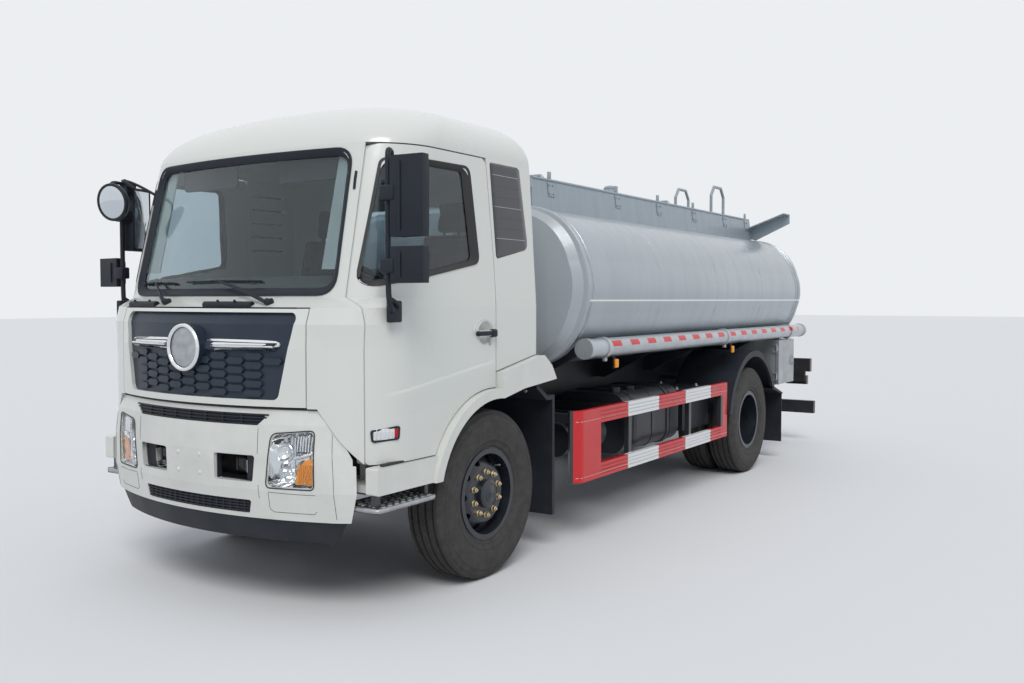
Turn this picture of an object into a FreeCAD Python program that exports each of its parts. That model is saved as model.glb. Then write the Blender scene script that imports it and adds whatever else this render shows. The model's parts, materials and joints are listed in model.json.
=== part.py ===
import FreeCAD, Part
import math
import os

V = FreeCAD.Vector

# Two-axle tanker truck, in millimetres.
# While it is being built, Y = 0 is the front axle, the front of the truck is at -Y,
# its left side is at +X and the ground is Z = 0. save() moves every piece to the
# frame whose origin is the middle of the footprint.

# ---- driving dimensions -------------------------------------------------------
WHEELBASE = 4500.0
FRONT_OVERHANG = 1398.0     # to the face of the round boss on the grille
REAR_OVERHANG = 2450.0
ORIGIN_Y = (WHEELBASE + REAR_OVERHANG - FRONT_OVERHANG) / 2.0

FIT = 0.05            # radial clearance of a pin or spindle in its bore
GAP = 6.0             # clearance round panels that move
SEAL = 8.0            # clearance round a door or lid edge

# wheels
TYRE_R = 526.0
TYRE_W = 276.0
RIM_R = 283.0         # outside of the rim flange
RIM_W = 226.0
FRONT_WHEEL_X = 1007.0
DUAL_SPACING = 312.0
REAR_OUTER_X = 1090.0
REAR_INNER_X = REAR_OUTER_X - DUAL_SPACING
AXLE_TUBE_R = 66.0
KINGPIN_X = 900.0
KINGPIN_R = 20.0
FRONT_SPINDLE_R = 32.0
REAR_SPINDLE_R = 55.0
AXLE_Z = TYRE_R
HAND_HOLES = 10
TYRE_CLEARANCE = 64.0       # between a front tyre and its arch
REAR_CLEARANCE = 164.0      # between a rear tyre and its mudguard

# ladder frame
RAIL_OUT_X = 432.0
RAIL_FLANGE = 80.0
RAIL_T = 8.0
RAIL_H = 260.0
RAIL_TOP_Z = AXLE_Z + 464.0
RAIL_BOTTOM_Z = RAIL_TOP_Z - RAIL_H
RAIL_MID_Z = RAIL_TOP_Z - RAIL_H / 2.0
RAIL_FRONT_Y = -1120.0
RAIL_REAR_Y = WHEELBASE + REAR_OVERHANG - 100.0
SHAFT_R = 52.0
SHAFT_FRONT = (0.0, 1180.0, RAIL_MID_Z)
SHAFT_REAR = (0.0, WHEELBASE - 312.0, AXLE_Z + 16.0)
GEARBOX_HALF_W = 190.0
TOW_JAW_H = 120.0
TOW_PIN_R = 24.0

# cab shell
CAB_HALF_W = 1150.0
CAB_INSIDE_X = CAB_HALF_W - 450.0    # well inside a side wall
CAB_BEYOND_X = CAB_HALF_W + 150.0    # well outside it
CAB_CORNER_X = CAB_HALF_W - 110.0    # where the side wall meets the rear wall
CAB_REAR_Y = 560.0
WALL_T = 60.0
SEAT_X = CAB_HALF_W - 590.0
DOOR_BOTTOM_Z = 850.0
ROOF_SEAM_Z = 2606.0
FLOOR_Z = 1230.0
FLOOR_T = 60.0
TILT_Y = -1240.0
TILT_Z = RAIL_MID_Z - 40.0
TILT_PIN_R = 22.0
TILT_BOSS_R = 34.0
TILT_ARM_X = 330.0
TILT_ARM_HALF_W = 20.0
TILT_LUG_T = 14.0
ARCH_R = TYRE_R + TYRE_CLEARANCE
ARCH_Z = AXLE_Z + 9.0
ARCH_BAND = 60.0
STEP_LEG_X = CAB_HALF_W - 260.0
DOOR_HINGE_X = CAB_HALF_W - 95.0
DOOR_NOSE_R = 235.0           # round the hinge line, more than the door's front edge reaches
DOOR_SWEEP_X = CAB_HALF_W - 205.0

# front flap over the grille
FLAP_HALF_W = CAB_HALF_W - 369.0
FLAP_BOTTOM_Z = 1156.0
FLAP_TOP_Z = 1684.0
FLAP_T = 45.0

# bumper
BUMPER_BOTTOM_Z = 540.0
BUMPER_TOP_Z = 1144.0
BUMPER_T = 45.0
BUMPER_REAR_Y = -1112.0
LIP_BOTTOM_Z = 413.0
PLATE_HOLE_X = 92.0
PLATE_HOLE_Z = (765.0, 868.0)
PLATE_HOLE_R = 3.5
TOW_EYE_X = 250.0
TOW_EYE_R = 16.0
TOW_EYE_FRONT_Y = RAIL_FRONT_Y - 60.0

# tank
TANK_FRONT_Y = CAB_REAR_Y + 540.0
TANK_REAR_Y = WHEELBASE + 1650.0
TANK_HALF_W = 1205.0
TANK_H = 1240.0
TANK_BOTTOM_Z = RAIL_TOP_Z + 215.0
TANK_MID_Z = TANK_BOTTOM_Z + TANK_H / 2.0
TANK_TOP_Z = TANK_BOTTOM_Z + TANK_H
HEAD_DEPTH = 95.0
TANK_SEAT = 1.0005        # scale of the hollow that pieces under the tank are cut to
TANK_CLEAR = 1.004        # the same where a piece stands clear of the tank
COAMING_X = 650.0
COAMING_TOP_Z = TANK_TOP_Z + 225.0
MANHOLE_Y = (TANK_FRONT_Y + 1250.0, TANK_REAR_Y - 1120.0)
MANHOLE_R = 280.0
MANHOLE_TOP_Z = TANK_TOP_Z + 120.0
LID_PIN_R = 10.0
VENT_Y = (MANHOLE_Y[0] + MANHOLE_Y[1]) / 2.0 + 93.0
LADDER_X = 225.0

# side equipment
MUDGUARD_X = REAR_OUTER_X + TYRE_W / 2.0 + 22.0
MUDGUARD_R = TYRE_R + REAR_CLEARANCE
MUDGUARD_Z = AXLE_Z + 4.0
MUDGUARD_FLAP_Y = WHEELBASE + 940.0
GUARD_X = TANK_HALF_W + 20.0
GUARD_T = 42.0
GUARD_FRONT_Y = 900.0
GUARD_REAR_Y = WHEELBASE - TYRE_R - 136.0
BATTERY_BOX_L = 610.0
BATTERY_BOX_Y = GUARD_REAR_Y - 138.0 - BATTERY_BOX_L
BATTERY_BOX_BOTTOM_Z = 560.0
BATTERY_BOX_H = 320.0
AIR_TANK_R = 125.0
AIR_TANK_L = 580.0
AIR_TANK_Y = GUARD_FRONT_Y + 280.0
FUEL_TANK_Y = (AIR_TANK_Y + AIR_TANK_L + 190.0, BATTERY_BOX_Y - 80.0)
FUEL_TANK_BOTTOM_Z = 500.0
FUEL_TANK_H = 485.0
EQUIPMENT_X = GUARD_X - 140.0         # outer face of what hangs behind the side guards
TUBE_R = 76.0
TUBE_X = TANK_HALF_W - 55.0
TUBE_Z = TANK_BOTTOM_Z + 173.0
FLANGE_R = 100.0
FLANGE_PCD = 160.0
FLANGE_HOLES = 4
FLANGE_HOLE_R = 9.0
CABINET_L = 570.0
CABINET_Y = MUDGUARD_FLAP_Y + 25.0
CABINET = dict(x0=TANK_HALF_W - 565.0, x1=TANK_HALF_W - 45.0, y0=CABINET_Y, y1=CABINET_Y + CABINET_L,
               z0=RAIL_TOP_Z - 188.0, z1=TANK_BOTTOM_Z + 85.0)
CABINET_T = 20.0
CABINET_PIN_R = 5.0
OUTLET_R = 55.0
PIPE_R = 50.0
PIPE_Z = RAIL_TOP_Z + 60.0
SUMP_R = 140.0


# ---- helpers -------------------------------------------------------------------
def save(node, shape):
    moved = shape.copy()
    moved.translate(V(0, -ORIGIN_Y, 0))
    moved.exportStep("parts/" + node + ".step")


def fuse(shapes):
    whole = shapes[0]
    if len(shapes) > 1:
        whole = whole.fuse(list(shapes[1:]))
    return whole.removeSplitter()


def group(shapes):
    return Part.Compound(list(shapes))


def other_side(shape):
    return shape.mirror(V(0, 0, 0), V(1, 0, 0))


def both_sides(shape):
    return group([shape, other_side(shape)])


def box(x0, x1, y0, y1, z0, z1):
    return Part.makeBox(x1 - x0, y1 - y0, z1 - z0, V(x0, y0, z0))


def rod(start, end, radius):
    a, b = V(*start), V(*end)
    return Part.makeCylinder(radius, (b - a).Length, a, b - a)


def pipe(points, radius):
    """Straight runs with balls at the joints."""
    pieces = [rod(a, b, radius) for a, b in zip(points[:-1], points[1:])]
    pieces += [Part.makeSphere(radius, V(*p)) for p in points[1:-1]]
    return fuse(pieces)


def outline(points, radii, place):
    """Closed wire through 2-D points with each corner rounded by its radius."""
    if not isinstance(radii, (list, tuple)):
        radii = [radii] * len(points)
    count = len(points)
    starts, ends, mids = [], [], []
    for i in range(count):
        p = V(points[i][0], points[i][1], 0)
        to_last = (V(points[i - 1][0], points[i - 1][1], 0) - p)
        following = points[(i + 1) % count]
        to_next = (V(following[0], following[1], 0) - p)
        to_last.normalize()
        to_next.normalize()
        half = to_last.getAngle(to_next) / 2.0
        if radii[i] <= 0:
            starts.append(p)
            ends.append(p)
            mids.append(None)
            continue
        reach = radii[i] / math.tan(half)
        bisector = to_last + to_next
        bisector.normalize()
        starts.append(p + to_last * reach)
        ends.append(p + to_next * reach)
        mids.append(p + bisector * (radii[i] / math.sin(half) - radii[i]))
    edges = []
    for i in range(count):
        if mids[i] is not None:
            edges.append(Part.Arc(place(starts[i]), place(mids[i]), place(ends[i])).toShape())
        following = starts[(i + 1) % count]
        if (following - ends[i]).Length > 0.01:
            edges.append(Part.LineSegment(place(ends[i]), place(following)).toShape())
    return Part.Wire(edges)


def side_prism(points, x0, x1, radii=0):
    """Outline of (y, z) points, from x0 to x1."""
    wire = outline(points, radii, lambda p: V(x0, p.x, p.y))
    return Part.Face(wire).extrude(V(x1 - x0, 0, 0))


def front_prism(points, y0, y1, radii=0):
    """Outline of (x, z) points, from y0 to y1."""
    wire = outline(points, radii, lambda p: V(p.x, y0, p.y))
    return Part.Face(wire).extrude(V(0, y1 - y0, 0))


def plan_prism(points, z0, z1, radii=0):
    """Outline of (x, y) points, from z0 to z1."""
    wire = outline(points, radii, lambda p: V(p.x, p.y, z0))
    return Part.Face(wire).extrude(V(0, 0, z1 - z0))


def turned(points, x, z, y):
    """Solid of revolution about a line along X; points are (along X, radius)."""
    wire = Part.makePolygon([V(x + p[0], y, z + p[1]) for p in points + points[:1]])
    return Part.Face(wire).revolve(V(x, y, z), V(1, 0, 0), 360)


# ---- cab body --------------------------------------------------------------------
# Level sections of the cab, from the bottom up. Columns: height, half width, front at
# the middle, where the front's bow meets the corner, how far the bow falls back there,
# rear of the cab, radius of the rear corners.
CAB_LEVELS = [
    (690.0, CAB_HALF_W, -1366.0, CAB_HALF_W - 250.0, 190.0, CAB_REAR_Y, 60.0),
    (1470.0, CAB_HALF_W, -1366.0, CAB_HALF_W - 250.0, 190.0, CAB_REAR_Y, 60.0),
    (1600.0, CAB_HALF_W, -1330.0, CAB_HALF_W - 290.0, 132.0, CAB_REAR_Y, 60.0),
    (1690.0, CAB_HALF_W, -1268.0, CAB_HALF_W - 330.0, 84.0, CAB_REAR_Y, 60.0),
    (1745.0, CAB_HALF_W - 2.0, -1165.0, CAB_HALF_W - 350.0, 74.0, CAB_REAR_Y, 60.0),
    (ROOF_SEAM_Z, CAB_HALF_W - 58.0, -955.0, CAB_HALF_W - 390.0, 62.0, CAB_REAR_Y, 60.0),
]
ROOF_LEVELS = [
    (ROOF_SEAM_Z, CAB_HALF_W - 58.0, -955.0, CAB_HALF_W - 390.0, 62.0, CAB_REAR_Y, 60.0),
    (2670.0, CAB_HALF_W - 66.0, -925.0, CAB_HALF_W - 410.0, 62.0, CAB_REAR_Y - 4.0, 70.0),
    (2760.0, CAB_HALF_W - 116.0, -845.0, CAB_HALF_W - 460.0, 70.0, CAB_REAR_Y - 22.0, 90.0),
    (2860.0, CAB_HALF_W - 270.0, -650.0, CAB_HALF_W - 590.0, 80.0, CAB_REAR_Y - 80.0, 120.0),
    (2945.0, CAB_HALF_W - 560.0, -330.0, CAB_HALF_W - 800.0, 70.0, CAB_REAR_Y - 210.0, 140.0),
]


def cab_section(level, inset=0.0, drop=0.0):
    z, half_w, front, bow_x, fall, rear, rear_r = level
    z -= drop
    half_w -= inset
    front += inset
    rear -= inset
    bow_x -= inset * 0.75
    rear_r = max(rear_r - inset, 12.0)
    bow_r = (bow_x ** 2 + fall ** 2) / (2.0 * fall)
    slope = math.asin(bow_x / bow_r)
    corner_r = (half_w - bow_x) / (1.0 - math.sin(slope))
    centre = V(half_w - corner_r, front + fall + corner_r * math.cos(slope), z)
    bow_end = V(bow_x, front + fall, z)
    side_front = V(half_w, centre.y, z)
    middle_angle = -(math.pi / 2.0 - slope) / 2.0
    corner_mid = centre + V(math.cos(middle_angle), math.sin(middle_angle), 0) * corner_r
    side_rear = V(half_w, rear - rear_r, z)
    rear_end = V(half_w - rear_r, rear, z)
    diagonal = rear_r * math.sqrt(0.5)
    rear_mid = V(half_w - rear_r + diagonal, rear - rear_r + diagonal, z)

    def left(p):
        return V(-p.x, p.y, p.z)

    edges = [
        Part.Arc(left(bow_end), V(0, front, z), bow_end),
        Part.Arc(bow_end, corner_mid, side_front),
        Part.LineSegment(side_front, side_rear),
        Part.Arc(side_rear, rear_mid, rear_end),
        Part.LineSegment(rear_end, left(rear_end)),
        Part.Arc(left(rear_end), left(rear_mid), left(side_rear)),
        Part.LineSegment(left(side_rear), left(side_front)),
        Part.Arc(left(side_front), left(corner_mid), left(bow_end)),
    ]
    return Part.Wire([e.toShape() for e in edges])


def cab_volume(inset):
    sections = [cab_section(level, inset) for level in CAB_LEVELS]
    return Part.makeLoft(sections, True, True)


def roof_volume(inset, drop):
    first = [cab_section(ROOF_LEVELS[0], inset)]
    rest = [cab_section(level, inset, drop) for level in ROOF_LEVELS[1:]]
    return Part.makeLoft(first + rest, True, False)


# side view of the left door; columns y, z, corner radius
DOOR_FRONT_Y = -1058.0
DOOR_EDGE_Y = 38.0
DOOR_OUTLINE = [
    (DOOR_FRONT_Y, DOOR_BOTTOM_Z, 20.0),
    (DOOR_FRONT_Y, 1700.0, 0.0),
    (-846.0, ROOF_SEAM_Z - SEAL, 60.0),
    (8.0, ROOF_SEAM_Z - SEAL, 50.0),
    (DOOR_EDGE_Y, 1960.0, 0.0),
    (DOOR_EDGE_Y, DOOR_BOTTOM_Z, 0.0),
]
WINDOW_OUTLINE = [
    (-1008.0, 1806.0, 30.0),
    (-812.0, 2512.0, 90.0),
    (-178.0, 2520.0, 90.0),
    (-128.0, 1962.0, 40.0),
]
QUARTER_OUTLINE = [
    (70.0, 1985.0, 20.0),
    (52.0, 2585.0, 20.0),
    (392.0, 2585.0, 40.0),
    (450.0, 2060.0, 60.0),
]


def side_prism_from(table, x0, x1, grow=0.0):
    wire = outline([(y, z) for y, z, r in table], [r for y, z, r in table], lambda p: V(x0, p.x, p.y))
    face = Part.Face(wire)
    if grow:
        face = face.makeOffset2D(grow)
    return face.extrude(V(x1 - x0, 0, 0))


def arch_disc(radius, x0, x1):
    return rod((x0, 0, ARCH_Z), (x1, 0, ARCH_Z), radius)


def make_cab_shell():
    shell = cab_volume(0).cut(cab_volume(WALL_T))
    return shell


def flap_zone(grow):
    """Block that takes the front flap out of the cab's nose."""
    return box(-FLAP_HALF_W - grow, FLAP_HALF_W + grow, -1500, -1150,
               FLAP_BOTTOM_Z - grow, FLAP_TOP_Z + grow)


def make_doors(shell):
    zone = side_prism_from(DOOR_OUTLINE, CAB_INSIDE_X, CAB_BEYOND_X)
    door = shell.common(zone).cut(arch_disc(ARCH_R + ARCH_BAND + GAP, CAB_INSIDE_X, CAB_BEYOND_X))
    door = door.cut(side_prism_from(WINDOW_OUTLINE, CAB_INSIDE_X, CAB_BEYOND_X))
    cup = Part.makeSphere(95, V(CAB_HALF_W + 60, -75, 1530))
    door = door.cut(cup)
    door = door.cut(box(CAB_INSIDE_X, DOOR_HINGE_X - 65, DOOR_FRONT_Y - 1, DOOR_FRONT_Y + 45, DOOR_BOTTOM_Z - 1, 1180))
    door = door.cut(box(CAB_INSIDE_X - 100, DOOR_HINGE_X - 195, DOOR_FRONT_Y - 1, DOOR_FRONT_Y + 118, 1180, 1900))
    handle = fuse([
        box(CAB_HALF_W - 2, CAB_HALF_W + 26, -170, 8, 1512, 1546),
        box(CAB_HALF_W - 45, CAB_HALF_W, -170, -140, 1512, 1546),
        box(CAB_HALF_W - 45, CAB_HALF_W, -18, 8, 1512, 1546),
    ])
    return fuse([door, handle])


def make_door_glass(pane_shell):
    return pane_shell.common(side_prism_from(WINDOW_OUTLINE, CAB_INSIDE_X, CAB_BEYOND_X))


SCREEN_LOW_X = CAB_HALF_W - 302.0
SCREEN_HIGH_X = CAB_HALF_W - 332.0
WINDSCREEN = [
    (-SCREEN_LOW_X, 1766.0, 90.0),
    (SCREEN_LOW_X, 1766.0, 90.0),
    (SCREEN_HIGH_X, 2568.0, 110.0),
    (-SCREEN_HIGH_X, 2568.0, 110.0),
]


def windscreen_zone(y0, y1):
    return front_prism([(x, z) for x, z, r in WINDSCREEN], y0, y1, [r for x, z, r in WINDSCREEN])


def ahead_of_doors(gap):
    """Side view of all that lies ahead of the doors' front edges, gap clear of them."""
    ahead = [(-1500.0, 690.0), (DOOR_FRONT_Y - gap, 690.0), (DOOR_FRONT_Y - gap, 1700.0),
             (-846.0 - gap, ROOF_SEAM_Z - SEAL), (-846.0 - gap, ROOF_SEAM_Z), (-1500.0, ROOF_SEAM_Z)]
    return side_prism(ahead, -CAB_BEYOND_X, CAB_BEYOND_X)


def make_cab_front(shell):
    """Nose, cowl and windscreen pillars, ahead of the doors."""
    front = shell.common(ahead_of_doors(GAP))
    front = front.cut(flap_zone(SEAL)).cut(windscreen_zone(-1500, -700))
    return front.cut(front_prism(bumper_top_zone(GAP), -1500, -900))


def make_cab_glass(pane_shell):
    screen = pane_shell.common(windscreen_zone(-1500, -700)).common(ahead_of_doors(GAP))
    rear = box(-REAR_PANE_X, REAR_PANE_X, CAB_REAR_Y - 34, CAB_REAR_Y - 28, *REAR_PANE_Z)
    return group([screen, rear])


REAR_PANE_X = 480.0
REAR_PANE_Z = (1960.0, 2380.0)


def make_cab_sides(shell):
    behind = [(DOOR_EDGE_Y + SEAL, 1290.0), (DOOR_EDGE_Y + SEAL, 1960.0), (8.0 + SEAL, ROOF_SEAM_Z - 20.0),
              (8.0 + SEAL, ROOF_SEAM_Z), (620.0, ROOF_SEAM_Z), (620.0, 1372.0), (500.0, 1372.0)]
    side = shell.common(side_prism(behind, CAB_CORNER_X, CAB_BEYOND_X))
    recess = side_prism_from(QUARTER_OUTLINE, CAB_INSIDE_X, CAB_BEYOND_X)
    deep = cab_volume(10.0)
    side = side.cut(recess.cut(deep))
    for i in range(5):
        z = 2090.0 + i * 100.0
        slat = side_prism([(60, z), (440, z + 6), (440, z + 20), (60, z + 14)], CAB_INSIDE_X, CAB_BEYOND_X)
        side = side.cut(slat.common(recess))
    return side


def make_rear_wall(shell):
    wall = shell.common(box(-CAB_CORNER_X, CAB_CORNER_X, CAB_REAR_Y - 80, CAB_REAR_Y + 140, FLOOR_Z, ROOF_SEAM_Z))
    return wall.cut(box(-REAR_PANE_X, REAR_PANE_X, CAB_REAR_Y - 80, CAB_REAR_Y + 140, *REAR_PANE_Z))


ROOF_LAMP_Y = 210.0


def make_roof():
    roof = roof_volume(0, 0).cut(roof_volume(WALL_T, 45.0))
    lamp = rod((0, ROOF_LAMP_Y, 2850), (0, ROOF_LAMP_Y, 2950), 48).fuse(Part.makeSphere(46, V(0, ROOF_LAMP_Y, 2950)))
    return roof.fuse(lamp.cut(roof_volume(0, 0)))


def make_cab_floor():
    cavity = cab_volume(WALL_T)
    tunnel_x, tunnel_top, tunnel_front = 430.0, 1520.0, -720.0
    plate = box(-CAB_HALF_W, CAB_HALF_W, -1130, CAB_REAR_Y - WALL_T, FLOOR_Z, FLOOR_Z + FLOOR_T).common(cavity)
    hump = box(-tunnel_x, tunnel_x, tunnel_front, CAB_REAR_Y - WALL_T, FLOOR_Z, tunnel_top)
    hollow = box(-tunnel_x + 30, tunnel_x - 30, tunnel_front + 30, CAB_REAR_Y, FLOOR_Z - 10, tunnel_top - 30)
    bulkhead = box(-CAB_HALF_W, CAB_HALF_W, -1130, -1105, FLOOR_Z, 1700).common(cavity)
    y, z, r = TILT_Y, TILT_Z, TILT_BOSS_R
    profile = [(y - r, z - r), (y + r, z - r), (y + 150, z + 60), (y + 330, z + 170), (y + 330, FLOOR_Z + 5),
               (y + 245, FLOOR_Z + 5), (y + 245, z + 248), (y + 125, z + 165), (y + 40, z + 95), (y - r, z + r)]
    arms = []
    for x in (-TILT_ARM_X, TILT_ARM_X):
        arm = side_prism(profile, x - TILT_ARM_HALF_W, x + TILT_ARM_HALF_W, [30] * 2 + [0] * 7 + [25])
        arms.append(arm.cut(rod((x - 30, y, z), (x + 30, y, z), TILT_PIN_R + FIT)))
    sweep = both_sides(box(DOOR_SWEEP_X, CAB_HALF_W, DOOR_FRONT_Y - 17, -950, FLOOR_Z - 1, 1700))
    return fuse([plate, hump, bulkhead] + arms).cut(hollow).cut(sweep)


def make_dashboard():
    cavity = cab_volume(WALL_T)
    profile = [(-1105, 1500), (-760, 1500), (-700, 1700), (-760, 1840), (-900, 1870), (-1105, 1760)]
    board = side_prism(profile, -DOOR_SWEEP_X, DOOR_SWEEP_X, [0, 30, 40, 60, 40, 0]).common(cavity)
    wheel_at = V(SEAT_X - 40, -520, 1830)
    lean = V(0, 0.55, 0.84)
    ring = Part.makeTorus(215, 17, wheel_at, lean)
    boss = Part.makeCylinder(60, 50, wheel_at - lean * 50, lean)
    spokes = [box(-205, 205, -22, 22, -12, 6), box(-22, 22, -205, 0, -12, 6)]
    tilt = FreeCAD.Rotation(V(0, 0, 1), lean)
    for spoke in spokes:
        spoke.Placement = FreeCAD.Placement(wheel_at, tilt)
    column = Part.makeCylinder(32, 520, wheel_at - lean * 500 + V(0, -60, 0), V(0, 0.55 * 500 + 60, 0.84 * 500))
    board = board.cut(both_sides(rod((DOOR_HINGE_X, DOOR_FRONT_Y, 1400), (DOOR_HINGE_X, DOOR_FRONT_Y, 1900), DOOR_NOSE_R)))
    return fuse([board, column, boss, ring] + spokes)


def make_seats():
    x = SEAT_X
    base = box(x - 110, x + 200, -230, 210, FLOOR_Z + FLOOR_T, 1545)
    cushion = side_prism([(-300, 1530), (240, 1530), (240, 1640), (-300, 1665)], x - 250, x + 250, 45)
    back = side_prism([(170, 1560), (290, 1540), (420, 2180), (330, 2220)], x - 240, x + 240, 40)
    head = side_prism([(330, 2180), (420, 2160), (440, 2400), (360, 2410)], x - 130, x + 130, 35)
    return both_sides(fuse([base, cushion, back, head]))


def make_wheel_arches():
    """Fenders of the cab: step panel ahead of the front wheel, band over it and wing behind it."""
    beyond = CAB_BEYOND_X
    inner_x, flare_x = CAB_HALF_W - WALL_T, CAB_HALF_W + 50.0
    top = DOOR_BOTTOM_Z - GAP
    panel = [(-1098, 700), (-560, 700), (-560, top), (-1098, top)]
    step_panel = side_prism(panel, inner_x, CAB_HALF_W + 22, [10, 0, 0, 10])
    wing = [(-700, 690), (DOOR_EDGE_Y + 300, 690), (760, 1000), (700, 1204), (640, 1296), (545, 1366),
            (500, 1366), (DOOR_EDGE_Y + SEAL + 6, 1284), (-700, 1284)]
    band = side_prism(wing, inner_x, flare_x).cut(arch_disc(ARCH_R, CAB_INSIDE_X, beyond))
    over = arch_disc(ARCH_R + ARCH_BAND, CAB_INSIDE_X, beyond)
    rear_y = DOOR_EDGE_Y + SEAL
    behind = side_prism([(rear_y, 1100), (800, 1060), (800, 1500), (rear_y, 1500)], CAB_INSIDE_X, beyond)
    under = side_prism([(0, 500), (800, 500), (800, 1208), (300, 1165), (60, 1120), (0, 1120)],
                       CAB_INSIDE_X, beyond)
    band = band.common(over.fuse(behind)).cut(under)
    band = band.cut(box(CAB_INSIDE_X, beyond, -700, 0, 600, 700))
    hanger = box(inner_x - 5, inner_x + 1, -1040, -640, 690, top)
    posts = []
    for y in (-1040.0, -700.0):
        posts.append(box(STEP_LEG_X, inner_x, y - 20, y + 20, 700, 740))
    posts.append(box(STEP_LEG_X, STEP_LEG_X + 40, -1060, -680, 700, 740))
    for y in (-900.0, -700.0):
        posts.append(box(STEP_LEG_X, STEP_LEG_X + 40, y - 20, y + 20, 700, FLOOR_Z))
    tread = box(inner_x - 185, CAB_HALF_W + 15, -1090, -600, 600, 632)
    brackets = [box(inner_x + 5, inner_x + 45, y - 15, y + 15, 632, 705) for y in (-1050.0, -640.0)]
    return both_sides(fuse([step_panel, band, hanger, tread] + posts + brackets))


def mirror_head(x, y, along, width, z0, z1):
    """Rounded mirror housing that reaches out from the tube at (x, y) in the direction along."""
    dx, dy = along
    deep = 78.0
    corners = [(30.0, -0.36), (width, -0.30), (width, 0.42), (50.0, 0.64)]
    plan = [(x + dx * u - dy * v * deep, y + dy * u + dx * v * deep) for u, v in corners]
    return plan_prism(plan, z0, z1, [18, 22, 28, 18])


def make_mirror(side):
    """Tall and wide-angle mirrors on a tube; the right tall one is folded back, under a round one."""
    stem, plate_x = CAB_HALF_W + 40.0, CAB_HALF_W - 30.0
    y = -1024.0 if side == "left" else -935.0
    out = (1.0, 0.06)
    along = out if side == "left" else (0.24, 0.97)
    arm = pipe([(plate_x, -905, 2470), (stem, y + 10, 2520), (stem, y, 1700), (CAB_HALF_W, -945, 1660)], 15)
    plates = [box(plate_x - 35, plate_x + 5, -935, -875, 2440, 2500),
              box(plate_x, plate_x + 36, -1000, -900, 1610, 1730)]
    reach = 236.0
    tall = mirror_head(stem, y, along, reach, 2060, 2480)
    wide = mirror_head(stem, y, out, reach, 1820, 2010)
    clamps = [rod((stem, y, z - 40), (stem, y, z + 40), 30) for z in (1910.0, 2290.0)]
    grips = [pipe([(stem, y, z), (stem + way[0] * 60.0, y + way[1] * 60.0, z)], 14)
             for way, z in ((out, 1910.0), (along, 2290.0))]
    pieces = [arm, tall, wide] + plates + clamps + grips
    if side == "left":
        return fuse(pieces).cut(cab_volume(0))
    pieces.append(pipe([(stem, y + 6, 2500), (stem - 60, -1040, 2500), (stem - 170, -1100, 2400)], 12))
    pieces.append(rod((stem - 170, -1080, 2360), (stem - 182, -1138, 2352), 118))
    return other_side(fuse(pieces).cut(cab_volume(0)))


# ---- front flap and bumper -----------------------------------------------------------
GRILLE_TOP = (FLAP_HALF_W - 54.0, 1664.0)
GRILLE_BOTTOM = (FLAP_HALF_W - 156.0, 1192.0)


def grille_outline():
    return [(-GRILLE_BOTTOM[0], GRILLE_BOTTOM[1]), (GRILLE_BOTTOM[0], GRILLE_BOTTOM[1]),
            (GRILLE_TOP[0], GRILLE_TOP[1]), (-GRILLE_TOP[0], GRILLE_TOP[1])]


def make_flap():
    skin = cab_volume(0).cut(cab_volume(FLAP_T)).common(flap_zone(0))
    window = front_prism(grille_outline(), -1500, -1150, 40)
    return skin.cut(window)


def make_grille():
    """Black insert of the flap: back plate, rows of staggered slats, two bars and a round boss."""
    window = front_prism(grille_outline(), -1500, -1150, 40)
    plate = cab_volume(20).cut(cab_volume(FLAP_T - 5)).common(window)
    slats = []
    pitch_x, pitch_z, slat_h = 118.0, 50.0, 36.0
    for column in range(-5, 6):
        x = column * pitch_x
        first_z = 1208.0 + pitch_z / 2.0 * (column % 2)
        for row in range(5):
            z = first_z + row * pitch_z
            if z + slat_h < 1458.0 and abs(x) + 66.0 < GRILLE_BOTTOM[0] + (z - 1192.0) * 0.2:
                slats.append(front_prism([(x - 44, z), (x + 40, z), (x + 56, z + slat_h / 2), (x + 44, z + slat_h),
                                          (x - 40, z + slat_h), (x - 56, z + slat_h / 2)], -1500, -1150))
    raised = cab_volume(4).cut(cab_volume(24)).common(group(slats)).common(window)
    bars = []
    for s in (-1, 1):
        bars.append(front_prism([(s * 150, 1462), (s * 600, 1470), (s * 608, 1500), (s * 150, 1506)], -1500, -1150))
    bar_skin = cab_volume(-6).cut(cab_volume(26)).common(group(bars)).common(window)
    boss = rod((0, -1388, 1466), (0, -1330, 1466), 132)
    ring = Part.makeTorus(122, 12, V(0, -1386, 1466), V(0, 1, 0))
    return fuse([plate, raised, bar_skin, boss, ring])


# Level sections of the bumper: height, half width, front, bow end, fall, rear, corner.
BUMPER_LEVELS = [
    (LIP_BOTTOM_Z, CAB_HALF_W - 30.0, -1300.0, CAB_HALF_W - 270.0, 170.0, -200.0, 60.0),
    (BUMPER_BOTTOM_Z, CAB_HALF_W + 10.0, -1338.0, CAB_HALF_W - 250.0, 170.0, -200.0, 60.0),
    (700.0, CAB_HALF_W + 25.0, -1364.0, CAB_HALF_W - 240.0, 172.0, -200.0, 60.0),
    (900.0, CAB_HALF_W + 22.0, -1370.0, CAB_HALF_W - 245.0, 176.0, -200.0, 60.0),
    (1060.0, CAB_HALF_W, -1362.0, CAB_HALF_W - 250.0, 182.0, -200.0, 60.0),
    (BUMPER_TOP_Z, CAB_HALF_W - 20.0, -1340.0, CAB_HALF_W - 260.0, 182.0, -200.0, 60.0),
]
LAMP_OUTLINE = [
    (CAB_HALF_W - 594.0, 722.0, 25.0),
    (CAB_HALF_W - 322.0, 722.0, 25.0),
    (CAB_HALF_W - 322.0, 1030.0, 25.0),
    (CAB_HALF_W - 560.0, 1006.0, 45.0),
]


def bumper_volume(inset):
    return Part.makeLoft([cab_section(level, inset) for level in BUMPER_LEVELS], True, True)


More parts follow.
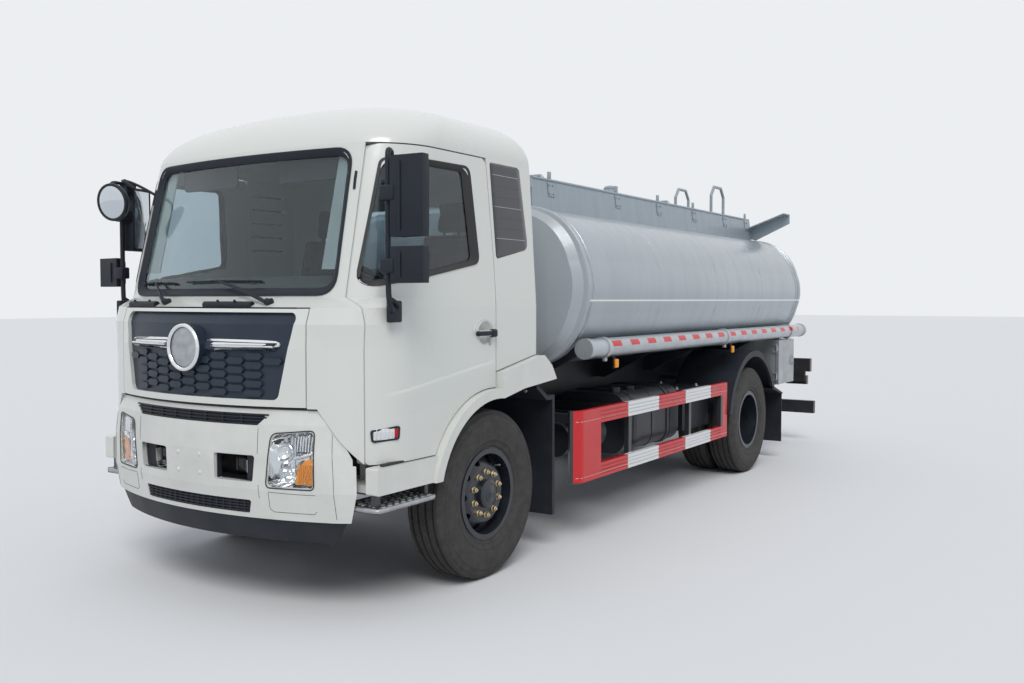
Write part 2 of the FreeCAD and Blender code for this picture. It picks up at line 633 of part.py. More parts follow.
def bumper_top_zone(gap):
    """Front view of what lies below the seam between the bumper and the cab's nose, gap above it."""
    side, shoulder, low, high = CAB_BEYOND_X, CAB_HALF_W - 102.0, 850.0 + gap, BUMPER_TOP_Z + gap
    left = [(side, 300), (side, low), (shoulder, low), (shoulder - 96, low + 124), (shoulder - 206, high)]
    return left + [(-x, z) for x, z in reversed(left)]


def tilt_zone():
    """Room for the cab's tilting arms and the frame's lugs beside them."""
    half = TILT_ARM_HALF_W + TILT_LUG_T + 10.0
    return both_sides(box(TILT_ARM_X - half, TILT_ARM_X + half, -1400, RAIL_FRONT_Y + 60, TILT_Z - 100, TILT_Z + 260))


def make_bumper():
    shell = bumper_volume(0).cut(bumper_volume(BUMPER_T))
    shell = shell.common(box(-CAB_BEYOND_X, CAB_BEYOND_X, -1500, BUMPER_REAR_Y, BUMPER_BOTTOM_Z, BUMPER_TOP_Z))
    shell = shell.common(front_prism(bumper_top_zone(0.0), -1500, -900))
    shell = shell.cut(box(-CAB_BEYOND_X, CAB_BEYOND_X, BUMPER_REAR_Y - 12, BUMPER_REAR_Y + 1, 850, BUMPER_TOP_Z + 1))
    openings = [
        front_prism([(-500, 1052), (500, 1052), (560, 1112), (-560, 1112)], -1500, -1200, 15),
        front_prism([(-430, 566), (430, 566), (452, 640), (-452, 640)], -1500, -1200, 12),
    ]
    for s in (-1, 1):
        hole = front_prism([(s * 205, 742), (s * 470, 742), (s * 488, 888), (s * 205, 888)], -1500, -1200, 15)
        lamp = front_prism([(s * x, z) for x, z, r in LAMP_OUTLINE], -1500, -900, [r for x, z, r in LAMP_OUTLINE])
        openings += [hole, lamp]
    for opening in openings:
        shell = shell.cut(opening)
    mesh = bumper_volume(26).cut(bumper_volume(38))
    upper = mesh.common(front_prism([(-520, 1046), (520, 1046), (575, 1118), (-575, 1118)], -1500, -1200))
    lower = mesh.common(front_prism([(-440, 560), (440, 560), (462, 646), (-462, 646)], -1500, -1200))
    slits = []
    for i in range(3):
        slits.append(box(-560, 560, -1500, -1200, 1060 + i * 17, 1068 + i * 17))
    for i in range(2):
        slits.append(box(-420, 420, -1500, -1200, 580 + i * 26, 592 + i * 26))
    for slit in slits:
        upper = upper.cut(slit)
        lower = lower.cut(slit)
    stays = [box(x - 40, x + 40, -1345, RAIL_FRONT_Y, RAIL_MID_Z - 80, RAIL_MID_Z - 10)
             for x in (-RAIL_OUT_X, 0.0, RAIL_OUT_X)]
    stays = [stay.common(bumper_volume(BUMPER_T)) for stay in stays]
    beam_x = LAMP_OUTLINE[0][0] - 26.0
    beam = box(-beam_x, beam_x, TOW_EYE_FRONT_Y, RAIL_FRONT_Y, RAIL_MID_Z - 100, RAIL_MID_Z + 20)
    beam = beam.common(bumper_volume(BUMPER_T)).cut(tilt_zone())
    bumper = fuse([shell, upper, lower, beam] + stays)
    for s in (-1, 1):
        for z in PLATE_HOLE_Z:
            bumper = bumper.cut(rod((s * PLATE_HOLE_X, -1500, z), (s * PLATE_HOLE_X, -1250, z), PLATE_HOLE_R))
    eye_z = RAIL_MID_Z - 40.0
    return bumper.cut(rod((TOW_EYE_X, TOW_EYE_FRONT_Y - 1, eye_z), (TOW_EYE_X, RAIL_FRONT_Y, eye_z), TOW_EYE_R))


def make_bumper_lip():
    lip = bumper_volume(12).cut(bumper_volume(BUMPER_T + 6))
    return lip.common(box(-CAB_BEYOND_X, CAB_BEYOND_X, -1500, BUMPER_REAR_Y, LIP_BOTTOM_Z, BUMPER_BOTTOM_Z))


def make_headlamps():
    block = bumper_volume(8).cut(bumper_volume(120))
    lamp = block.common(front_prism([(x, z) for x, z, r in LAMP_OUTLINE], -1500, -900,
                                    [r for x, z, r in LAMP_OUTLINE]))
    return both_sides(lamp)


# ---- chassis -------------------------------------------------------------------------
def make_rails():
    """Two channels, open towards each other."""
    out, inn = RAIL_OUT_X, RAIL_OUT_X - RAIL_FLANGE
    rail = box(inn, out, RAIL_FRONT_Y, RAIL_REAR_Y, RAIL_BOTTOM_Z, RAIL_TOP_Z)
    return both_sides(rail.cut(box(inn - 1, out - RAIL_T, RAIL_FRONT_Y - 1, RAIL_REAR_Y + 1,
                                   RAIL_BOTTOM_Z + RAIL_T, RAIL_TOP_Z - RAIL_T)))


def channel_across(y, z0, z1):
    """Cross member between the rails, a channel open to the rear."""
    x = RAIL_OUT_X - RAIL_T
    return box(-x, x, y - 35, y + 35, z0, z1).cut(box(-x - 1, x + 1, y - 27, y + 36, z0 + 8, z1 - 8))


def tow_jaw():
    y, z = RAIL_REAR_Y, RAIL_BOTTOM_Z
    block = box(-120, 120, y - 70, y, z, z + TOW_JAW_H).fuse(box(-60, 60, y, y + 95, z, z + TOW_JAW_H))
    block = block.cut(box(-61, 61, y + 12, y + 96, z + 35, z + 85))
    return block.cut(rod((0, y + 55, z - 1), (0, y + 55, z + TOW_JAW_H + 1), TOW_PIN_R))


def make_cross_members():
    """Cross members of the frame; the first carries the cab's tilt pins and the last the towing jaw."""
    low, high = RAIL_BOTTOM_Z + 30.0, RAIL_TOP_Z - 30.0
    first = [channel_across(RAIL_FRONT_Y + 40, RAIL_BOTTOM_Z + 10, RAIL_BOTTOM_Z + 80)]
    gap = TILT_ARM_HALF_W + 6.0
    for s in (-1, 1):
        x = s * TILT_ARM_X
        for x0 in (x - gap - TILT_LUG_T, x + gap):
            first.append(box(x0, x0 + TILT_LUG_T, TILT_Y - TILT_BOSS_R, RAIL_FRONT_Y + 30,
                             TILT_Z - TILT_BOSS_R, TILT_Z + TILT_BOSS_R))
        reach = gap + TILT_LUG_T
        first.append(rod((x - reach, TILT_Y, TILT_Z), (x + reach, TILT_Y, TILT_Z), TILT_PIN_R))
    members = [fuse(first)]
    tunnel = rod(SHAFT_FRONT, SHAFT_REAR, SHAFT_R + 24)
    for y in (FUEL_TANK_Y[0] + 350, BATTERY_BOX_Y + 410, WHEELBASE - 700):
        members.append(channel_across(y, low, high).cut(tunnel))
    members.append(channel_across(WHEELBASE + 750, low, high))
    members.append(fuse([channel_across(RAIL_REAR_Y - 60, low, high), tow_jaw()]))
    return group(members)


def leaf_pack(x, y0, length, low_z, rise, width=75.0, thick=56.0):
    """Arched spring pack: longest leaf on top, shorter ones below."""
    pieces = []
    for i in range(4):
        half = length / 2.0 * (1.0 - 0.2 * i)
        lift = rise * (half / (length / 2.0)) ** 2
        t = thick / 4.0
        z = low_z + thick - t * (i + 1)
        ends = [V(x, y0 - half, z + lift), V(x, y0 + half, z + lift)]
        lower = Part.Arc(ends[0], V(x, y0, z), ends[1]).toShape()
        up = V(0, 0, t + 0.6 * (i > 0))
        upper = Part.Arc(ends[1] + up, V(x, y0, z) + up, ends[0] + up).toShape()
        sides = [Part.LineSegment(ends[1], ends[1] + up).toShape(), Part.LineSegment(ends[0] + up, ends[0]).toShape()]
        face = Part.Face(Part.Wire([lower, sides[0], upper, sides[1]]))
        leaf = face.extrude(V(width, 0, 0))
        leaf.translate(V(-width / 2.0, 0, 0))
        pieces.append(leaf)
    return pieces


def spring_with_hangers(x, y0, length, low_z, rise, seat_z):
    pieces = leaf_pack(x, y0, length, low_z, rise)
    tip_z = low_z + rise + 30
    for s in (-1, 1):
        y = y0 + s * (length / 2.0 - 30)
        pieces.append(box(x - 38, x + 38, y - 45, y + 45, tip_z, RAIL_BOTTOM_Z))
    pieces.append(box(x - 45, x + 45, y0 - 70, y0 + 70, seat_z, low_z + 2))
    pieces.append(box(x - 45, x + 45, y0 - 60, y0 + 60, low_z + 50, low_z + 80))
    return fuse(pieces)


def make_springs():
    x = RAIL_OUT_X - RAIL_FLANGE / 2.0
    front = spring_with_hangers(x, 0.0, 1360.0, AXLE_Z + 49, 90.0, AXLE_Z - 1)
    rear = spring_with_hangers(x, WHEELBASE, 1500.0, AXLE_Z + 86, 60.0, AXLE_Z + 30)
    rear = rear.cut(rod((x - 60, WHEELBASE, AXLE_Z), (x + 60, WHEELBASE, AXLE_Z), AXLE_TUBE_R))
    return group([front, other_side(front), rear, other_side(rear)])


def make_front_axle():
    beam_z = AXLE_Z - 56.0
    beam = box(-560, 560, -38, 38, beam_z - 55, beam_z + 55)
    beam = beam.cut(both_sides(box(-561, 561, 14, 60, beam_z - 40, beam_z + 40)))
    beam = beam.cut(box(-561, 561, -60, -14, beam_z - 40, beam_z + 40))
    pieces = [beam]
    for s in (-1, 1):
        neck = front_prism([(s * 556, beam_z - 55), (s * 600, beam_z - 45), (s * 850, AXLE_Z - 44), (s * 850, AXLE_Z + 44),
                            (s * 640, AXLE_Z + 34), (s * 556, beam_z + 55)], -32, 32)
        boss = rod((s * KINGPIN_X, 0, AXLE_Z - 48), (s * KINGPIN_X, 0, AXLE_Z + 48), 44)
        web = box(min(s * 845, s * KINGPIN_X), max(s * 845, s * KINGPIN_X), -32, 32, AXLE_Z - 42, AXLE_Z + 42)
        pin = rod((s * KINGPIN_X, 0, AXLE_Z - 90), (s * KINGPIN_X, 0, AXLE_Z + 90), KINGPIN_R)
        pieces += [neck, boss, web, pin]
    return fuse(pieces)


def make_knuckle():
    """Left steering knuckle: forked lugs on the kingpin and the wheel's spindle."""
    lugs = []
    for z0, z1 in ((AXLE_Z + 54, AXLE_Z + 86), (AXLE_Z - 86, AXLE_Z - 54)):
        lug = fuse([rod((KINGPIN_X, 0, z0), (KINGPIN_X, 0, z1), 42), box(KINGPIN_X, 975, -42, 42, z0, z1)])
        lugs.append(lug.cut(rod((KINGPIN_X, 0, z0 - 1), (KINGPIN_X, 0, z1 + 1), KINGPIN_R + FIT)))
    plate = box(953, 975, -62, 62, AXLE_Z - 86, AXLE_Z + 86)
    spindle = rod((970, 0, AXLE_Z), (1118, 0, AXLE_Z), FRONT_SPINDLE_R)
    arm = box(930, 953, -62, -50, AXLE_Z - 86, AXLE_Z - 40)
    return fuse(lugs + [plate, spindle, arm])


def tyre(x, y):
    """Carcass that grips the rim's flanges; flat tread, bulging walls."""
    half, shoulder = TYRE_W / 2.0, 18.0
    bead, wall_z = RIM_R - 22.0, (RIM_R - 22.0 + TYRE_R) / 2.0
    flange_x, inside_x = RIM_W / 2.0, RIM_W / 2.0 - 14.0
    side = [(inside_x, bead), (inside_x, RIM_R), (flange_x, RIM_R), (half, wall_z), (half * 0.84, TYRE_R - shoulder),
            (half * 0.72, TYRE_R)]
    right = [V(x + px, y, AXLE_Z + pz) for px, pz in side]
    left = [V(x - px, y, AXLE_Z + pz) for px, pz in side]
    edges = [Part.LineSegment(left[0], left[1]), Part.LineSegment(left[1], left[2]),
             Part.Arc(left[2], left[3], left[4]), Part.LineSegment(left[4], left[5]),
             Part.LineSegment(left[5], right[5]), Part.LineSegment(right[5], right[4]),
             Part.Arc(right[4], right[3], right[2]), Part.LineSegment(right[2], right[1]),
             Part.LineSegment(right[1], right[0]), Part.LineSegment(right[0], left[0])]
    face = Part.Face(Part.Wire([e.toShape() for e in edges]))
    return face.revolve(V(x, y, AXLE_Z), V(1, 0, 0), 360)


def hand_holes(rim, x0, x1, y, circle_r, hole_r):
    for i in range(HAND_HOLES):
        a = 2.0 * math.pi * i / HAND_HOLES
        yy, zz = y + circle_r * math.cos(a), AXLE_Z + circle_r * math.sin(a)
        rim = rim.cut(rod((x0, yy, zz), (x1, yy, zz), hole_r))
    return rim


def rim_barrel(x, y):
    half, bead = RIM_W / 2.0, RIM_R - 22.0
    profile = [(-half, bead - 10), (-half, RIM_R), (-half + 14, RIM_R), (-half + 14, bead), (half - 14, bead),
               (half - 14, RIM_R), (half, RIM_R), (half, bead - 10)]
    return turned(profile, x, AXLE_Z, y)


def make_front_rim():
    """Left front wheel: barrel, disc with hand holes, hub and brake drum."""
    x = FRONT_WHEEL_X
    disc = turned([(20, RIM_R - 30), (34, RIM_R - 30), (92, 175), (92, 60), (78, 60), (78, 168), (20, RIM_R - 50)],
                  x, AXLE_Z, 0)
    disc = hand_holes(disc, x, x + 120, 0, 212, 26)
    bore = FRONT_SPINDLE_R + FIT
    hub = turned([(-22, bore), (-22, 95), (80, 95), (80, 88), (118, 88), (126, 70), (126, bore)], x, AXLE_Z, 0)
    drum = turned([(-45, 185), (-45, 205), (40, 205), (40, 90), (28, 90), (28, 185)], x, AXLE_Z, 0)
    return fuse([rim_barrel(x, 0), disc, hub, drum])


def make_rear_rim():
    """Left rear twin wheel: two barrels on one hub, the outer disc dished inwards."""
    y = WHEELBASE
    middle = (REAR_OUTER_X + REAR_INNER_X) / 2.0
    pieces = [rim_barrel(REAR_OUTER_X, y), rim_barrel(REAR_INNER_X, y)]
    for s, x in ((1, middle), (-1, middle)):
        disc = turned([(0, 60), (s * 14, 60), (s * 14, 172), (s * 62, RIM_R - 40), (s * 62, RIM_R - 31),
                       (s * 50, RIM_R - 31), (0, 178)], x, AXLE_Z, y)
        pieces.append(disc)
    pieces[2] = hand_holes(pieces[2], middle - 100, middle + 120, y, 212, 26)
    pieces[3] = hand_holes(pieces[3], middle - 120, middle + 100, y, 212, 26)
    bore = REAR_SPINDLE_R + FIT
    hub = turned([(-230, bore), (-230, 90), (20, 110), (120, 110), (150, 90), (150, bore)], middle, AXLE_Z, y)
    drum = turned([(-260, 185), (-260, 208), (-60, 208), (-60, 90), (-75, 90), (-75, 185)], middle, AXLE_Z, y)
    return fuse(pieces + [hub, drum])


def make_rear_axle():
    y = WHEELBASE
    middle = (REAR_OUTER_X + REAR_INNER_X) / 2.0
    tube = rod((-650, y, AXLE_Z), (650, y, AXLE_Z), AXLE_TUBE_R)
    banjo = rod((0, y - 90, AXLE_Z), (0, y + 110, AXLE_Z), 205)
    cover = Part.makeSphere(150, V(0, y + 60, AXLE_Z))
    nose = Part.makeCone(150, 70, 230, V(0, y - 80, AXLE_Z), V(0, -1, 0.06))
    spindles = [rod((s * 640, y, AXLE_Z), (s * (middle + 146), y, AXLE_Z), REAR_SPINDLE_R) for s in (-1, 1)]
    return fuse([tube, banjo, cover, nose] + spindles)


def make_engine():
    return box(-340, 340, -640, 480, 640, 1440)


def make_driveline():
    y0, y1, half = 480.0, SHAFT_FRONT[1], GEARBOX_HALF_W
    gearbox = side_prism([(y0, RAIL_MID_Z - 170), (y1, RAIL_MID_Z - 120), (y1, RAIL_MID_Z + 120), (y0, RAIL_MID_Z + 260)],
                         -half, half, [0, 30, 60, 0])
    return fuse([gearbox, rod(SHAFT_FRONT, SHAFT_REAR, SHAFT_R)])


def make_radiator():
    half = TILT_ARM_X - TILT_ARM_HALF_W - 12.0
    core = box(-half + 20, half - 20, -960, -860, 640, 1190)
    header = [box(-half, half, -970, -850, z, z + 50) for z in (630.0, 1150.0)]
    shroud = box(-half + 50, half - 50, -860, -640, 700, 1150)
    return fuse([core, shroud] + header)


def guard_section(y0, y1, z0, z1):
    """Ribbed rail of the side guard, ribs running along it."""
    bar = box(GUARD_X - GUARD_T, GUARD_X, y0, y1, z0, z1)
    for i in range(1, 4):
        z = z0 + (z1 - z0) * i / 4.0
        bar = bar.cut(box(GUARD_X - 6, GUARD_X + 1, y0 - 1, y1 + 1, z - 4, z + 4))
    return bar


def make_side_guards():
    """Frame of two ribbed rails, a wide wrapped front end and a rear post, on arms from the ladder frame."""
    y0, y1 = GUARD_FRONT_Y, GUARD_REAR_Y
    top0, top1, low0, low1 = 840.0, 950.0, 440.0, 545.0
    inner = GUARD_X - GUARD_T
    upper = guard_section(y0 + 200, y1, top0, top1)
    lower = guard_section(y0 + 200, y1, low0, low1)
    front = plan_prism([(GUARD_X, y0 + 395), (GUARD_X, y0 + 110), (GUARD_X - 62, y0 + 44), (GUARD_X - 96, y0 + 78),
                        (inner, y0 + 150), (inner, y0 + 395)], low0, top1, [0, 70, 0, 0, 30, 0])
    rear = box(inner, GUARD_X, y1 - 160, y1, low0, top1)
    arms = []
    for y in (AIR_TANK_Y - 80, FUEL_TANK_Y[0] - 95, FUEL_TANK_Y[1] + 36, y1 - 100.0):
        arms.append(box(RAIL_OUT_X, inner, y - 25, y + 25, RAIL_MID_Z - 8, RAIL_MID_Z + 52))
        arms.append(box(inner - 40, inner, y - 25, y + 25, low0 + 20, RAIL_MID_Z + 40))
    return both_sides(fuse([upper, lower, front, rear] + arms))


def make_mudguards():
    """Arched guards with tails over the rear wheels, and the screens behind the front wheels."""
    y, z, r = WHEELBASE + 40.0, MUDGUARD_Z, MUDGUARD_R
    beyond = MUDGUARD_X + 50.0
    x0, x1 = 640.0, MUDGUARD_X
    ring = rod((x0, y, z), (x1, y, z), r)
    ring = ring.cut(rod((x0 - 1, y, z), (x1 - 30, y, z), r - 12))
    ring = ring.cut(rod((x0 - 1, y, z), (x1 + 1, y, z), r - 60))
    ahead = box(0, beyond, y - r - 1, y, z + 110, z + r + 1)
    behind = box(0, beyond, y, y + r + 1, z + 280, z + r + 1)
    ring = ring.common(ahead.fuse(behind))
    tail_y = y + math.sqrt(r ** 2 - 280.0 ** 2)
    flap_y = MUDGUARD_FLAP_Y
    tail = side_prism([(tail_y - 12, z + 280), (tail_y, z + 280), (flap_y + 10, z + 195), (flap_y, z + 180),
                       (tail_y - 60, z + 262)], x0, x1)
    flap = box(x0 + 10, x1 - 10, flap_y, flap_y + 10, 190, z + 190)
    stays = []
    for s in (-1, 1):
        at_y = y + s * 420.0
        stays.append(box(RAIL_OUT_X, x0 + 200, at_y - 20, at_y + 20, RAIL_TOP_Z - 60, RAIL_TOP_Z - 20))
        stays.append(box(x0 + 160, x0 + 200, at_y - 20, at_y + 20, RAIL_TOP_Z - 40, z + r - 150))
    rear = fuse([ring, tail, flap] + stays)
    screen = plan_prism([(560, 760), (1130, 760), (1130, 790), (560, 790)], 250, 1080)
    hood = side_prism([(560, 1168), (700, 1080), (790, 1080), (790, 1050), (690, 1050), (555, 1140)], 560, 1130)
    hanger = box(RAIL_OUT_X, 600, 765, 785, RAIL_MID_Z - 40, RAIL_MID_Z + 100)
    front = fuse([screen, hood, hanger])
    return group([rear, other_side(rear), front, other_side(front)])


def make_fuel_tank():
    (y0, y1), z0, z1 = FUEL_TANK_Y, FUEL_TANK_BOTTOM_Z, FUEL_TANK_BOTTOM_Z + FUEL_TANK_H
    x0, x1, strap = RAIL_OUT_X + 40.0, EQUIPMENT_X, 8.0
    body = front_prism([(x0, z0), (x1, z0), (x1, z1), (x0, z1)], y0, y1, 120)
    straps = []
    for y in (y0 + 230.0, y1 - 230.0):
        straps.append(front_prism([(x0 - strap, z0 - strap), (x1 + strap, z0 - strap), (x1 + strap, z1 + strap),
                                   (x0 - strap, z1 + strap)], y - 30, y + 30, 126))
        straps.append(box(RAIL_OUT_X, x0 + 10, y - 30, y + 30, RAIL_BOTTOM_Z + 10, RAIL_MID_Z + 40))
    cap = rod((x1 - 150, y0 + 120, z1 - 10), (x1 - 150, y0 + 120, z1 + 40), 45)
    return fuse([body, cap] + straps)


def make_air_tanks():
    y0, y1, z = AIR_TANK_Y, AIR_TANK_Y + AIR_TANK_L, RAIL_MID_Z - 160.0
    x_in, x_out = RAIL_OUT_X + 63.0 + AIR_TANK_R, EQUIPMENT_X - 60.0 - AIR_TANK_R
    tanks = [rod((x, y0, z), (x, y1, z), AIR_TANK_R) for x in (x_in, x_out)]
    for y in (y0 + 80.0, y1 - 80.0):
        tanks.append(box(RAIL_OUT_X, x_out + 100, y - 25, y + 25, z + AIR_TANK_R - 10, z + AIR_TANK_R + 35))
    return fuse(tanks)


def make_silencer():
    """Right-hand muffler, its inlet passing under the rail."""
    y0, y1 = AIR_TANK_Y, AIR_TANK_Y + AIR_TANK_L
    x0, x1, z0, z1 = RAIL_OUT_X + 38.0, EQUIPMENT_X, 480.0, 980.0
    body = front_prism([(x0, z0), (x1, z0), (x1, z1), (x0, z1)], y0, y1, 90)
    inlet = rod((x0 + 10, y0 + 120, RAIL_BOTTOM_Z - 70), (RAIL_OUT_X - 230, y0 + 120, RAIL_BOTTOM_Z - 70), 55)
    hang = [box(RAIL_OUT_X, x0 + 5, y - 25, y + 25, RAIL_BOTTOM_Z + 50, RAIL_MID_Z + 80) for y in (y0 + 120, y1 - 60)]
    tail_x, tail_z = (x0 + x1) / 2.0, z0 + 120.0
    tail = pipe([(tail_x, y1 - 5, tail_z), (tail_x, y1 + 120, tail_z), (tail_x, y1 + 160, tail_z - 60)], 50)
    return other_side(fuse([body, inlet, tail] + hang))


def make_battery_box():
    y0, y1, z0, z1 = BATTERY_BOX_Y, BATTERY_BOX_Y + BATTERY_BOX_L, BATTERY_BOX_BOTTOM_Z, BATTERY_BOX_BOTTOM_Z + BATTERY_BOX_H
    x0, x1 = RAIL_OUT_X + 128.0, EQUIPMENT_X + 5.0
    case = box(x0, x1, y0, y1, z0, z1)
    lid = box(x0 - 10, x1 + 10, y0 - 10, y1 + 10, z1 - 10, z1 + 45)
    hang = [box(RAIL_OUT_X, x0 + 5, y - 25, y + 25, z1 - 100, z1) for y in (y0 + 120.0, y1 - 120.0)]
    return fuse([case, lid] + hang)


# ---- tank and its fittings --------------------------------------------------------------
def tank_section(y, scale):
    """Flattened oval of eight tangent-like arcs; scale shrinks it about its middle."""
    def at(x, z):
        return V(x * scale, y, TANK_MID_Z + (z - TANK_MID_Z) * scale)

    w, top, bottom = TANK_HALF_W, TANK_TOP_Z, TANK_BOTTOM_Z
    rise = top - TANK_MID_Z
    sink = TANK_MID_Z - bottom
    quarter = [(0.0, rise), (0.3 * w, 0.988 * rise), (0.58 * w, 0.942 * rise), (0.83 * w, 0.745 * rise),
               (0.968 * w, 0.31 * rise), (w, 0.0)]

    def up(p, s=1):
        return at(s * p[0], TANK_MID_Z + p[1])

    def down(p, s=1):
        return at(s * p[0], TANK_MID_Z - p[1] * sink / rise)

    c, side_mid = quarter[2], (0.992 * w, 0.155 * rise)
    e = quarter[4]
    edges = [
        Part.Arc(up(c, -1), up(quarter[0]), up(c)),
        Part.Arc(up(c), up(quarter[3]), up(e)),
        Part.Arc(up(e), at(w, TANK_MID_Z), down(e)),
        Part.Arc(down(e), down(quarter[3]), down(c)),
        Part.Arc(down(c), down(quarter[0]), down(c, -1)),
        Part.Arc(down(c, -1), down(quarter[3], -1), down(e, -1)),
        Part.Arc(down(e, -1), at(-w, TANK_MID_Z), up(e, -1)),
        Part.Arc(up(e, -1), up(quarter[3], -1), up(c, -1)),
    ]
    return Part.Wire([edge.toShape() for edge in edges])


def tank_body(scale=1.0):
    return Part.Face(tank_section(TANK_FRONT_Y, scale)).extrude(V(0, TANK_REAR_Y - TANK_FRONT_Y, 0))


# Half of the tank from its end towards the middle; columns: distance in from the end of
# the shell (negative on the dished head) and the scale of the section there.
TANK_END = [
    (-HEAD_DEPTH, 0.30), (-0.92 * HEAD_DEPTH, 0.62), (-0.5 * HEAD_DEPTH, 0.93),
    (-6.0, 0.985), (0.0, 1.012), (26.0, 1.012), (32.0, 1.0),
]


def make_tank():
    """Closed shell with dished heads and rolled rims, two manhole necks and a vent."""
    front = [tank_section(TANK_FRONT_Y + inward, scale) for inward, scale in TANK_END]
    rear = [tank_section(TANK_REAR_Y - inward, scale) for inward, scale in reversed(TANK_END)]
    tank = Part.makeLoft(front + rear, True, True)
    for y in MANHOLE_Y:
        neck = rod((0, y, TANK_TOP_Z - 60), (0, y, TANK_TOP_Z + 120), MANHOLE_R - 20)
        rim = rod((0, y, MANHOLE_TOP_Z - 24), (0, y, MANHOLE_TOP_Z), MANHOLE_R)
        hinge_y, hinge_z = lid_hinge(y)
        lug = box(-60, 60, y + MANHOLE_R - 60, hinge_y + 22, MANHOLE_TOP_Z - 60, MANHOLE_TOP_Z - 30)
        tank = tank.fuse(neck).fuse(rim).fuse(lug)
        for s in (-1, 1):
            ear = box(s * 48 - 12, s * 48 + 12, hinge_y - 22, hinge_y + 22, MANHOLE_TOP_Z - 60, hinge_z + 22)
            tank = tank.fuse(ear)
        tank = tank.fuse(rod((-60, hinge_y, hinge_z), (60, hinge_y, hinge_z), LID_PIN_R))
    post = rod((0, VENT_Y, TANK_TOP_Z - 40), (0, VENT_Y, TANK_TOP_Z + 340), 36)
    cap = rod((0, VENT_Y, TANK_TOP_Z + 340), (0, VENT_Y, TANK_TOP_Z + 406), 62)
    return tank.fuse(post).fuse(cap)


def lid_hinge(y):
    """Height and place of the hinge line behind the manhole at y."""
    return y + MANHOLE_R + 52.0, MANHOLE_TOP_Z + GAP + 13.0


def make_lid(y):
    """Manhole lid with a lifting hoop, hinged at its rear edge."""
    z = MANHOLE_TOP_Z + GAP
    plate = rod((0, y, z), (0, y, z + 26), MANHOLE_R)
    hinge_y, hinge_z = lid_hinge(y)
    knuckle = rod((-30, hinge_y, hinge_z), (30, hinge_y, hinge_z), 20)
    dome = rod((0, y, z + 26), (0, y, z + 60), MANHOLE_R - 90)
    hoop = pipe([(-110, y, z + 20), (-110, y, z + 190), (-60, y, z + 245), (60, y, z + 245), (110, y, z + 190),
                 (110, y, z + 20)], 16)
    lug = box(-30, 30, y + MANHOLE_R - 30, hinge_y, z, z + 26)
    lid = fuse([plate, dome, hoop, lug, knuckle])
    return lid.cut(rod((-31, hinge_y, hinge_z), (31, hinge_y, hinge_z), LID_PIN_R + FIT))


def make_cradle():
    """Long bearers on the rails and saddle plates under the tank, a few millimetres clear of it."""
    beam = box(RAIL_OUT_X - RAIL_FLANGE, RAIL_OUT_X, TANK_FRONT_Y + 60, TANK_REAR_Y - 40, RAIL_TOP_Z, TANK_BOTTOM_Z + 110)
    pieces = [beam, other_side(beam)]
    low, high, end_x = RAIL_TOP_Z + 60, TANK_BOTTOM_Z + 315, TANK_HALF_W - 145
    for y in (TANK_FRONT_Y + 160, TANK_FRONT_Y + 1600, GUARD_REAR_Y - 140, WHEELBASE + MUDGUARD_R + 30, TANK_REAR_Y - 60):
        pieces.append(front_prism([(-520, low), (520, low), (end_x, high - 190), (end_x, high),
                                   (-end_x, high), (-end_x, high - 190)], y - 25, y + 25))
    pipe_y = (CABINET["y0"] + CABINET["y1"]) / 2.0
    pipe_way = rod((0, pipe_y, PIPE_Z), (RAIL_OUT_X + 1, pipe_y, PIPE_Z), PIPE_R + GAP)
    sump_way = rod((0, pipe_y, RAIL_TOP_Z), (0, pipe_y, TANK_BOTTOM_Z + 40), SUMP_R + GAP)
    return fuse(pieces).cut(tank_body(TANK_SEAT)).cut(pipe_way).cut(sump_way)


def make_coaming():
    y0, y1 = TANK_FRONT_Y + 160.0, TANK_REAR_Y - 50.0
    base = TANK_TOP_Z - 80
    plate = front_prism([(COAMING_X - 14, base), (COAMING_X + 14, base), (COAMING_X - 26, COAMING_TOP_Z),
                         (COAMING_X - 54, COAMING_TOP_Z)], y0, y1)
    ends = [box(-COAMING_X, COAMING_X, y, y + 14, TANK_TOP_Z - 60, COAMING_TOP_Z - 90) for y in (y0, y1 - 14)]
    top = box(COAMING_X - 90, COAMING_X - 26, y0, y1, COAMING_TOP_Z - 12, COAMING_TOP_Z)
    body = fuse([plate, other_side(plate), top, other_side(top)] + ends)
    x0, x1, z = COAMING_X - 10.0, TANK_HALF_W - 110.0, TANK_TOP_Z
    wing = front_prism([(x0, z - 5), (x0 + 60, z - 25), (x1, z + 155), (x1, z + 261), (x1 - 35, z + 267), (x0, z + 115)],
                       y1, y1 + 26)
    wing_top = front_prism([(x0, z + 103), (x1 - 35, z + 255), (x1, z + 249), (x1, z + 261), (x1 - 35, z + 267),
                            (x0, z + 115)], y1 - 110, y1 + 26)
    side = fuse([wing, wing_top])
    return fuse([body, side, other_side(side)]).cut(tank_body(TANK_SEAT))


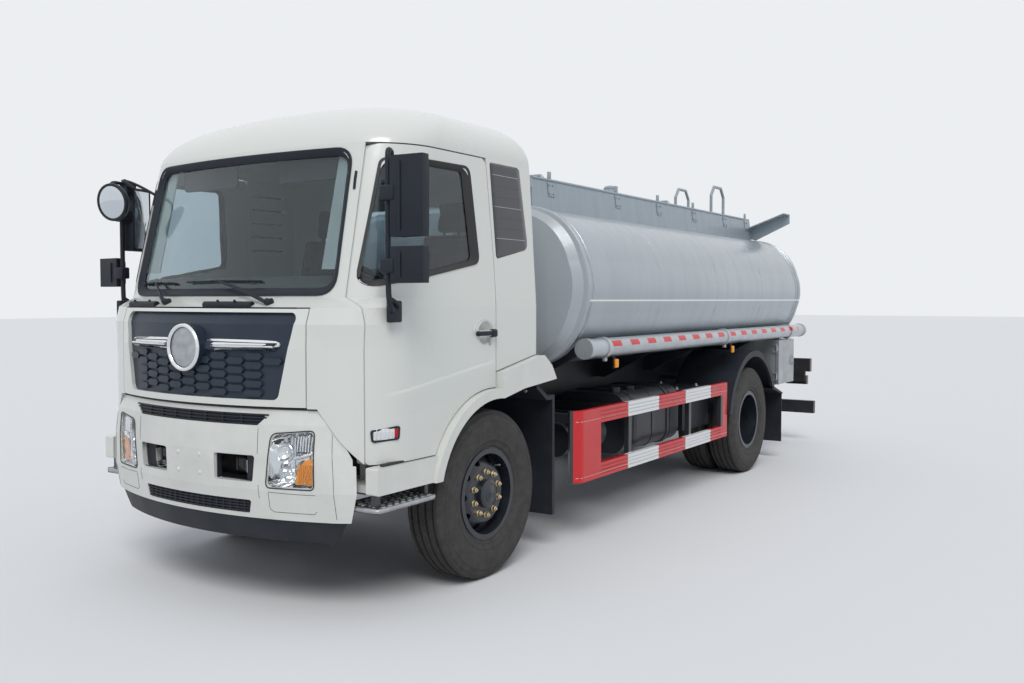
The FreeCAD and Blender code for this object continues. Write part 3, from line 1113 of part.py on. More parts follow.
def make_ladder():
    """Ladder from the frame over the rear head to the walkway, with hoops to hold on to."""
    rungs, rails = [], []
    foot_z, head_z, end_z = RAIL_TOP_Z - 230.0, TANK_TOP_Z - 25.0, TANK_TOP_Z + 1.0
    y_low, y_high = TANK_REAR_Y + 190, TANK_REAR_Y + 160
    bend_z, hoop_z = TANK_TOP_Z + 515.0, TANK_TOP_Z + 619.0
    for s in (-1, 1):
        x = s * LADDER_X
        rails.append(pipe([(x, y_low, foot_z), (x, y_high, head_z), (x, y_high, bend_z), (x, y_high - 90, hoop_z),
                           (x, y_high - 300, hoop_z), (x, y_high - 390, bend_z), (x, y_high - 390, end_z)], 17))
    count = 7
    for i in range(count):
        z = foot_z + 60 + i * (head_z - foot_z - 100) / (count - 1)
        y = y_low + (y_high - y_low) * (z - foot_z) / (head_z - foot_z)
        rungs.append(rod((-LADDER_X, y, z), (LADDER_X, y, z), 13))
    foot = box(LADDER_X - 15, RAIL_OUT_X - RAIL_FLANGE, y_low - 20, y_low + 20, RAIL_TOP_Z - 50, RAIL_TOP_Z)
    return fuse(rails + rungs + [foot, other_side(foot)])


def make_hose_tubes():
    y0, y1 = TANK_FRONT_Y + 80.0, TANK_REAR_Y + 225.0
    tube = rod((TUBE_X, y0, TUBE_Z), (TUBE_X, y1, TUBE_Z), TUBE_R - 6)
    caps = [rod((TUBE_X, y, TUBE_Z), (TUBE_X, y + 60, TUBE_Z), TUBE_R) for y in (y0 - 14, y1 - 46)]
    places = (TANK_FRONT_Y + 350.0, WHEELBASE - 604.0, TANK_REAR_Y - 290.0)
    bands = [rod((TUBE_X, y - 22, TUBE_Z), (TUBE_X, y + 22, TUBE_Z), TUBE_R + 4) for y in places]
    hangers = [box(TUBE_X - 190, TUBE_X - 30, y - 20, y + 20, TUBE_Z - 26, TUBE_Z + 26) for y in places]
    return both_sides(fuse([tube] + caps + bands + hangers).cut(tank_body(TANK_SEAT)))


def make_cabinet():
    """Valve cabinet below the tank, open to the side, with the flanged outlet and its valve."""
    c, t = CABINET, CABINET_T
    case = box(c["x0"], c["x1"], c["y0"], c["y1"], c["z0"], c["z1"])
    room = box(c["x0"] + t, c["x1"] + 1, c["y0"] + t, c["y1"] - t, c["z0"] + t, c["z1"] - t)
    valve_x, valve_y, z = c["x0"] + 110, (c["y0"] + c["y1"]) / 2.0, PIPE_Z
    outlet = rod((c["x0"] + 10, valve_y, z), (c["x0"] + 250, valve_y, z), OUTLET_R)
    flange = rod((c["x0"] + 230, valve_y, z), (c["x0"] + 250, valve_y, z), FLANGE_R)
    for i in range(FLANGE_HOLES):
        a = 2.0 * math.pi * (i + 0.5) / FLANGE_HOLES
        hole_y, hole_z = valve_y + FLANGE_PCD / 2.0 * math.cos(a), z + FLANGE_PCD / 2.0 * math.sin(a)
        flange = flange.cut(rod((c["x0"] + 229, hole_y, hole_z), (c["x0"] + 251, hole_y, hole_z), FLANGE_HOLE_R))
    stem = rod((valve_x, valve_y, z), (valve_x, valve_y, z + 120), 16)
    wheel = Part.makeTorus(70, 10, V(valve_x, valve_y, z + 120), V(0, 0, 1))
    spoke = box(valve_x - 70, valve_x + 70, valve_y - 8, valve_y + 8, z + 114, z + 126)
    stays = [box(RAIL_OUT_X, c["x0"], y - 30, y + 30, RAIL_TOP_Z - 140, RAIL_TOP_Z - 60)
             for y in (c["y0"] + 80, c["y1"] - 80)]
    hinge_x, hinge_y = cabinet_hinge()
    pins = []
    for mid in (c["z0"] + 90, c["z1"] - 90):
        pins.append(rod((hinge_x, hinge_y, mid - 45), (hinge_x, hinge_y, mid + 45), CABINET_PIN_R))
        for low in (mid - 45, mid + 31):
            pins.append(box(c["x1"] - 30, hinge_x, hinge_y - 7, c["y0"] + 4, low, low + 14))
    return fuse([case.cut(room), outlet, flange, stem, wheel, spoke] + stays + pins).cut(tank_body(TANK_CLEAR))


def cabinet_hinge():
    """Hinge line of the cabinet door, beside the cabinet's front edge."""
    return CABINET["x1"] + GAP + 11.0, CABINET["y0"] - 9.0


def make_cabinet_door():
    c = CABINET
    x, t = c["x1"] + GAP, 22.0
    hinge_x, hinge_y = cabinet_hinge()
    leaf = box(x, x + t, c["y0"] + 4, c["y1"] - 4, c["z0"] + 4, c["z1"] - 4)
    leaf = leaf.cut(box(x - 1, x + 6, c["y0"] + 30, c["y1"] - 30, c["z0"] + 30, c["z1"] - 30))
    grip = box(x + 20, x + 40, c["y1"] - 90, c["y1"] - 60, PIPE_Z - 50, PIPE_Z + 50)
    pieces = [leaf, grip]
    for mid in (c["z0"] + 90, c["z1"] - 90):
        pieces.append(rod((hinge_x, hinge_y, mid - 30), (hinge_x, hinge_y, mid + 30), CABINET_PIN_R + 5))
        pieces.append(box(hinge_x, hinge_x + 11, hinge_y, c["y0"] + 10, mid - 30, mid + 30))
    door = fuse(pieces)
    for mid in (c["z0"] + 90, c["z1"] - 90):
        door = door.cut(rod((hinge_x, hinge_y, mid - 31), (hinge_x, hinge_y, mid + 31), CABINET_PIN_R + FIT))
    return door


def make_discharge_pipe():
    """Pipe from the tank's sump to the valve cabinet."""
    y = (CABINET["y0"] + CABINET["y1"]) / 2.0
    sump = rod((0, y, PIPE_Z), (0, y, TANK_BOTTOM_Z + 20), SUMP_R).cut(tank_body(TANK_SEAT))
    run = rod((0, y, PIPE_Z), (CABINET["x0"], y, PIPE_Z), PIPE_R)
    return fuse([sump, run])


def make_under_run():
    y1, half_w = WHEELBASE + REAR_OVERHANG, TANK_HALF_W - 25.0
    bar = box(-half_w, half_w, y1 - 70, y1, 350, 500)
    for z in (395.0, 455.0):
        bar = bar.cut(box(-half_w - 1, half_w + 1, y1 - 6, y1 + 1, z - 5, z + 5))
    x = RAIL_OUT_X - RAIL_FLANGE / 2.0
    posts = [box(s * x - 40, s * x + 40, y1 - 190, y1 - 60, 400, RAIL_BOTTOM_Z) for s in (-1, 1)]
    return fuse([bar] + posts)


def make_tail_lamps():
    """Lamp boxes on straps from the ends of the rails."""
    y1, x0, x1 = WHEELBASE + REAR_OVERHANG - 60, TANK_HALF_W - 385.0, TANK_HALF_W - 55.0
    lamp = box(x0, x1, y1 - 70, y1, 860, 1020)
    low = box(x0 + 40, x1 - 40, y1 - 70, y1, 706, 812)
    strap = box(RAIL_OUT_X, x1 - 50, y1 - 106, y1 - 66, RAIL_BOTTOM_Z + 10, RAIL_TOP_Z - 30)
    return both_sides(fuse([lamp, low, strap]))


# ---- all the pieces --------------------------------------------------------------------
def main():
    os.makedirs("parts", exist_ok=True)
    shell = make_cab_shell()
    pane_shell = cab_volume(24).cut(cab_volume(30))

    door = make_doors(shell)
    glass = make_door_glass(pane_shell)
    side = make_cab_sides(shell)
    save("cab_front", make_cab_front(shell))
    save("cab_side_left", side)
    save("cab_side_right", other_side(side))
    save("cab_rear_wall", make_rear_wall(shell))
    save("cab_roof", make_roof())
    save("cab_floor", make_cab_floor())
    save("cab_glass", make_cab_glass(pane_shell))
    save("dashboard", make_dashboard())
    save("seats", make_seats())
    save("wheel_arches", make_wheel_arches())
    save("door_left", door)
    save("door_right", other_side(door))
    save("door_glass_left", glass)
    save("door_glass_right", other_side(glass))
    save("mirror_left", make_mirror("left"))
    save("mirror_right", make_mirror("right"))
    save("front_flap", make_flap())
    save("grille", make_grille())

    save("frame_rails", make_rails())
    save("cross_members", make_cross_members())
    save("bumper", make_bumper())
    save("bumper_lip", make_bumper_lip())
    save("headlamps", make_headlamps())
    save("leaf_springs", make_springs())
    save("front_axle", make_front_axle())
    save("rear_axle", make_rear_axle())
    save("engine", make_engine())
    save("driveline", make_driveline())
    save("radiator", make_radiator())
    save("side_guards", make_side_guards())
    save("mudguards", make_mudguards())
    save("fuel_tank", make_fuel_tank())
    save("air_tanks", make_air_tanks())
    save("silencer", make_silencer())
    save("battery_box", make_battery_box())
    save("under_run_bar", make_under_run())
    save("tail_lamps", make_tail_lamps())

    save("tank", make_tank())
    save("tank_cradle", make_cradle())
    save("coaming", make_coaming())
    save("ladder", make_ladder())
    save("hose_tubes", make_hose_tubes())
    save("valve_cabinet", make_cabinet())
    save("cabinet_door", make_cabinet_door())
    save("discharge_pipe", make_discharge_pipe())
    save("manhole_lid_front", make_lid(MANHOLE_Y[0]))
    save("manhole_lid_rear", make_lid(MANHOLE_Y[1]))

    knuckle = make_knuckle()
    front_tyre, front_rim = tyre(FRONT_WHEEL_X, 0.0), make_front_rim()
    rear_tyres = group([tyre(REAR_OUTER_X, WHEELBASE), tyre(REAR_INNER_X, WHEELBASE)])
    rear_rim = make_rear_rim()
    for name, piece in (("knuckle", knuckle), ("front_tyre", front_tyre), ("front_rim", front_rim),
                        ("rear_tyres", rear_tyres), ("rear_rims", rear_rim)):
        save(name + "_left", piece)
        save(name + "_right", other_side(piece))


main()
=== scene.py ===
# %% [markdown]
# # A tanker truck, dressed piece by piece
# The solids of the truck come ready made, one object for each real part, and
# they already stand where they belong. This lesson adds the small pieces that
# a solid model leaves out, and gives every surface a finish of its own.

# %% Load the frame
import json
from math import cos, pi, radians, sin

import bmesh
import bpy
from mathutils import Matrix, Vector

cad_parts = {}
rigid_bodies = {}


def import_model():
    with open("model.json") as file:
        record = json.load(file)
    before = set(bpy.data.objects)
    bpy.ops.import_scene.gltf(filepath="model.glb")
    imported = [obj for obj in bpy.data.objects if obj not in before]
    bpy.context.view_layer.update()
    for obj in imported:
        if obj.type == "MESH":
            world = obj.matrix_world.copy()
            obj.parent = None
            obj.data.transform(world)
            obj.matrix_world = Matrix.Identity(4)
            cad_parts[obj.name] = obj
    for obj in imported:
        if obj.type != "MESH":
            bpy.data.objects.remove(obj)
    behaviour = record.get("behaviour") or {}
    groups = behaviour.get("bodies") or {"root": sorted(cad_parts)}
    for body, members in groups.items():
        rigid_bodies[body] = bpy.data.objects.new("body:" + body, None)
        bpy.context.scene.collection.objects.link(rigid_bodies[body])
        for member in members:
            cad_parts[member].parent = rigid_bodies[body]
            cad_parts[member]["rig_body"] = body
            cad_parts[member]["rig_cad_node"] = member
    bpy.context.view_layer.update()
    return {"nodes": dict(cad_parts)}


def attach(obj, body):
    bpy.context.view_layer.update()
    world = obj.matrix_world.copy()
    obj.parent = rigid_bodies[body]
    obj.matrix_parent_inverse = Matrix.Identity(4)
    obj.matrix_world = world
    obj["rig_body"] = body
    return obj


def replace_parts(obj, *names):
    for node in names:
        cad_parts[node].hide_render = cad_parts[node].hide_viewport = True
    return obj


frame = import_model()
nodes = frame["nodes"]

# %% [markdown]
# The colour settings decide how a written colour reaches the eye. Standard
# passes it on unchanged, so a paint that is mixed as off-white looks off-white.

# %% Colour settings
scene = bpy.context.scene
scene.view_settings.view_transform = "Standard"
print("view transform:", scene.view_settings.view_transform)

# %% [markdown]
# A truck this long looks right from a few metres away, at the height of a
# standing person's eyes, over its front left corner. The angle is given by two
# turns: one round the upright axis and a slight dip.

# %% Camera
CAMERA_PLACE = Vector((4.5045, -7.689, 1.735))
CAMERA_TURN = radians(33.15)
CAMERA_DIP = radians(2.5)
bpy.ops.object.camera_add(location=CAMERA_PLACE, rotation=(pi / 2 - CAMERA_DIP, 0, CAMERA_TURN))
camera = bpy.context.object
camera.data.lens = 33.93
camera.data.clip_end = 200
scene.camera = camera
print("camera", [round(v, 2) for v in camera.location])

# %% [markdown]
# The floor is a plain pale sheet that runs far past the truck. It catches the
# shadow, so the wheels look as if they carry weight. The sky is a soft white
# dome, a little brighter overhead than at the horizon, as on an overcast day:
# that slow change is what a curved silver tank shows as its long highlight.

# %% Floor
bpy.ops.mesh.primitive_plane_add(size=160, location=(0, 20, 0))
floor = bpy.context.object
floor.name = "floor"
floor_paint = bpy.data.materials.new("pale_floor")
floor_paint.use_nodes = True
floor_shader = floor_paint.node_tree.nodes["Principled BSDF"]
floor_shader.inputs["Base Color"].default_value = (0.74, 0.745, 0.75, 1)
floor_shader.inputs["Roughness"].default_value = 0.9
floor_shader.inputs["Specular IOR Level"].default_value = 0.1
floor.data.materials.append(floor_paint)
print("floor", [round(v, 1) for v in floor.dimensions])

# %% Sky dome
sky = bpy.data.worlds.new("soft_sky")
sky.use_nodes = True
scene.world = sky
sky_nodes, sky_links = sky.node_tree.nodes, sky.node_tree.links
sky_nodes.clear()
sky_place = sky_nodes.new("ShaderNodeTexCoord")
sky_axes = sky_nodes.new("ShaderNodeSeparateXYZ")
sky_ramp = sky_nodes.new("ShaderNodeValToRGB")
sky_ramp.color_ramp.elements[0].position = 0.02
sky_ramp.color_ramp.elements[0].color = (0.25, 0.28, 0.32, 1)
sky_ramp.color_ramp.elements[1].position = 0.75
sky_ramp.color_ramp.elements[1].color = (0.66, 0.70, 0.76, 1)
sky_light = sky_nodes.new("ShaderNodeBackground")
sky_seen = sky_nodes.new("ShaderNodeBackground")
seen_ramp = sky_nodes.new("ShaderNodeValToRGB")
seen_ramp.color_ramp.elements[0].position = 0.30
seen_ramp.color_ramp.elements[0].color = (0.84, 0.86, 0.88, 1)
seen_ramp.color_ramp.elements[1].position = 0.80
seen_ramp.color_ramp.elements[1].color = (0.96, 0.98, 1.0, 1)
sky_rays = sky_nodes.new("ShaderNodeLightPath")
plain_rays = [sky_nodes.new("ShaderNodeMath") for step in range(2)]
sky_mix = sky_nodes.new("ShaderNodeMixShader")
sky_out = sky_nodes.new("ShaderNodeOutputWorld")
sky_links.new(sky_place.outputs["Generated"], sky_axes.inputs[0])
sky_links.new(sky_axes.outputs["Z"], sky_ramp.inputs[0])
sky_links.new(sky_ramp.outputs["Color"], sky_light.inputs["Color"])
sky_links.new(sky_axes.outputs["Z"], seen_ramp.inputs[0])
sky_links.new(seen_ramp.outputs["Color"], sky_seen.inputs["Color"])
for node in plain_rays:
    node.operation = "MAXIMUM"
sky_links.new(sky_rays.outputs["Is Camera Ray"], plain_rays[0].inputs[0])
sky_links.new(sky_rays.outputs["Is Glossy Ray"], plain_rays[0].inputs[1])
sky_links.new(plain_rays[0].outputs[0], plain_rays[1].inputs[0])
sky_links.new(sky_rays.outputs["Is Transmission Ray"], plain_rays[1].inputs[1])
sky_links.new(plain_rays[1].outputs[0], sky_mix.inputs[0])
sky_links.new(sky_light.outputs[0], sky_mix.inputs[1])
sky_links.new(sky_seen.outputs[0], sky_mix.inputs[2])
sky_links.new(sky_mix.outputs[0], sky_out.inputs[0])
print("sky from", tuple(round(v, 2) for v in sky_ramp.color_ramp.elements[0].color))

# %% [markdown]
# One large, soft sun stands high over the viewer's left shoulder. A wide sun
# has soft shadow edges, like light through thin cloud.

# %% Sun
bpy.ops.object.light_add(type="SUN", location=(6, -10, 12))
sun = bpy.context.object
sun.data.energy = 1.6
sun.data.angle = radians(28)
sun.data.color = (1.0, 0.985, 0.96)
sun.rotation_euler = (radians(42), radians(14), radians(22))
print("sun strength", sun.data.energy)

# %% [markdown]
# ## Finishes
# Paint is never one flat colour. It shifts slowly over a panel, it has a fine
# ripple called orange peel, and road dust gathers low down. One helper mixes
# these three for any paint, and each call gives it the real numbers. All the
# patterns are measured in metres on the object, so they have a true scale.

# %% Small helpers for shader nodes
def start_material(name):
    """A new material with its main shader, its node lists and its object coordinates."""
    material = bpy.data.materials.new(name)
    material.use_nodes = True
    tree = material.node_tree
    place = tree.nodes.new("ShaderNodeTexCoord").outputs["Object"]
    return material, tree, tree.nodes["Principled BSDF"], place


def add_noise(tree, place, scale, detail=3.0, rough=0.55, stretch=(1, 1, 1)):
    """A noise pattern of that many cells a metre, stretched along the axes."""
    mapping = tree.nodes.new("ShaderNodeMapping")
    mapping.inputs["Scale"].default_value = stretch
    noise = tree.nodes.new("ShaderNodeTexNoise")
    noise.inputs["Scale"].default_value = scale
    noise.inputs["Detail"].default_value = detail
    noise.inputs["Roughness"].default_value = rough
    tree.links.new(place, mapping.inputs["Vector"])
    tree.links.new(mapping.outputs[0], noise.inputs["Vector"])
    return noise.outputs["Fac"]


def add_ramp(tree, value, low, high, out_low=0.0, out_high=1.0):
    """Stretches a value between two limits to a new range."""
    ramp = tree.nodes.new("ShaderNodeMapRange")
    ramp.inputs["From Min"].default_value = low
    ramp.inputs["From Max"].default_value = high
    ramp.inputs["To Min"].default_value = out_low
    ramp.inputs["To Max"].default_value = out_high
    tree.links.new(value, ramp.inputs["Value"])
    return ramp.outputs["Result"]


def add_math(tree, kind, first, second):
    """One sum of two values; each may be a socket or a number."""
    node = tree.nodes.new("ShaderNodeMath")
    node.operation = kind
    for slot, value in enumerate((first, second)):
        if isinstance(value, (int, float)):
            node.inputs[slot].default_value = value
        else:
            tree.links.new(value, node.inputs[slot])
    return node.outputs[0]


def add_mix(tree, amount, first, second):
    """Mixes two colours; each may be a socket or a written colour."""
    node = tree.nodes.new("ShaderNodeMix")
    node.data_type = "RGBA"
    tree.links.new(amount, node.inputs["Factor"])
    for slot, value in ((6, first), (7, second)):
        if isinstance(value, tuple):
            node.inputs[slot].default_value = (*value[:3], 1)
        else:
            tree.links.new(value, node.inputs[slot])
    return node.outputs[2]


def add_bump(tree, shader, height, depth, strength=1.0):
    """Raises the surface by the height pattern, depth in metres."""
    bump = tree.nodes.new("ShaderNodeBump")
    bump.inputs["Strength"].default_value = strength
    bump.inputs["Distance"].default_value = depth
    tree.links.new(height, bump.inputs["Height"])
    tree.links.new(bump.outputs[0], shader.inputs["Normal"])


def axis_of(tree, place, axis):
    """One coordinate of the object's own place."""
    split = tree.nodes.new("ShaderNodeSeparateXYZ")
    tree.links.new(place, split.inputs[0])
    return split.outputs[axis]


print("node helpers ready")

# %% The finish helper
DUST = (0.27, 0.24, 0.20)


def shaded(colour, factor):
    """The same colour, lighter or darker."""
    return tuple(max(0.0, min(1.0, v * factor)) for v in colour)


def finish(name, colour, rough, metal=0.0, coat=0.0, vary=0.06, patch=2.0, dust=0.0,
           dust_top=1.0, grain=300.0, depth=0.00002, specular=0.5, dust_floor=0.0):
    """A paint or moulded finish: slow colour change, grain, and dust that fades out by dust_top."""
    material, tree, shader, place = start_material(name)
    cloud = add_noise(tree, place, patch, 4.0)
    base = add_mix(tree, add_ramp(tree, cloud, 0.3, 0.7), shaded(colour, 1 - vary),
                   shaded(colour, 1 + vary))
    fine = add_noise(tree, place, grain, 2.0)
    roughness = add_ramp(tree, cloud, 0.3, 0.7, rough[0], rough[1])
    if dust:
        height = axis_of(tree, place, "Z")
        low = add_ramp(tree, height, dust_top, 0.2, dust_floor, 1.0)
        patchy = add_ramp(tree, add_noise(tree, place, 6.0, 6.0, 0.6), 0.25, 0.80)
        layer = add_math(tree, "MULTIPLY", add_math(tree, "MULTIPLY", low, patchy), dust)
        base = add_mix(tree, layer, base, DUST)
        roughness = add_math(tree, "ADD", roughness, add_math(tree, "MULTIPLY", layer, 0.5))
    tree.links.new(base, shader.inputs["Base Color"])
    tree.links.new(roughness, shader.inputs["Roughness"])
    add_bump(tree, shader, fine, depth)
    shader.inputs["Metallic"].default_value = metal
    shader.inputs["Coat Weight"].default_value = coat
    shader.inputs["Coat Roughness"].default_value = 0.08
    shader.inputs["Specular IOR Level"].default_value = specular
    material.diffuse_color = (*colour, 1)
    return material


print("finish helper ready")

# %% [markdown]
# The cab is off-white enamel under clear lacquer. The black parts round it are
# moulded plastic with a fine leather-like grain, which scatters the light and
# keeps them from looking wet.

# %% Cab and plastic finishes
cab_paint = finish("cab_enamel", (0.645, 0.66, 0.625), (0.25, 0.28), coat=0.6, vary=0.006,
                   patch=1.2, dust=0.07, dust_top=1.3, grain=260, depth=0.000015)
black_plastic = finish("grained_plastic", (0.013, 0.017, 0.025), (0.42, 0.55), vary=0.12, specular=0.28,
                       patch=5, dust=0.07, dust_top=1.6, grain=900, depth=0.00006)
grille_plastic = finish("satin_grille_plastic", (0.020, 0.030, 0.048), (0.30, 0.40), vary=0.10, specular=0.30,
                        patch=6, dust=0.12, dust_top=1.7, grain=700, depth=0.00003)
gloss_black = finish("gloss_black_panel", (0.016, 0.019, 0.025), (0.12, 0.20), coat=0.5, vary=0.10, patch=6,
                     dust=0.05, dust_top=2.6, grain=500, depth=0.000008)
rubber = finish("seal_rubber", (0.016, 0.017, 0.019), (0.5, 0.62), vary=0.15, patch=12,
                dust=0.1, dust_top=2.4, grain=800, depth=0.00004)
gap_black = finish("shadow_black", (0.008, 0.009, 0.010), (0.8, 0.9), vary=0.2, patch=20,
                   grain=400, depth=0.00002, specular=0.2)
interior_plastic = finish("cab_trim_plastic", (0.11, 0.115, 0.12), (0.55, 0.7), vary=0.08,
                          patch=4, grain=1100, depth=0.00008)
print("cab finishes:", cab_paint.name, black_plastic.name, grille_plastic.name)

# %% [markdown]
# The tank is mild steel under silver-grey paint. The paint holds metal flake, so it is part metal, part enamel.
# Rain leaves faint upright streaks on it, made here by a noise that is squeezed sideways and drawn out along the
# height. A thin pale line, a painted highlight, runs the whole length at the tank's widest place.

# %% Silver paint with streaks
# Height and half width of the painted highlight line on the tank.
HIGHLIGHT_LINE_Z = 1.727
HIGHLIGHT_LINE_HALF = 0.0065


def silver_paint(name, colour, rough, metal, streak=0.05, highlight_and_dull_front=False):
    """Silver paint with rain streaks, darker towards the bottom, and maybe a painted highlight line with a less
    metallic front.
    """
    material, tree, shader, place = start_material(name)
    cloud = add_noise(tree, place, 0.9, 4.0)
    rain = add_noise(tree, place, 11.0, 5.0, 0.6, (1, 1, 0.07))
    base = add_mix(tree, add_ramp(tree, cloud, 0.3, 0.7), shaded(colour, 0.95), shaded(colour, 1.04))
    base = add_mix(tree, add_ramp(tree, rain, 0.45, 0.75, 0.0, streak * 4), base, shaded(colour, 0.72))
    height = axis_of(tree, place, "Z")
    # Darker towards the bottom: below 1.55 m the colour is mixed, in patches, up to 40 % towards dark grey.
    under = add_ramp(tree, height, 1.55, 1.15, 0.0, 0.40)
    low_darkening = add_math(tree, "MULTIPLY", under, add_ramp(tree, add_noise(tree, place, 6.0, 6.0), 0.3, 0.7))
    base = add_mix(tree, low_darkening, base, (0.13, 0.125, 0.12))
    # Painted highlight: a near-white line at the tank's widest place, on the barrel behind the front end.
    if highlight_and_dull_front:
        off = add_math(tree, "ABSOLUTE", add_math(tree, "SUBTRACT", height, HIGHLIGHT_LINE_Z), 0)
        line = add_math(tree, "LESS_THAN", off, HIGHLIGHT_LINE_HALF)
        shell = add_math(tree, "GREATER_THAN", axis_of(tree, place, "Y"), -1.60)
        base = add_mix(tree, add_math(tree, "MULTIPLY", line, shell), base, (0.84, 0.84, 0.80))
    tree.links.new(base, shader.inputs["Base Color"])
    tree.links.new(add_ramp(tree, rain, 0.3, 0.7, rough[0], rough[1]), shader.inputs["Roughness"])
    wave = add_noise(tree, place, 1.6, 1.0)
    peel = add_noise(tree, place, 240, 2.0)
    both = add_math(tree, "ADD", add_math(tree, "MULTIPLY", wave, 30.0), peel)
    add_bump(tree, shader, both, 0.00003)
    shader.inputs["Metallic"].default_value = metal
    if highlight_and_dull_front:
        ends = add_ramp(tree, axis_of(tree, place, "Y"), -1.585, -1.60, metal, 0.08)
        tree.links.new(ends, shader.inputs["Metallic"])
    shader.inputs["Coat Weight"].default_value = 0.35
    shader.inputs["Coat Roughness"].default_value = 0.12
    return material


# The tank alone gets the painted highlight line.
tank_paint = silver_paint("tank_silver", (0.40, 0.435, 0.465), (0.28, 0.38), 0.50, highlight_and_dull_front=True)
coaming_paint = silver_paint("coaming_grey", (0.30, 0.35, 0.39), (0.38, 0.50), 0.35, streak=0.08)
cabinet_paint = silver_paint("cabinet_grey", (0.42, 0.45, 0.47), (0.40, 0.50), 0.4, streak=0.08)
tube_silver = silver_paint("tube_silver", (0.50, 0.53, 0.56), (0.30, 0.42), 0.6, streak=0.04)
print("silver finishes:", tank_paint.name, coaming_paint.name, cabinet_paint.name)

# %% [markdown]
# Reflective tape marks the hose tubes: short red dashes at an even pitch. They
# are part of the tube's finish, chosen by the place along the truck and round
# the tube, so no separate strips have to be laid on the curve.

# %% Tape dashes on the hose tubes
TUBE_Z = 1.378
DASH_PITCH = 0.305
DASH_LONG = 0.150


def add_dashes(material, half_height, first_y, last_y, lift):
    """Red dashes on the outer side of a tube that runs along Y."""
    tree = material.node_tree
    shader = tree.nodes["Principled BSDF"]
    place = tree.nodes["Texture Coordinate"].outputs["Object"]
    under = shader.inputs["Base Color"].links[0].from_socket
    along, height = axis_of(tree, place, "Y"), axis_of(tree, place, "Z")
    beat = add_math(tree, "FLOORED_MODULO", add_math(tree, "SUBTRACT", along, first_y), DASH_PITCH)
    dash = add_math(tree, "LESS_THAN", beat, DASH_LONG)
    near = add_math(tree, "LESS_THAN", add_math(
        tree, "ABSOLUTE", add_math(tree, "SUBTRACT", height, TUBE_Z + lift), 0), half_height)
    inside = add_math(tree, "MULTIPLY", add_math(tree, "GREATER_THAN", along, first_y),
                      add_math(tree, "LESS_THAN", along, last_y))
    mark = add_math(tree, "MULTIPLY", add_math(tree, "MULTIPLY", dash, near), inside)
    side = add_math(tree, "GREATER_THAN", add_math(
        tree, "ABSOLUTE", axis_of(tree, place, "X"), 0), 1.165)
    mark = add_math(tree, "MULTIPLY", mark, side)
    tree.links.new(add_mix(tree, mark, under, (0.62, 0.030, 0.035)), shader.inputs["Base Color"])


add_dashes(tube_silver, 0.021, -1.28, 3.33, 0.028)
print("dashes every", DASH_PITCH, "m")

# %% [markdown]
# The side guards are painted in red and white bands. A constant colour ramp
# along the truck changes colour in one step, as tape laid edge to edge does.

# %% Guard bands
BAND_EDGES = (-1.036, -0.476, 0.074, 0.649)      # red, white, red, white, red from front to rear
RED = (0.56, 0.006, 0.010)
WHITE = (0.74, 0.75, 0.75)


def banded_paint(name):
    """Red and white enamel in bands along Y, with road dust on top."""
    material, tree, shader, place = start_material(name)
    along = axis_of(tree, place, "Y")
    steps = None
    for edge in BAND_EDGES:
        step = add_math(tree, "GREATER_THAN", along, edge)
        steps = step if steps is None else add_math(tree, "ADD", steps, step)
    white = add_math(tree, "FLOORED_MODULO", steps, 2.0)
    base = add_mix(tree, white, RED, WHITE)
    height = axis_of(tree, place, "Z")
    for z in (0.872, 0.474):
        near = add_math(tree, "COMPARE", height, z)
        near.node.inputs[2].default_value = 0.0018
        dash = add_math(tree, "LESS_THAN", add_math(tree, "FLOORED_MODULO", along, 0.03), 0.016)
        base = add_mix(tree, add_math(tree, "MULTIPLY", near, dash), base, (0.62, 0.58, 0.57))
    wear = add_ramp(tree, add_noise(tree, place, 26.0, 6.0, 0.7), 0.62, 0.80, 0.0, 0.35)
    base = add_mix(tree, wear, base, (0.20, 0.18, 0.17))
    wide = add_math(tree, "ABSOLUTE", axis_of(tree, place, "X"), 0.0)
    posts = add_math(tree, "MULTIPLY", add_math(tree, "LESS_THAN", add_math(
        tree, "ABSOLUTE", add_math(tree, "SUBTRACT", height, 0.693), 0.0), 0.146), add_math(
        tree, "LESS_THAN", add_math(tree, "ABSOLUTE", add_math(tree, "ADD", along, 0.23), 0.0), 1.18))
    inner = add_math(tree, "MAXIMUM", add_math(tree, "LESS_THAN", wide, 1.180), posts)
    base = add_mix(tree, inner, base, (0.022, 0.024, 0.028))
    tree.links.new(base, shader.inputs["Base Color"])
    tree.links.new(add_ramp(tree, add_noise(tree, place, 5.0), 0.3, 0.7, 0.28, 0.45),
                   shader.inputs["Roughness"])
    add_bump(tree, shader, add_noise(tree, place, 260.0), 0.00003)
    shader.inputs["Coat Weight"].default_value = 0.3
    shader.inputs["Coat Roughness"].default_value = 0.12
    return material


guard_paint = banded_paint("guard_bands")
print("bands change at", BAND_EDGES)

# %% [markdown]
# Some castings and pressings carry two finishes, one above the other or one
# behind the other. One threshold on the place chooses between two colours.

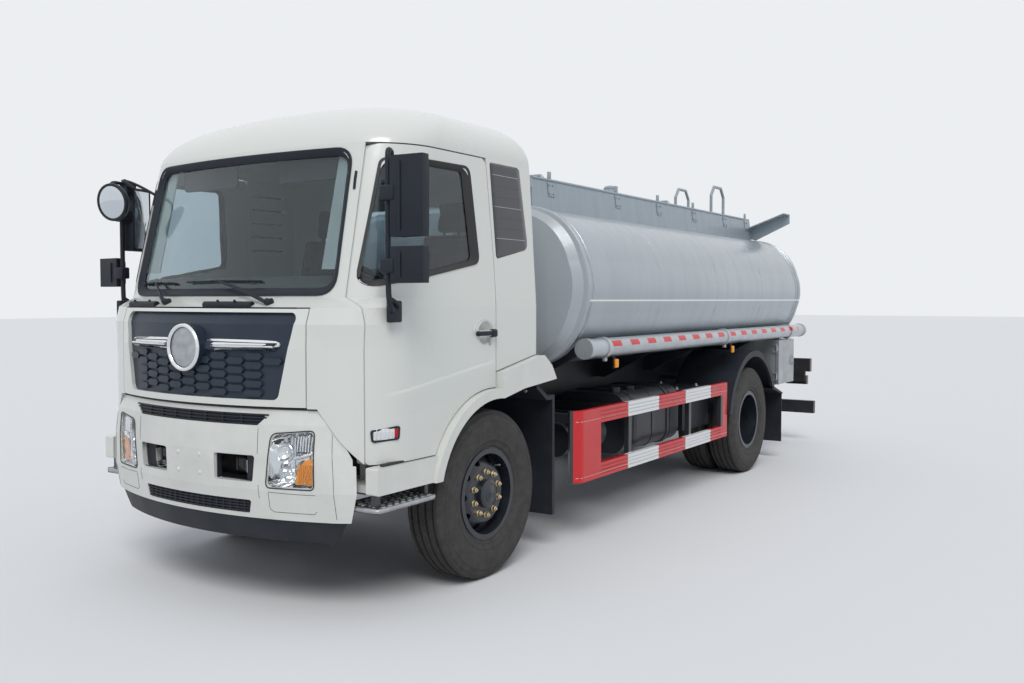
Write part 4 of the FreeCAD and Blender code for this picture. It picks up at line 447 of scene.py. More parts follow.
# %% Parts with two finishes
def two_tone(name, axis, edge, below, above, rough=(0.3, 0.45), coat=0.4, far=None):
    """Colour below up to the edge on that axis, above beyond it; far adds a second edge on |x|."""
    material, tree, shader, place = start_material(name)
    chosen = add_math(tree, "GREATER_THAN", axis_of(tree, place, axis), edge)
    if far:
        wide = add_math(tree, "ABSOLUTE", axis_of(tree, place, "X"), 0.0)
        chosen = add_math(tree, "MULTIPLY", chosen, add_math(tree, "LESS_THAN", wide, far))
    cloud = add_noise(tree, place, 3.0, 4.0)
    tint = add_ramp(tree, cloud, 0.3, 0.7)
    low = add_mix(tree, tint, shaded(below, 0.92), shaded(below, 1.06))
    high = add_mix(tree, tint, shaded(above, 0.98), shaded(above, 1.02))
    base = add_mix(tree, chosen, low, high)
    dusty = add_ramp(tree, add_noise(tree, place, 7.0, 6.0, 0.6), 0.35, 0.8, 0.0, 0.12)
    tree.links.new(add_mix(tree, dusty, base, DUST), shader.inputs["Base Color"])
    tree.links.new(add_ramp(tree, cloud, 0.3, 0.7, *rough), shader.inputs["Roughness"])
    add_bump(tree, shader, add_noise(tree, place, 320.0), 0.00003)
    shader.inputs["Coat Weight"].default_value = coat
    shader.inputs["Coat Roughness"].default_value = 0.1
    return material


arch_paint = two_tone("arch_enamel", "Z", 0.699, (0.030, 0.034, 0.040), (0.645, 0.66, 0.625))
bumper_paint = two_tone("bumper_enamel", "Y", -3.972, (0.645, 0.66, 0.625), (0.012, 0.013, 0.015),
                        far=0.56)
lamp_body = two_tone("tail_lamp_body", "Y", 4.098, (0.016, 0.017, 0.019), (0.50, 0.015, 0.015))
print("two-tone finishes:", arch_paint.name, bumper_paint.name, lamp_body.name)

# %% [markdown]
# Under the body almost everything is black chassis paint with a layer of dust,
# and the castings are bare grey iron. Tyres are black rubber, but the dry dust
# in the sidewalls turns them a warm dark grey.

# %% Chassis, rubber and metal finishes
frame_paint = finish("chassis_black", (0.014, 0.018, 0.026), (0.36, 0.50), vary=0.2, patch=4,
                     dust=0.10, dust_top=1.1, grain=420, depth=0.00006)
engine_paint = finish("cast_grey", (0.16, 0.165, 0.17), (0.5, 0.7), metal=0.2, vary=0.18,
                      patch=7, dust=0.4, dust_top=1.5, grain=500, depth=0.00012)
rim_paint = finish("rim_enamel", (0.010, 0.014, 0.022), (0.24, 0.34), coat=0.25, vary=0.18,
                   patch=8, dust=0.05, dust_top=1.3, grain=300, depth=0.00004)
galvanised = finish("galvanised_steel", (0.42, 0.44, 0.46), (0.38, 0.52), metal=0.85, vary=0.16,
                    patch=22, dust=0.25, dust_top=1.2, grain=260, depth=0.00003)
chrome = finish("chrome", (0.80, 0.81, 0.82), (0.06, 0.12), metal=1.0, vary=0.03, patch=9,
                grain=200, depth=0.000004)
brass = finish("brass_nuts", (0.55, 0.45, 0.29), (0.26, 0.38), metal=0.95, vary=0.14, patch=40,
               dust=0.15, dust_top=1.0, grain=500, depth=0.00003)
mirror_glass = finish("mirror_glass", (0.62, 0.66, 0.70), (0.02, 0.04), metal=1.0, vary=0.02,
                      patch=3, grain=40, depth=0.000002)
print("chassis finishes:", frame_paint.name, engine_paint.name, rim_paint.name)


# %% Tyre rubber
def tyre_rubber(name):
    """Black rubber with patches of dry dust."""
    material, tree, shader, place = start_material(name)
    cloud = add_noise(tree, place, 6.0, 6.0, 0.65)
    base = add_mix(tree, add_ramp(tree, cloud, 0.3, 0.7), (0.018, 0.018, 0.019), (0.034, 0.032, 0.031))
    dusty = add_ramp(tree, add_noise(tree, place, 17.0, 8.0, 0.7), 0.38, 0.74, 0.10, 0.42)
    base = add_mix(tree, dusty, base, (0.120, 0.106, 0.099))
    tree.links.new(base, shader.inputs["Base Color"])
    tree.links.new(add_ramp(tree, cloud, 0.3, 0.7, 0.62, 0.82), shader.inputs["Roughness"])
    add_bump(tree, shader, add_noise(tree, place, 380.0, 3.0), 0.00015)
    shader.inputs["Specular IOR Level"].default_value = 0.35
    return material


tyre = tyre_rubber("tyre_rubber")
print("tyre finish:", tyre.name)

# %% [markdown]
# Glass is one clear shader with a tint, smooth enough to mirror the sky. The
# tint of a windscreen is weak green-blue. Its faint waviness comes from a very
# slow bump.

# %% Glass finishes
def tinted_glass(name, colour, rough, wave=0.00002, clear=1.0, scale=3.0):
    """Clear or coloured glass with a slight waviness and a little dust."""
    material, tree, shader, place = start_material(name)
    cloud = add_noise(tree, place, scale, 3.0)
    base = add_mix(tree, add_ramp(tree, cloud, 0.3, 0.7), shaded(colour, 0.96), shaded(colour, 1.04))
    tree.links.new(base, shader.inputs["Base Color"])
    tree.links.new(add_ramp(tree, cloud, 0.3, 0.7, rough, rough + 0.02), shader.inputs["Roughness"])
    add_bump(tree, shader, cloud, wave)
    shader.inputs["Transmission Weight"].default_value = clear
    shader.inputs["IOR"].default_value = 1.45
    material.diffuse_color = (*colour, 0.4)
    return material


windscreen_glass = tinted_glass("windscreen_glass", (0.62, 0.72, 0.76), 0.0)
door_glass = tinted_glass("door_glass", (0.50, 0.58, 0.62), 0.0)
lamp_glass = tinted_glass("lamp_lens", (0.93, 0.95, 0.97), 0.02, 0.00002, scale=5)
lamp_glass.node_tree.nodes["Principled BSDF"].inputs["IOR"].default_value = 1.12
lamp_glass.node_tree.nodes["Principled BSDF"].inputs["Coat Weight"].default_value = 0.8
amber_lens = tinted_glass("amber_lens", (1.0, 0.36, 0.01), 0.14, 0.0003, 0.15, 60)
smoke_lens = tinted_glass("smoke_lens", (0.28, 0.34, 0.40), 0.12, 0.0002, 0.25, 30)
red_lens = tinted_glass("red_lens", (0.62, 0.02, 0.02), 0.10, 0.0003, 0.4, 60)
print("glass finishes:", windscreen_glass.name, door_glass.name, lamp_glass.name)


# %% [markdown]
# The seats are covered in a plain woven cloth. Two wave patterns at right
# angles, a few threads to a millimetre apart, give its weave.

# %% Seat cloth
def woven_cloth(name, colour, thread=0.0016):
    """Woven cloth: crossed threads as bump, and a mottled dye."""
    material, tree, shader, place = start_material(name)
    cloud = add_noise(tree, place, 20.0, 4.0)
    base = add_mix(tree, add_ramp(tree, cloud, 0.3, 0.7), shaded(colour, 0.85), shaded(colour, 1.15))
    threads = None
    for direction in ("X", "Z"):
        wave = tree.nodes.new("ShaderNodeTexWave")
        wave.bands_direction = direction
        wave.inputs["Scale"].default_value = 0.314 / thread / 2
        tree.links.new(place, wave.inputs["Vector"])
        threads = wave.outputs["Fac"] if threads is None else add_math(
            tree, "MAXIMUM", threads, wave.outputs["Fac"])
    base = add_mix(tree, add_ramp(tree, threads, 0.4, 1.0, 0.0, 0.5), base, shaded(colour, 1.5))
    tree.links.new(base, shader.inputs["Base Color"])
    add_bump(tree, shader, threads, 0.0004)
    shader.inputs["Roughness"].default_value = 0.9
    shader.inputs["Sheen Weight"].default_value = 0.3
    shader.inputs["Sheen Roughness"].default_value = 0.5
    return material


seat_cloth = woven_cloth("seat_weave", (0.10, 0.105, 0.115))
print("cloth finish:", seat_cloth.name)

# %% [markdown]
# Now each of the ready-made parts gets its finish. A list in a maker's words
# says which part is painted how.

# %% Finish every ready-made part
FINISHES = {
    "cab_front cab_rear_wall cab_roof cab_side_left cab_side_right door_left door_right"
    " front_flap": cab_paint,
    "wheel_arches": arch_paint,
    "bumper": bumper_paint,
    "tank": tank_paint,
    "hose_tubes": tube_silver,
    "coaming ladder manhole_lid_front manhole_lid_rear": coaming_paint,
    "valve_cabinet cabinet_door": cabinet_paint,
    "side_guards": guard_paint,
    "front_rim_left front_rim_right rear_rims_left rear_rims_right": rim_paint,
    "front_tyre_left front_tyre_right rear_tyres_left rear_tyres_right": tyre,
    "frame_rails cross_members leaf_springs front_axle rear_axle air_tanks fuel_tank silencer"
    " tank_cradle under_run_bar knuckle_left knuckle_right discharge_pipe cab_floor": frame_paint,
    "engine driveline": engine_paint,
    "bumper_lip battery_box mudguards radiator mirror_left mirror_right": black_plastic,
    "grille": grille_plastic,
    "dashboard": interior_plastic,
    "cab_glass": windscreen_glass,
    "door_glass_left door_glass_right": door_glass,
    "headlamps": lamp_glass,
    "tail_lamps": lamp_body,
    "seats": seat_cloth,
}
for names, material in FINISHES.items():
    for name in names.split():
        for slot in nodes[name].material_slots:
            slot.material = material
print(sum(len(names.split()) for names in FINISHES), "parts finished")

# %% [markdown]
# ## Tools for modelling
# Every new piece starts from a simple shape at its real place, is worked in
# edit mode, and ends as a mesh whose object stands at the origin. The few
# helpers below do the moves that come back again and again: a block with
# rounded edges, a profile that is drawn vertex by vertex and spun round an
# axle, a tube that follows a line, and a flat panel from an outline.

# %% Starting and ending a piece
SIDES = (("left", 1), ("right", -1))


def edit_all():
    """Enters edit mode with the whole mesh selected."""
    bpy.ops.object.mode_set(mode="EDIT")
    bpy.ops.mesh.select_all(action="SELECT")


def leave_edit():
    """Back to object mode."""
    bpy.ops.object.mode_set(mode="OBJECT")


def start_clean():
    """Nothing selected and no edit mode, so that the next operator acts on its own piece."""
    if bpy.context.object and bpy.context.object.mode != "OBJECT":
        leave_edit()
    bpy.ops.object.select_all(action="DESELECT")
    bpy.context.scene.tool_settings.mesh_select_mode = (True, False, False)


def take(piece):
    """Makes one object the only selected and active one."""
    start_clean()
    piece.select_set(True)
    bpy.context.view_layer.objects.active = piece


def settle(piece, name, body, material, angle=35):
    """Names a finished piece, puts its place into its mesh, shades it, and lets it ride."""
    take(piece)
    bpy.ops.object.transform_apply(location=True, rotation=True, scale=True)
    piece.name = piece.data.name = name
    piece.data.materials.clear()
    piece.data.materials.append(material)
    bpy.ops.object.shade_smooth_by_angle(angle=radians(angle))
    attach(piece, body)
    return piece


def add_modifier(piece, kind, **settings):
    """Adds a modifier, sets it and applies it."""
    take(piece)
    bpy.ops.object.modifier_add(type=kind)
    modifier = piece.modifiers[-1]
    for key, value in settings.items():
        setattr(modifier, key, value)
    bpy.ops.object.modifier_apply(modifier=modifier.name)


def select_where(piece, kind, test):
    """In edit mode: selects the faces, edges or vertices whose middle passes the test."""
    bpy.ops.mesh.select_mode(type=kind)
    bpy.ops.mesh.select_all(action="DESELECT")
    mesh = bmesh.from_edit_mesh(piece.data)
    for item in {"FACE": mesh.faces, "EDGE": mesh.edges, "VERT": mesh.verts}[kind]:
        middle = item.co if kind == "VERT" else (
            item.calc_center_median() if kind == "FACE" else
            (item.verts[0].co + item.verts[1].co) / 2)
        if test(middle, item):
            item.select_set(True)
    mesh.select_flush_mode()
    bmesh.update_edit_mesh(piece.data)


print("piece helpers ready")


# %% Blocks, spun profiles, tubes and panels
def block(low, high, bevel=0.002, segments=2):
    """A block between two corners with rounded edges."""
    start_clean()
    low, high = Vector(low), Vector(high)
    bpy.ops.mesh.primitive_cube_add(size=1, location=(low + high) / 2)
    piece = bpy.context.object
    piece.scale = high - low
    bpy.ops.object.transform_apply(location=True, rotation=True, scale=True)
    if bevel:
        edit_all()
        bpy.ops.mesh.bevel(offset=bevel, segments=segments, affect="EDGES", clamp_overlap=True)
        leave_edit()
    return piece


def spun(profile, centre, axis, steps=24, closed=False):
    """Extrudes one vertex along a profile of (radius, along axis) points and spins it round the axis."""
    start_clean()
    centre, axis = Vector(centre), Vector(axis).normalized()
    side = axis.orthogonal().normalized()
    path = [centre + side * radius + axis * along for radius, along in profile]
    bpy.ops.mesh.primitive_plane_add(size=0.001, location=path[0])
    piece = bpy.context.object
    bpy.ops.object.transform_apply(location=True, rotation=True, scale=True)
    edit_all()
    bpy.ops.mesh.merge(type="CENTER")
    for here, there in zip(path[:-1], path[1:]):
        bpy.ops.mesh.extrude_vertices_move(TRANSFORM_OT_translate={"value": there - here})
    if closed:
        bpy.ops.mesh.extrude_vertices_move(TRANSFORM_OT_translate={"value": path[0] - path[-1]})
    bpy.ops.mesh.select_all(action="SELECT")
    bpy.ops.mesh.remove_doubles(threshold=0.00005)
    bpy.ops.mesh.spin(steps=steps, angle=2 * pi, center=centre, axis=axis)
    bpy.ops.mesh.select_all(action="SELECT")
    bpy.ops.mesh.remove_doubles(threshold=0.00005)
    bpy.ops.mesh.normals_make_consistent(inside=False)
    leave_edit()
    return piece


def tube(points, radius, sides=4, smooth=True):
    """A round tube along a smooth line, or along straight runs."""
    start_clean()
    bpy.ops.curve.primitive_nurbs_path_add(location=(0, 0, 0))
    piece = bpy.context.object
    piece.data.splines.clear()
    line = piece.data.splines.new("NURBS" if smooth else "POLY")
    line.points.add(len(points) - 1)
    for point, at in zip(line.points, points):
        point.co = (*at, 1)
    if smooth:
        line.order_u = 3
        line.use_endpoint_u = True
        line.resolution_u = 6
    piece.data.bevel_depth = radius
    piece.data.bevel_resolution = sides
    piece.data.use_fill_caps = True
    take(piece)
    bpy.ops.object.convert(target="MESH")
    return bpy.context.object


def panel(outline, push, bevel=0.0015):
    """A flat sheet with that outline, pushed to a thickness, its edges rounded."""
    start_clean()
    bpy.ops.mesh.primitive_circle_add(vertices=len(outline), radius=0.1, fill_type="NGON")
    piece = bpy.context.object
    for corner, at in zip(piece.data.vertices, outline):
        corner.co = at
    edit_all()
    bpy.ops.mesh.extrude_region_move(TRANSFORM_OT_translate={"value": Vector(push)})
    bpy.ops.mesh.select_all(action="SELECT")
    bpy.ops.mesh.normals_make_consistent(inside=False)
    if bevel:
        bpy.ops.mesh.bevel(offset=bevel, segments=2, affect="EDGES", clamp_overlap=True)
    leave_edit()
    return piece


print("block, spun, tube and panel ready")


# %% Copies, joins, outlines and draping
def copied(piece, move=(0, 0, 0), flip_x=False, turn=None):
    """A copy with its own mesh, moved, mirrored to the other side, or turned about an axis."""
    take(piece)
    bpy.ops.object.duplicate(linked=False)
    twin = bpy.context.object
    if twin.parent:
        twin.parent = None
    if flip_x:
        twin.data.transform(Matrix.Scale(-1, 4, (1, 0, 0)))
        edit_all()
        bpy.ops.mesh.flip_normals()
        leave_edit()
    if turn:
        centre, axis, angle = Vector(turn[0]), Vector(turn[1]), turn[2]
        twin.data.transform(Matrix.Translation(centre) @ Matrix.Rotation(angle, 4, axis)
                            @ Matrix.Translation(-centre))
    twin.data.transform(Matrix.Translation(Vector(move)))
    return twin


def joined(pieces):
    """Several meshes joined to one."""
    start_clean()
    for piece in pieces:
        piece.select_set(True)
    bpy.context.view_layer.objects.active = pieces[0]
    if len(pieces) > 1:
        bpy.ops.object.join()
    return bpy.context.object


def ring_of(piece, count, centre, axis):
    """The piece and its copies, evenly round an axis."""
    return joined([piece] + [copied(piece, turn=(centre, axis, 2 * pi * i / count))
                             for i in range(1, count)])


def rounded(corners, radius, steps=6):
    """A closed outline of 2-D corners, each rounded by its radius."""
    points = []
    radii = radius if isinstance(radius, (list, tuple)) else [radius] * len(corners)
    for i, here in enumerate(corners):
        here = Vector(here)
        before = (Vector(corners[i - 1]) - here).normalized()
        after = (Vector(corners[(i + 1) % len(corners)]) - here).normalized()
        reach = radii[i] / max(0.05, math_tan(before.angle(after) / 2))
        start, end = here + before * reach, here + after * reach
        for step in range(steps + 1):
            share = step / steps
            points.append(start * (1 - share) ** 2 + here * 2 * share * (1 - share) + end * share ** 2)
    return points


def math_tan(angle):
    return sin(angle) / cos(angle)


def rim_band(outer, inner, lift):
    """A flat band between two outlines with the same number of points; lift makes a 3-D point."""
    start_clean()
    bpy.ops.mesh.primitive_circle_add(vertices=len(outer), radius=0.1, fill_type="NOTHING")
    piece = bpy.context.object
    for corner, at in zip(piece.data.vertices, outer):
        corner.co = lift(at)
    edit_all()
    bpy.ops.mesh.extrude_edges_move(TRANSFORM_OT_translate={"value": (0, 0, 0)})
    leave_edit()
    for corner, at in zip(piece.data.vertices[len(outer):], inner):
        corner.co = lift(at)
    return piece


def draped(piece, targets, axis, outward, offset=0.001, thick=0.005):
    """Projects a flat piece onto ready-made parts along one axis, then gives it thickness outwards."""
    copies = []
    for name in targets:
        take(nodes[name])
        bpy.ops.object.duplicate(linked=False)
        twin = bpy.context.object
        twin.parent = None
        copies.append(twin)
    form = joined(copies)
    add_modifier(piece, "SHRINKWRAP", target=form, wrap_method="PROJECT",
                 use_project_x=axis == "X", use_project_y=axis == "Y", use_project_z=axis == "Z",
                 use_negative_direction=True, use_positive_direction=True, offset=0)
    bpy.data.objects.remove(form)
    piece.data.transform(Matrix.Translation(Vector(outward) * offset))
    take(piece)
    bpy.ops.object.mode_set(mode="EDIT")
    select_where(piece, "FACE", lambda middle, face: face.normal.dot(Vector(outward)) < 0)
    bpy.ops.mesh.flip_normals()
    leave_edit()
    add_modifier(piece, "SOLIDIFY", thickness=thick, offset=1.0)
    return piece


print("copies, outlines and draping ready")

# %% [markdown]
# ## Wheels
# The workshop drawing counts in millimetres from the front axle line, with the
# ground as zero height. The truck's own zero lies further back, so one small
# helper turns a drawing size into a place in the scene.

# %% Drawing sizes to places
FRONT_AXLE_Y = -2.776
AXLE_Z = 0.526


def at(x, y, z):
    """A place given in drawing millimetres."""
    return Vector((x / 1000, y / 1000 + FRONT_AXLE_Y, z / 1000))


print("front axle at", at(0, 0, 526))

# %% [markdown]
# A truck tyre is a ring of rubber with a rounded shoulder, thin raised lines on
# the sidewall, and four grooves that run round the tread. All of that is one
# cross-section, so it is drawn once, vertex by vertex, and spun round the
# axle. The six tyres are copies of this one.

# %% Tyre cross-section
TYRE_R = 0.526
GROOVES = (0.078, 0.028, -0.028, -0.078)


def crown(along):
    """Height of the tread: almost flat, falling a little towards the shoulders."""
    return TYRE_R - 0.45 * along * along


side_wall = [(0.283, 0.086), (0.287, 0.103), (0.300, 0.114), (0.306, 0.119), (0.311, 0.118),
             (0.335, 0.127), (0.339, 0.1305), (0.344, 0.1305), (0.348, 0.129), (0.385, 0.1365),
             (0.420, 0.1375), (0.452, 0.1345), (0.456, 0.1365), (0.461, 0.1360), (0.464, 0.132),
             (0.486, 0.1265), (0.489, 0.1285), (0.494, 0.1270), (0.497, 0.1215), (0.508, 0.114)]
tread = [(crown(0.106) - 0.004, 0.110), (crown(0.100), 0.103)]
for middle in GROOVES:
    tread += [(crown(middle + 0.0070), middle + 0.0070), (crown(middle) - 0.014, middle + 0.0048),
              (crown(middle) - 0.014, middle - 0.0048), (crown(middle - 0.0070), middle - 0.0070)]
tread += [(crown(0.100), -0.103), (crown(0.106) - 0.004, -0.110)]
tyre_profile = side_wall + tread + [(radius, -along) for radius, along in reversed(side_wall)]
print(len(tyre_profile), "points in the section")

# %% [markdown]
# The fine cuts across the tread, called sipes, are far too many to model. They
# go into the rubber as a pattern of the angle round the axle, so the material
# needs to know where the axle is: one rubber for each axle line.

# %% Rubber with sipes
def sipe_rubber(name, axle_y):
    """Tyre rubber whose tread has fine cross cuts, counted round the axle at axle_y."""
    material = tyre_rubber(name)
    tree = material.node_tree
    shader = tree.nodes["Principled BSDF"]
    place = tree.nodes["Texture Coordinate"].outputs["Object"]
    y = add_math(tree, "SUBTRACT", axis_of(tree, place, "Y"), axle_y)
    z = add_math(tree, "SUBTRACT", axis_of(tree, place, "Z"), AXLE_Z)
    angle = add_math(tree, "ARCTAN2", z, y)
    slant = add_math(tree, "MULTIPLY", axis_of(tree, place, "X"), 1.1)
    beat = add_math(tree, "SINE", add_math(tree, "MULTIPLY", add_math(tree, "ADD", angle, slant), 150.0), 0)
    radius = add_math(tree, "SQRT", add_math(tree, "ADD", add_math(tree, "MULTIPLY", y, y),
                                              add_math(tree, "MULTIPLY", z, z)), 0)
    on_tread = add_ramp(tree, radius, 0.506, 0.512)
    cut = add_math(tree, "MULTIPLY", add_ramp(tree, beat, 0.82, 0.98, 0.0, 0.55), on_tread)
    under = shader.inputs["Base Color"].links[0].from_socket
    tree.links.new(add_mix(tree, cut, under, (0.006, 0.006, 0.006)), shader.inputs["Base Color"])
    old = shader.inputs["Normal"].links[0].from_node
    second = tree.nodes.new("ShaderNodeBump")
    second.inputs["Distance"].default_value = 0.0012
    second.invert = True
    tree.links.new(cut, second.inputs["Height"])
    tree.links.new(old.outputs[0], second.inputs["Normal"])
    tree.links.new(second.outputs[0], shader.inputs["Normal"])
    return material


REAR_AXLE_Y = 4.500 + FRONT_AXLE_Y
front_rubber = sipe_rubber("front_tyre_rubber", FRONT_AXLE_Y)
rear_rubber = sipe_rubber("rear_tyre_rubber", REAR_AXLE_Y)
print("rubber for axles at", FRONT_AXLE_Y, REAR_AXLE_Y)

# %% Tyres
first_tyre = spun(tyre_profile, at(1007, 0, 526), (1, 0, 0), steps=96, closed=True)
for side, turn_over in (("left", False), ("right", True)):
    front = copied(first_tyre, flip_x=turn_over)
    settle(front, f"tyre_front_{side}", f"wheel_front_{side}", front_rubber, 28)
    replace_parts(front, f"front_tyre_{side}")
    twins = [copied(first_tyre, move=(x / 1000 - 1.007, 4.5, 0)) for x in (1090, 778)]
    pair = joined(twins)
    if turn_over:
        mirrored = copied(pair, flip_x=True)
        bpy.data.objects.remove(pair)
        pair = mirrored
    settle(pair, f"tyres_rear_{side}", f"wheel_rear_{side}", rear_rubber, 28)
    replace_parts(pair, f"rear_tyres_{side}")
print("each tyre has", len(first_tyre.data.polygons), "faces")
bpy.data.objects.remove(first_tyre)

# %% [markdown]
# Ten brass-coloured nuts hold each wheel. A nut is a six-sided block with a
# chamfered top, and the stud's end stands out of it. A washer collar widens its
# foot. One is modelled from a six-sided cylinder, and then copied round the hub.

# %% Wheel nuts
def wheel_nut(centre, outward):
    """One nut with its collar and stud, standing outward from centre."""
    outward = Vector(outward)
    turn = outward.to_track_quat("Z", "Y").to_euler()
    start_clean()
    bpy.ops.mesh.primitive_cylinder_add(vertices=6, radius=0.0170, depth=0.020,
                                        location=centre + outward * 0.014, rotation=turn)
    nut = bpy.context.object
    bpy.ops.object.transform_apply(location=True, rotation=True, scale=True)
    bpy.ops.object.mode_set(mode="EDIT")
    top = centre.dot(outward) + 0.0235
    select_where(nut, "FACE", lambda middle, face: middle.dot(outward) > top)
    bpy.ops.mesh.bevel(offset=0.004, segments=1, affect="EDGES")
    leave_edit()
    collar = spun([(0.0, 0.0), (0.021, 0.0), (0.021, 0.003), (0.018, 0.006), (0.0, 0.006)], centre, outward, 12)
    stud = spun([(0.0, 0.031), (0.0070, 0.031), (0.0085, 0.029), (0.0085, 0.022), (0.0, 0.022)],
                centre, outward, 10)
    return joined([nut, collar, stud])


NUT_CIRCLE = 0.135
for side, sign in SIDES:
    for axle, face_x, hub_y, circle in (("front", 1.099, 0, NUT_CIRCLE), ("rear", 0.948, 4500, 0.145)):
        hub = at(0, hub_y, 526)
        hub.x = sign * face_x
        nut = wheel_nut(hub + Vector((0, 0, circle)), (sign, 0, 0))
        nuts = ring_of(nut, 10, hub, (1, 0, 0))
        settle(nuts, f"nuts_{axle}_{side}", f"wheel_{axle}_{side}", brass)
print("ten nuts on each wheel, circle", NUT_CIRCLE)

# %% [markdown]
# A domed cap with a small boss closes each hub, and a valve stem reaches out through one hand hole. The rim's outer
# lip carries a thin rolled edge. All three are small profiles spun round their own line, so the cap's boss comes
# out round, not six-sided.

# %% Hub caps, valves and rim lips
for side, sign in SIDES:
    for axle, cap_x, hub_y, lip_x in (("front", 1.124, 0, 1.007), ("rear", 1.082, 4500, 1.090)):
        hub = at(0, hub_y, 526)
        hub.x = sign * cap_x
        out = (sign, 0, 0)
        cap = spun([(0.0, 0.022), (0.018, 0.0215), (0.022, 0.018), (0.040, 0.016), (0.056, 0.010), (0.066, 0.004),
                    (0.068, 0.0), (0.0, 0.0)], hub, out, 32)
        settle(cap, f"hub_cap_{axle}_{side}", f"wheel_{axle}_{side}", rim_paint, 40)
        lip_centre = Vector((sign * lip_x, hub.y, hub.z))
        lip = spun([(0.276, 0.098), (0.281, 0.1045), (0.288, 0.107), (0.2935, 0.1035), (0.294, 0.097)],
                   lip_centre, out, 72, closed=True)
        settle(lip, f"rim_lip_{axle}_{side}", f"wheel_{axle}_{side}", rim_paint, 60)
        foot = lip_centre + Vector((sign * (0.052 if axle == "front" else -0.09), 0.148, 0.152))
        tip = foot + Vector((sign * 0.034, 0.004, 0.004))
        valve = tube([foot, foot.lerp(tip, 0.4), tip], 0.0042, 3)
        end = spun([(0.0, 0.012), (0.0055, 0.011), (0.0062, 0.0), (0.0, -0.003)], tip, tip - foot, 10)
        settle(joined([valve, end]), f"valve_{axle}_{side}", f"wheel_{axle}_{side}", galvanised,
               50)
print("caps, lips and valves on four wheels")

# %% [markdown]
# ## The cab
# Trim has to lie on the curved skin. A ray shot at a ready-made part gives the
# place where it meets the skin, so a bracket or a bar can start exactly there.

# %% Finding the skin
def skin(names, start, direction):
    """The first place where a ray from start meets one of the named parts."""
    best = None
    start, direction = Vector(start), Vector(direction).normalized()
    for name in names.split():
        hit, place, normal, index = nodes[name].ray_cast(start, direction)
        if hit and (best is None or (place - start).length < (best - start).length):
            best = place
    return best


def front_skin(names, x, z, proud=0.0):
    """A place on the front of the named parts at drawing x and z, proud of the skin."""
    hit = skin(names, at(x, -1700, z), (0, 1, 0))
    return hit + Vector((0, -proud, 0))


def side_skin(names, y, z, proud=0.0, sign=1):
    """The same on the left side, or on the right side with sign -1."""
    start = at(1700, y, z)
    start.x *= sign
    return skin(names, start, (-sign, 0, 0)) + Vector((sign * proud, 0, 0))


def finer(*outlines, step=0.05):
    """Cuts the long runs of matching outlines into the same number of short ones."""
    fine = [[] for line in outlines]
    for i in range(len(outlines[0])):
        ends = [(Vector(line[i]), Vector(line[(i + 1) % len(line)])) for line in outlines]
        parts = max(1, int((ends[0][1] - ends[0][0]).length / step))
        for points, (a, b) in zip(fine, ends):
            points += [a.lerp(b, n / parts) for n in range(parts)]
    return fine


print("skin at the middle of the nose:", [round(v, 3) for v in front_skin("bumper", 0, 1000)])

# %% [markdown]
# The windscreen is glued into a black surround. It starts as a flat
# band in front of the cab, is projected back onto skin and glass, and then
# gets its thickness, so it follows the bow of the front without any fitting.

# %% Seal over a step
def grown(corners, by):
    """The outline of a counter-clockwise shape with every side moved outwards."""
    result = []
    for i, here in enumerate(corners):
        here = Vector(here)
        before = (here - Vector(corners[i - 1])).normalized()
        after = (Vector(corners[(i + 1) % len(corners)]) - here).normalized()
        one, two = Vector((before.y, -before.x)), Vector((after.y, -after.x))
        result.append(here + (one + two) / (1 + one.dot(two)) * by)
    return result


def step_seal(opening, inner, radius, out, lift, targets, axis, outward, thick):
    """A draped band of three outlines over the edge of an opening."""
    lines = [rounded(grown(opening, out), radius + out, 6), rounded(grown(opening, 0.0025), radius, 6),
             rounded(inner, radius - 0.01, 6)]
    lines = finer(*lines)
    band = joined([rim_band(lines[0], lines[1], lift), rim_band(lines[1], lines[2], lift)])
    take(band)
    edit_all()
    bpy.ops.mesh.remove_doubles(threshold=0.00005)
    leave_edit()
    return draped(band, targets, axis, outward, 0.0012, thick)


print("seal helper ready")


# %% Windscreen surround
def four(low_x, low_z, high_x, high_z):
    """The corners of a shape that is even about the middle, wider or narrower at the top."""
    return [(-low_x, low_z), (low_x, low_z), (high_x, high_z), (-high_x, high_z)]


def in_front(point):
    return at(point[0] * 1000, -1600, point[1] * 1000)


def metres(points):
    return [(x / 1000, z / 1000) for x, z in points]


opening = metres(four(848, 1766, 818, 2568))
inner = metres(four(822, 1794, 792, 2540))
surround = step_seal(opening, inner, 0.10, 0.012, in_front, ["cab_front", "cab_glass"], "Y",
                     (0, -1, 0), 0.006)
settle(surround, "windscreen_surround", "cab", black_plastic, 50)
print("surround of", len(surround.data.polygons), "faces")

# %% [markdown]
# Two wipers rest low on the glass. Each has a spindle cap, a pressed arm that narrows towards its end, and a thin
# blade with its rubber lip. Here the arm is a round tube of even width with a spring tube beside it; the blade is a
# long tube with a lip below it and four small clips.

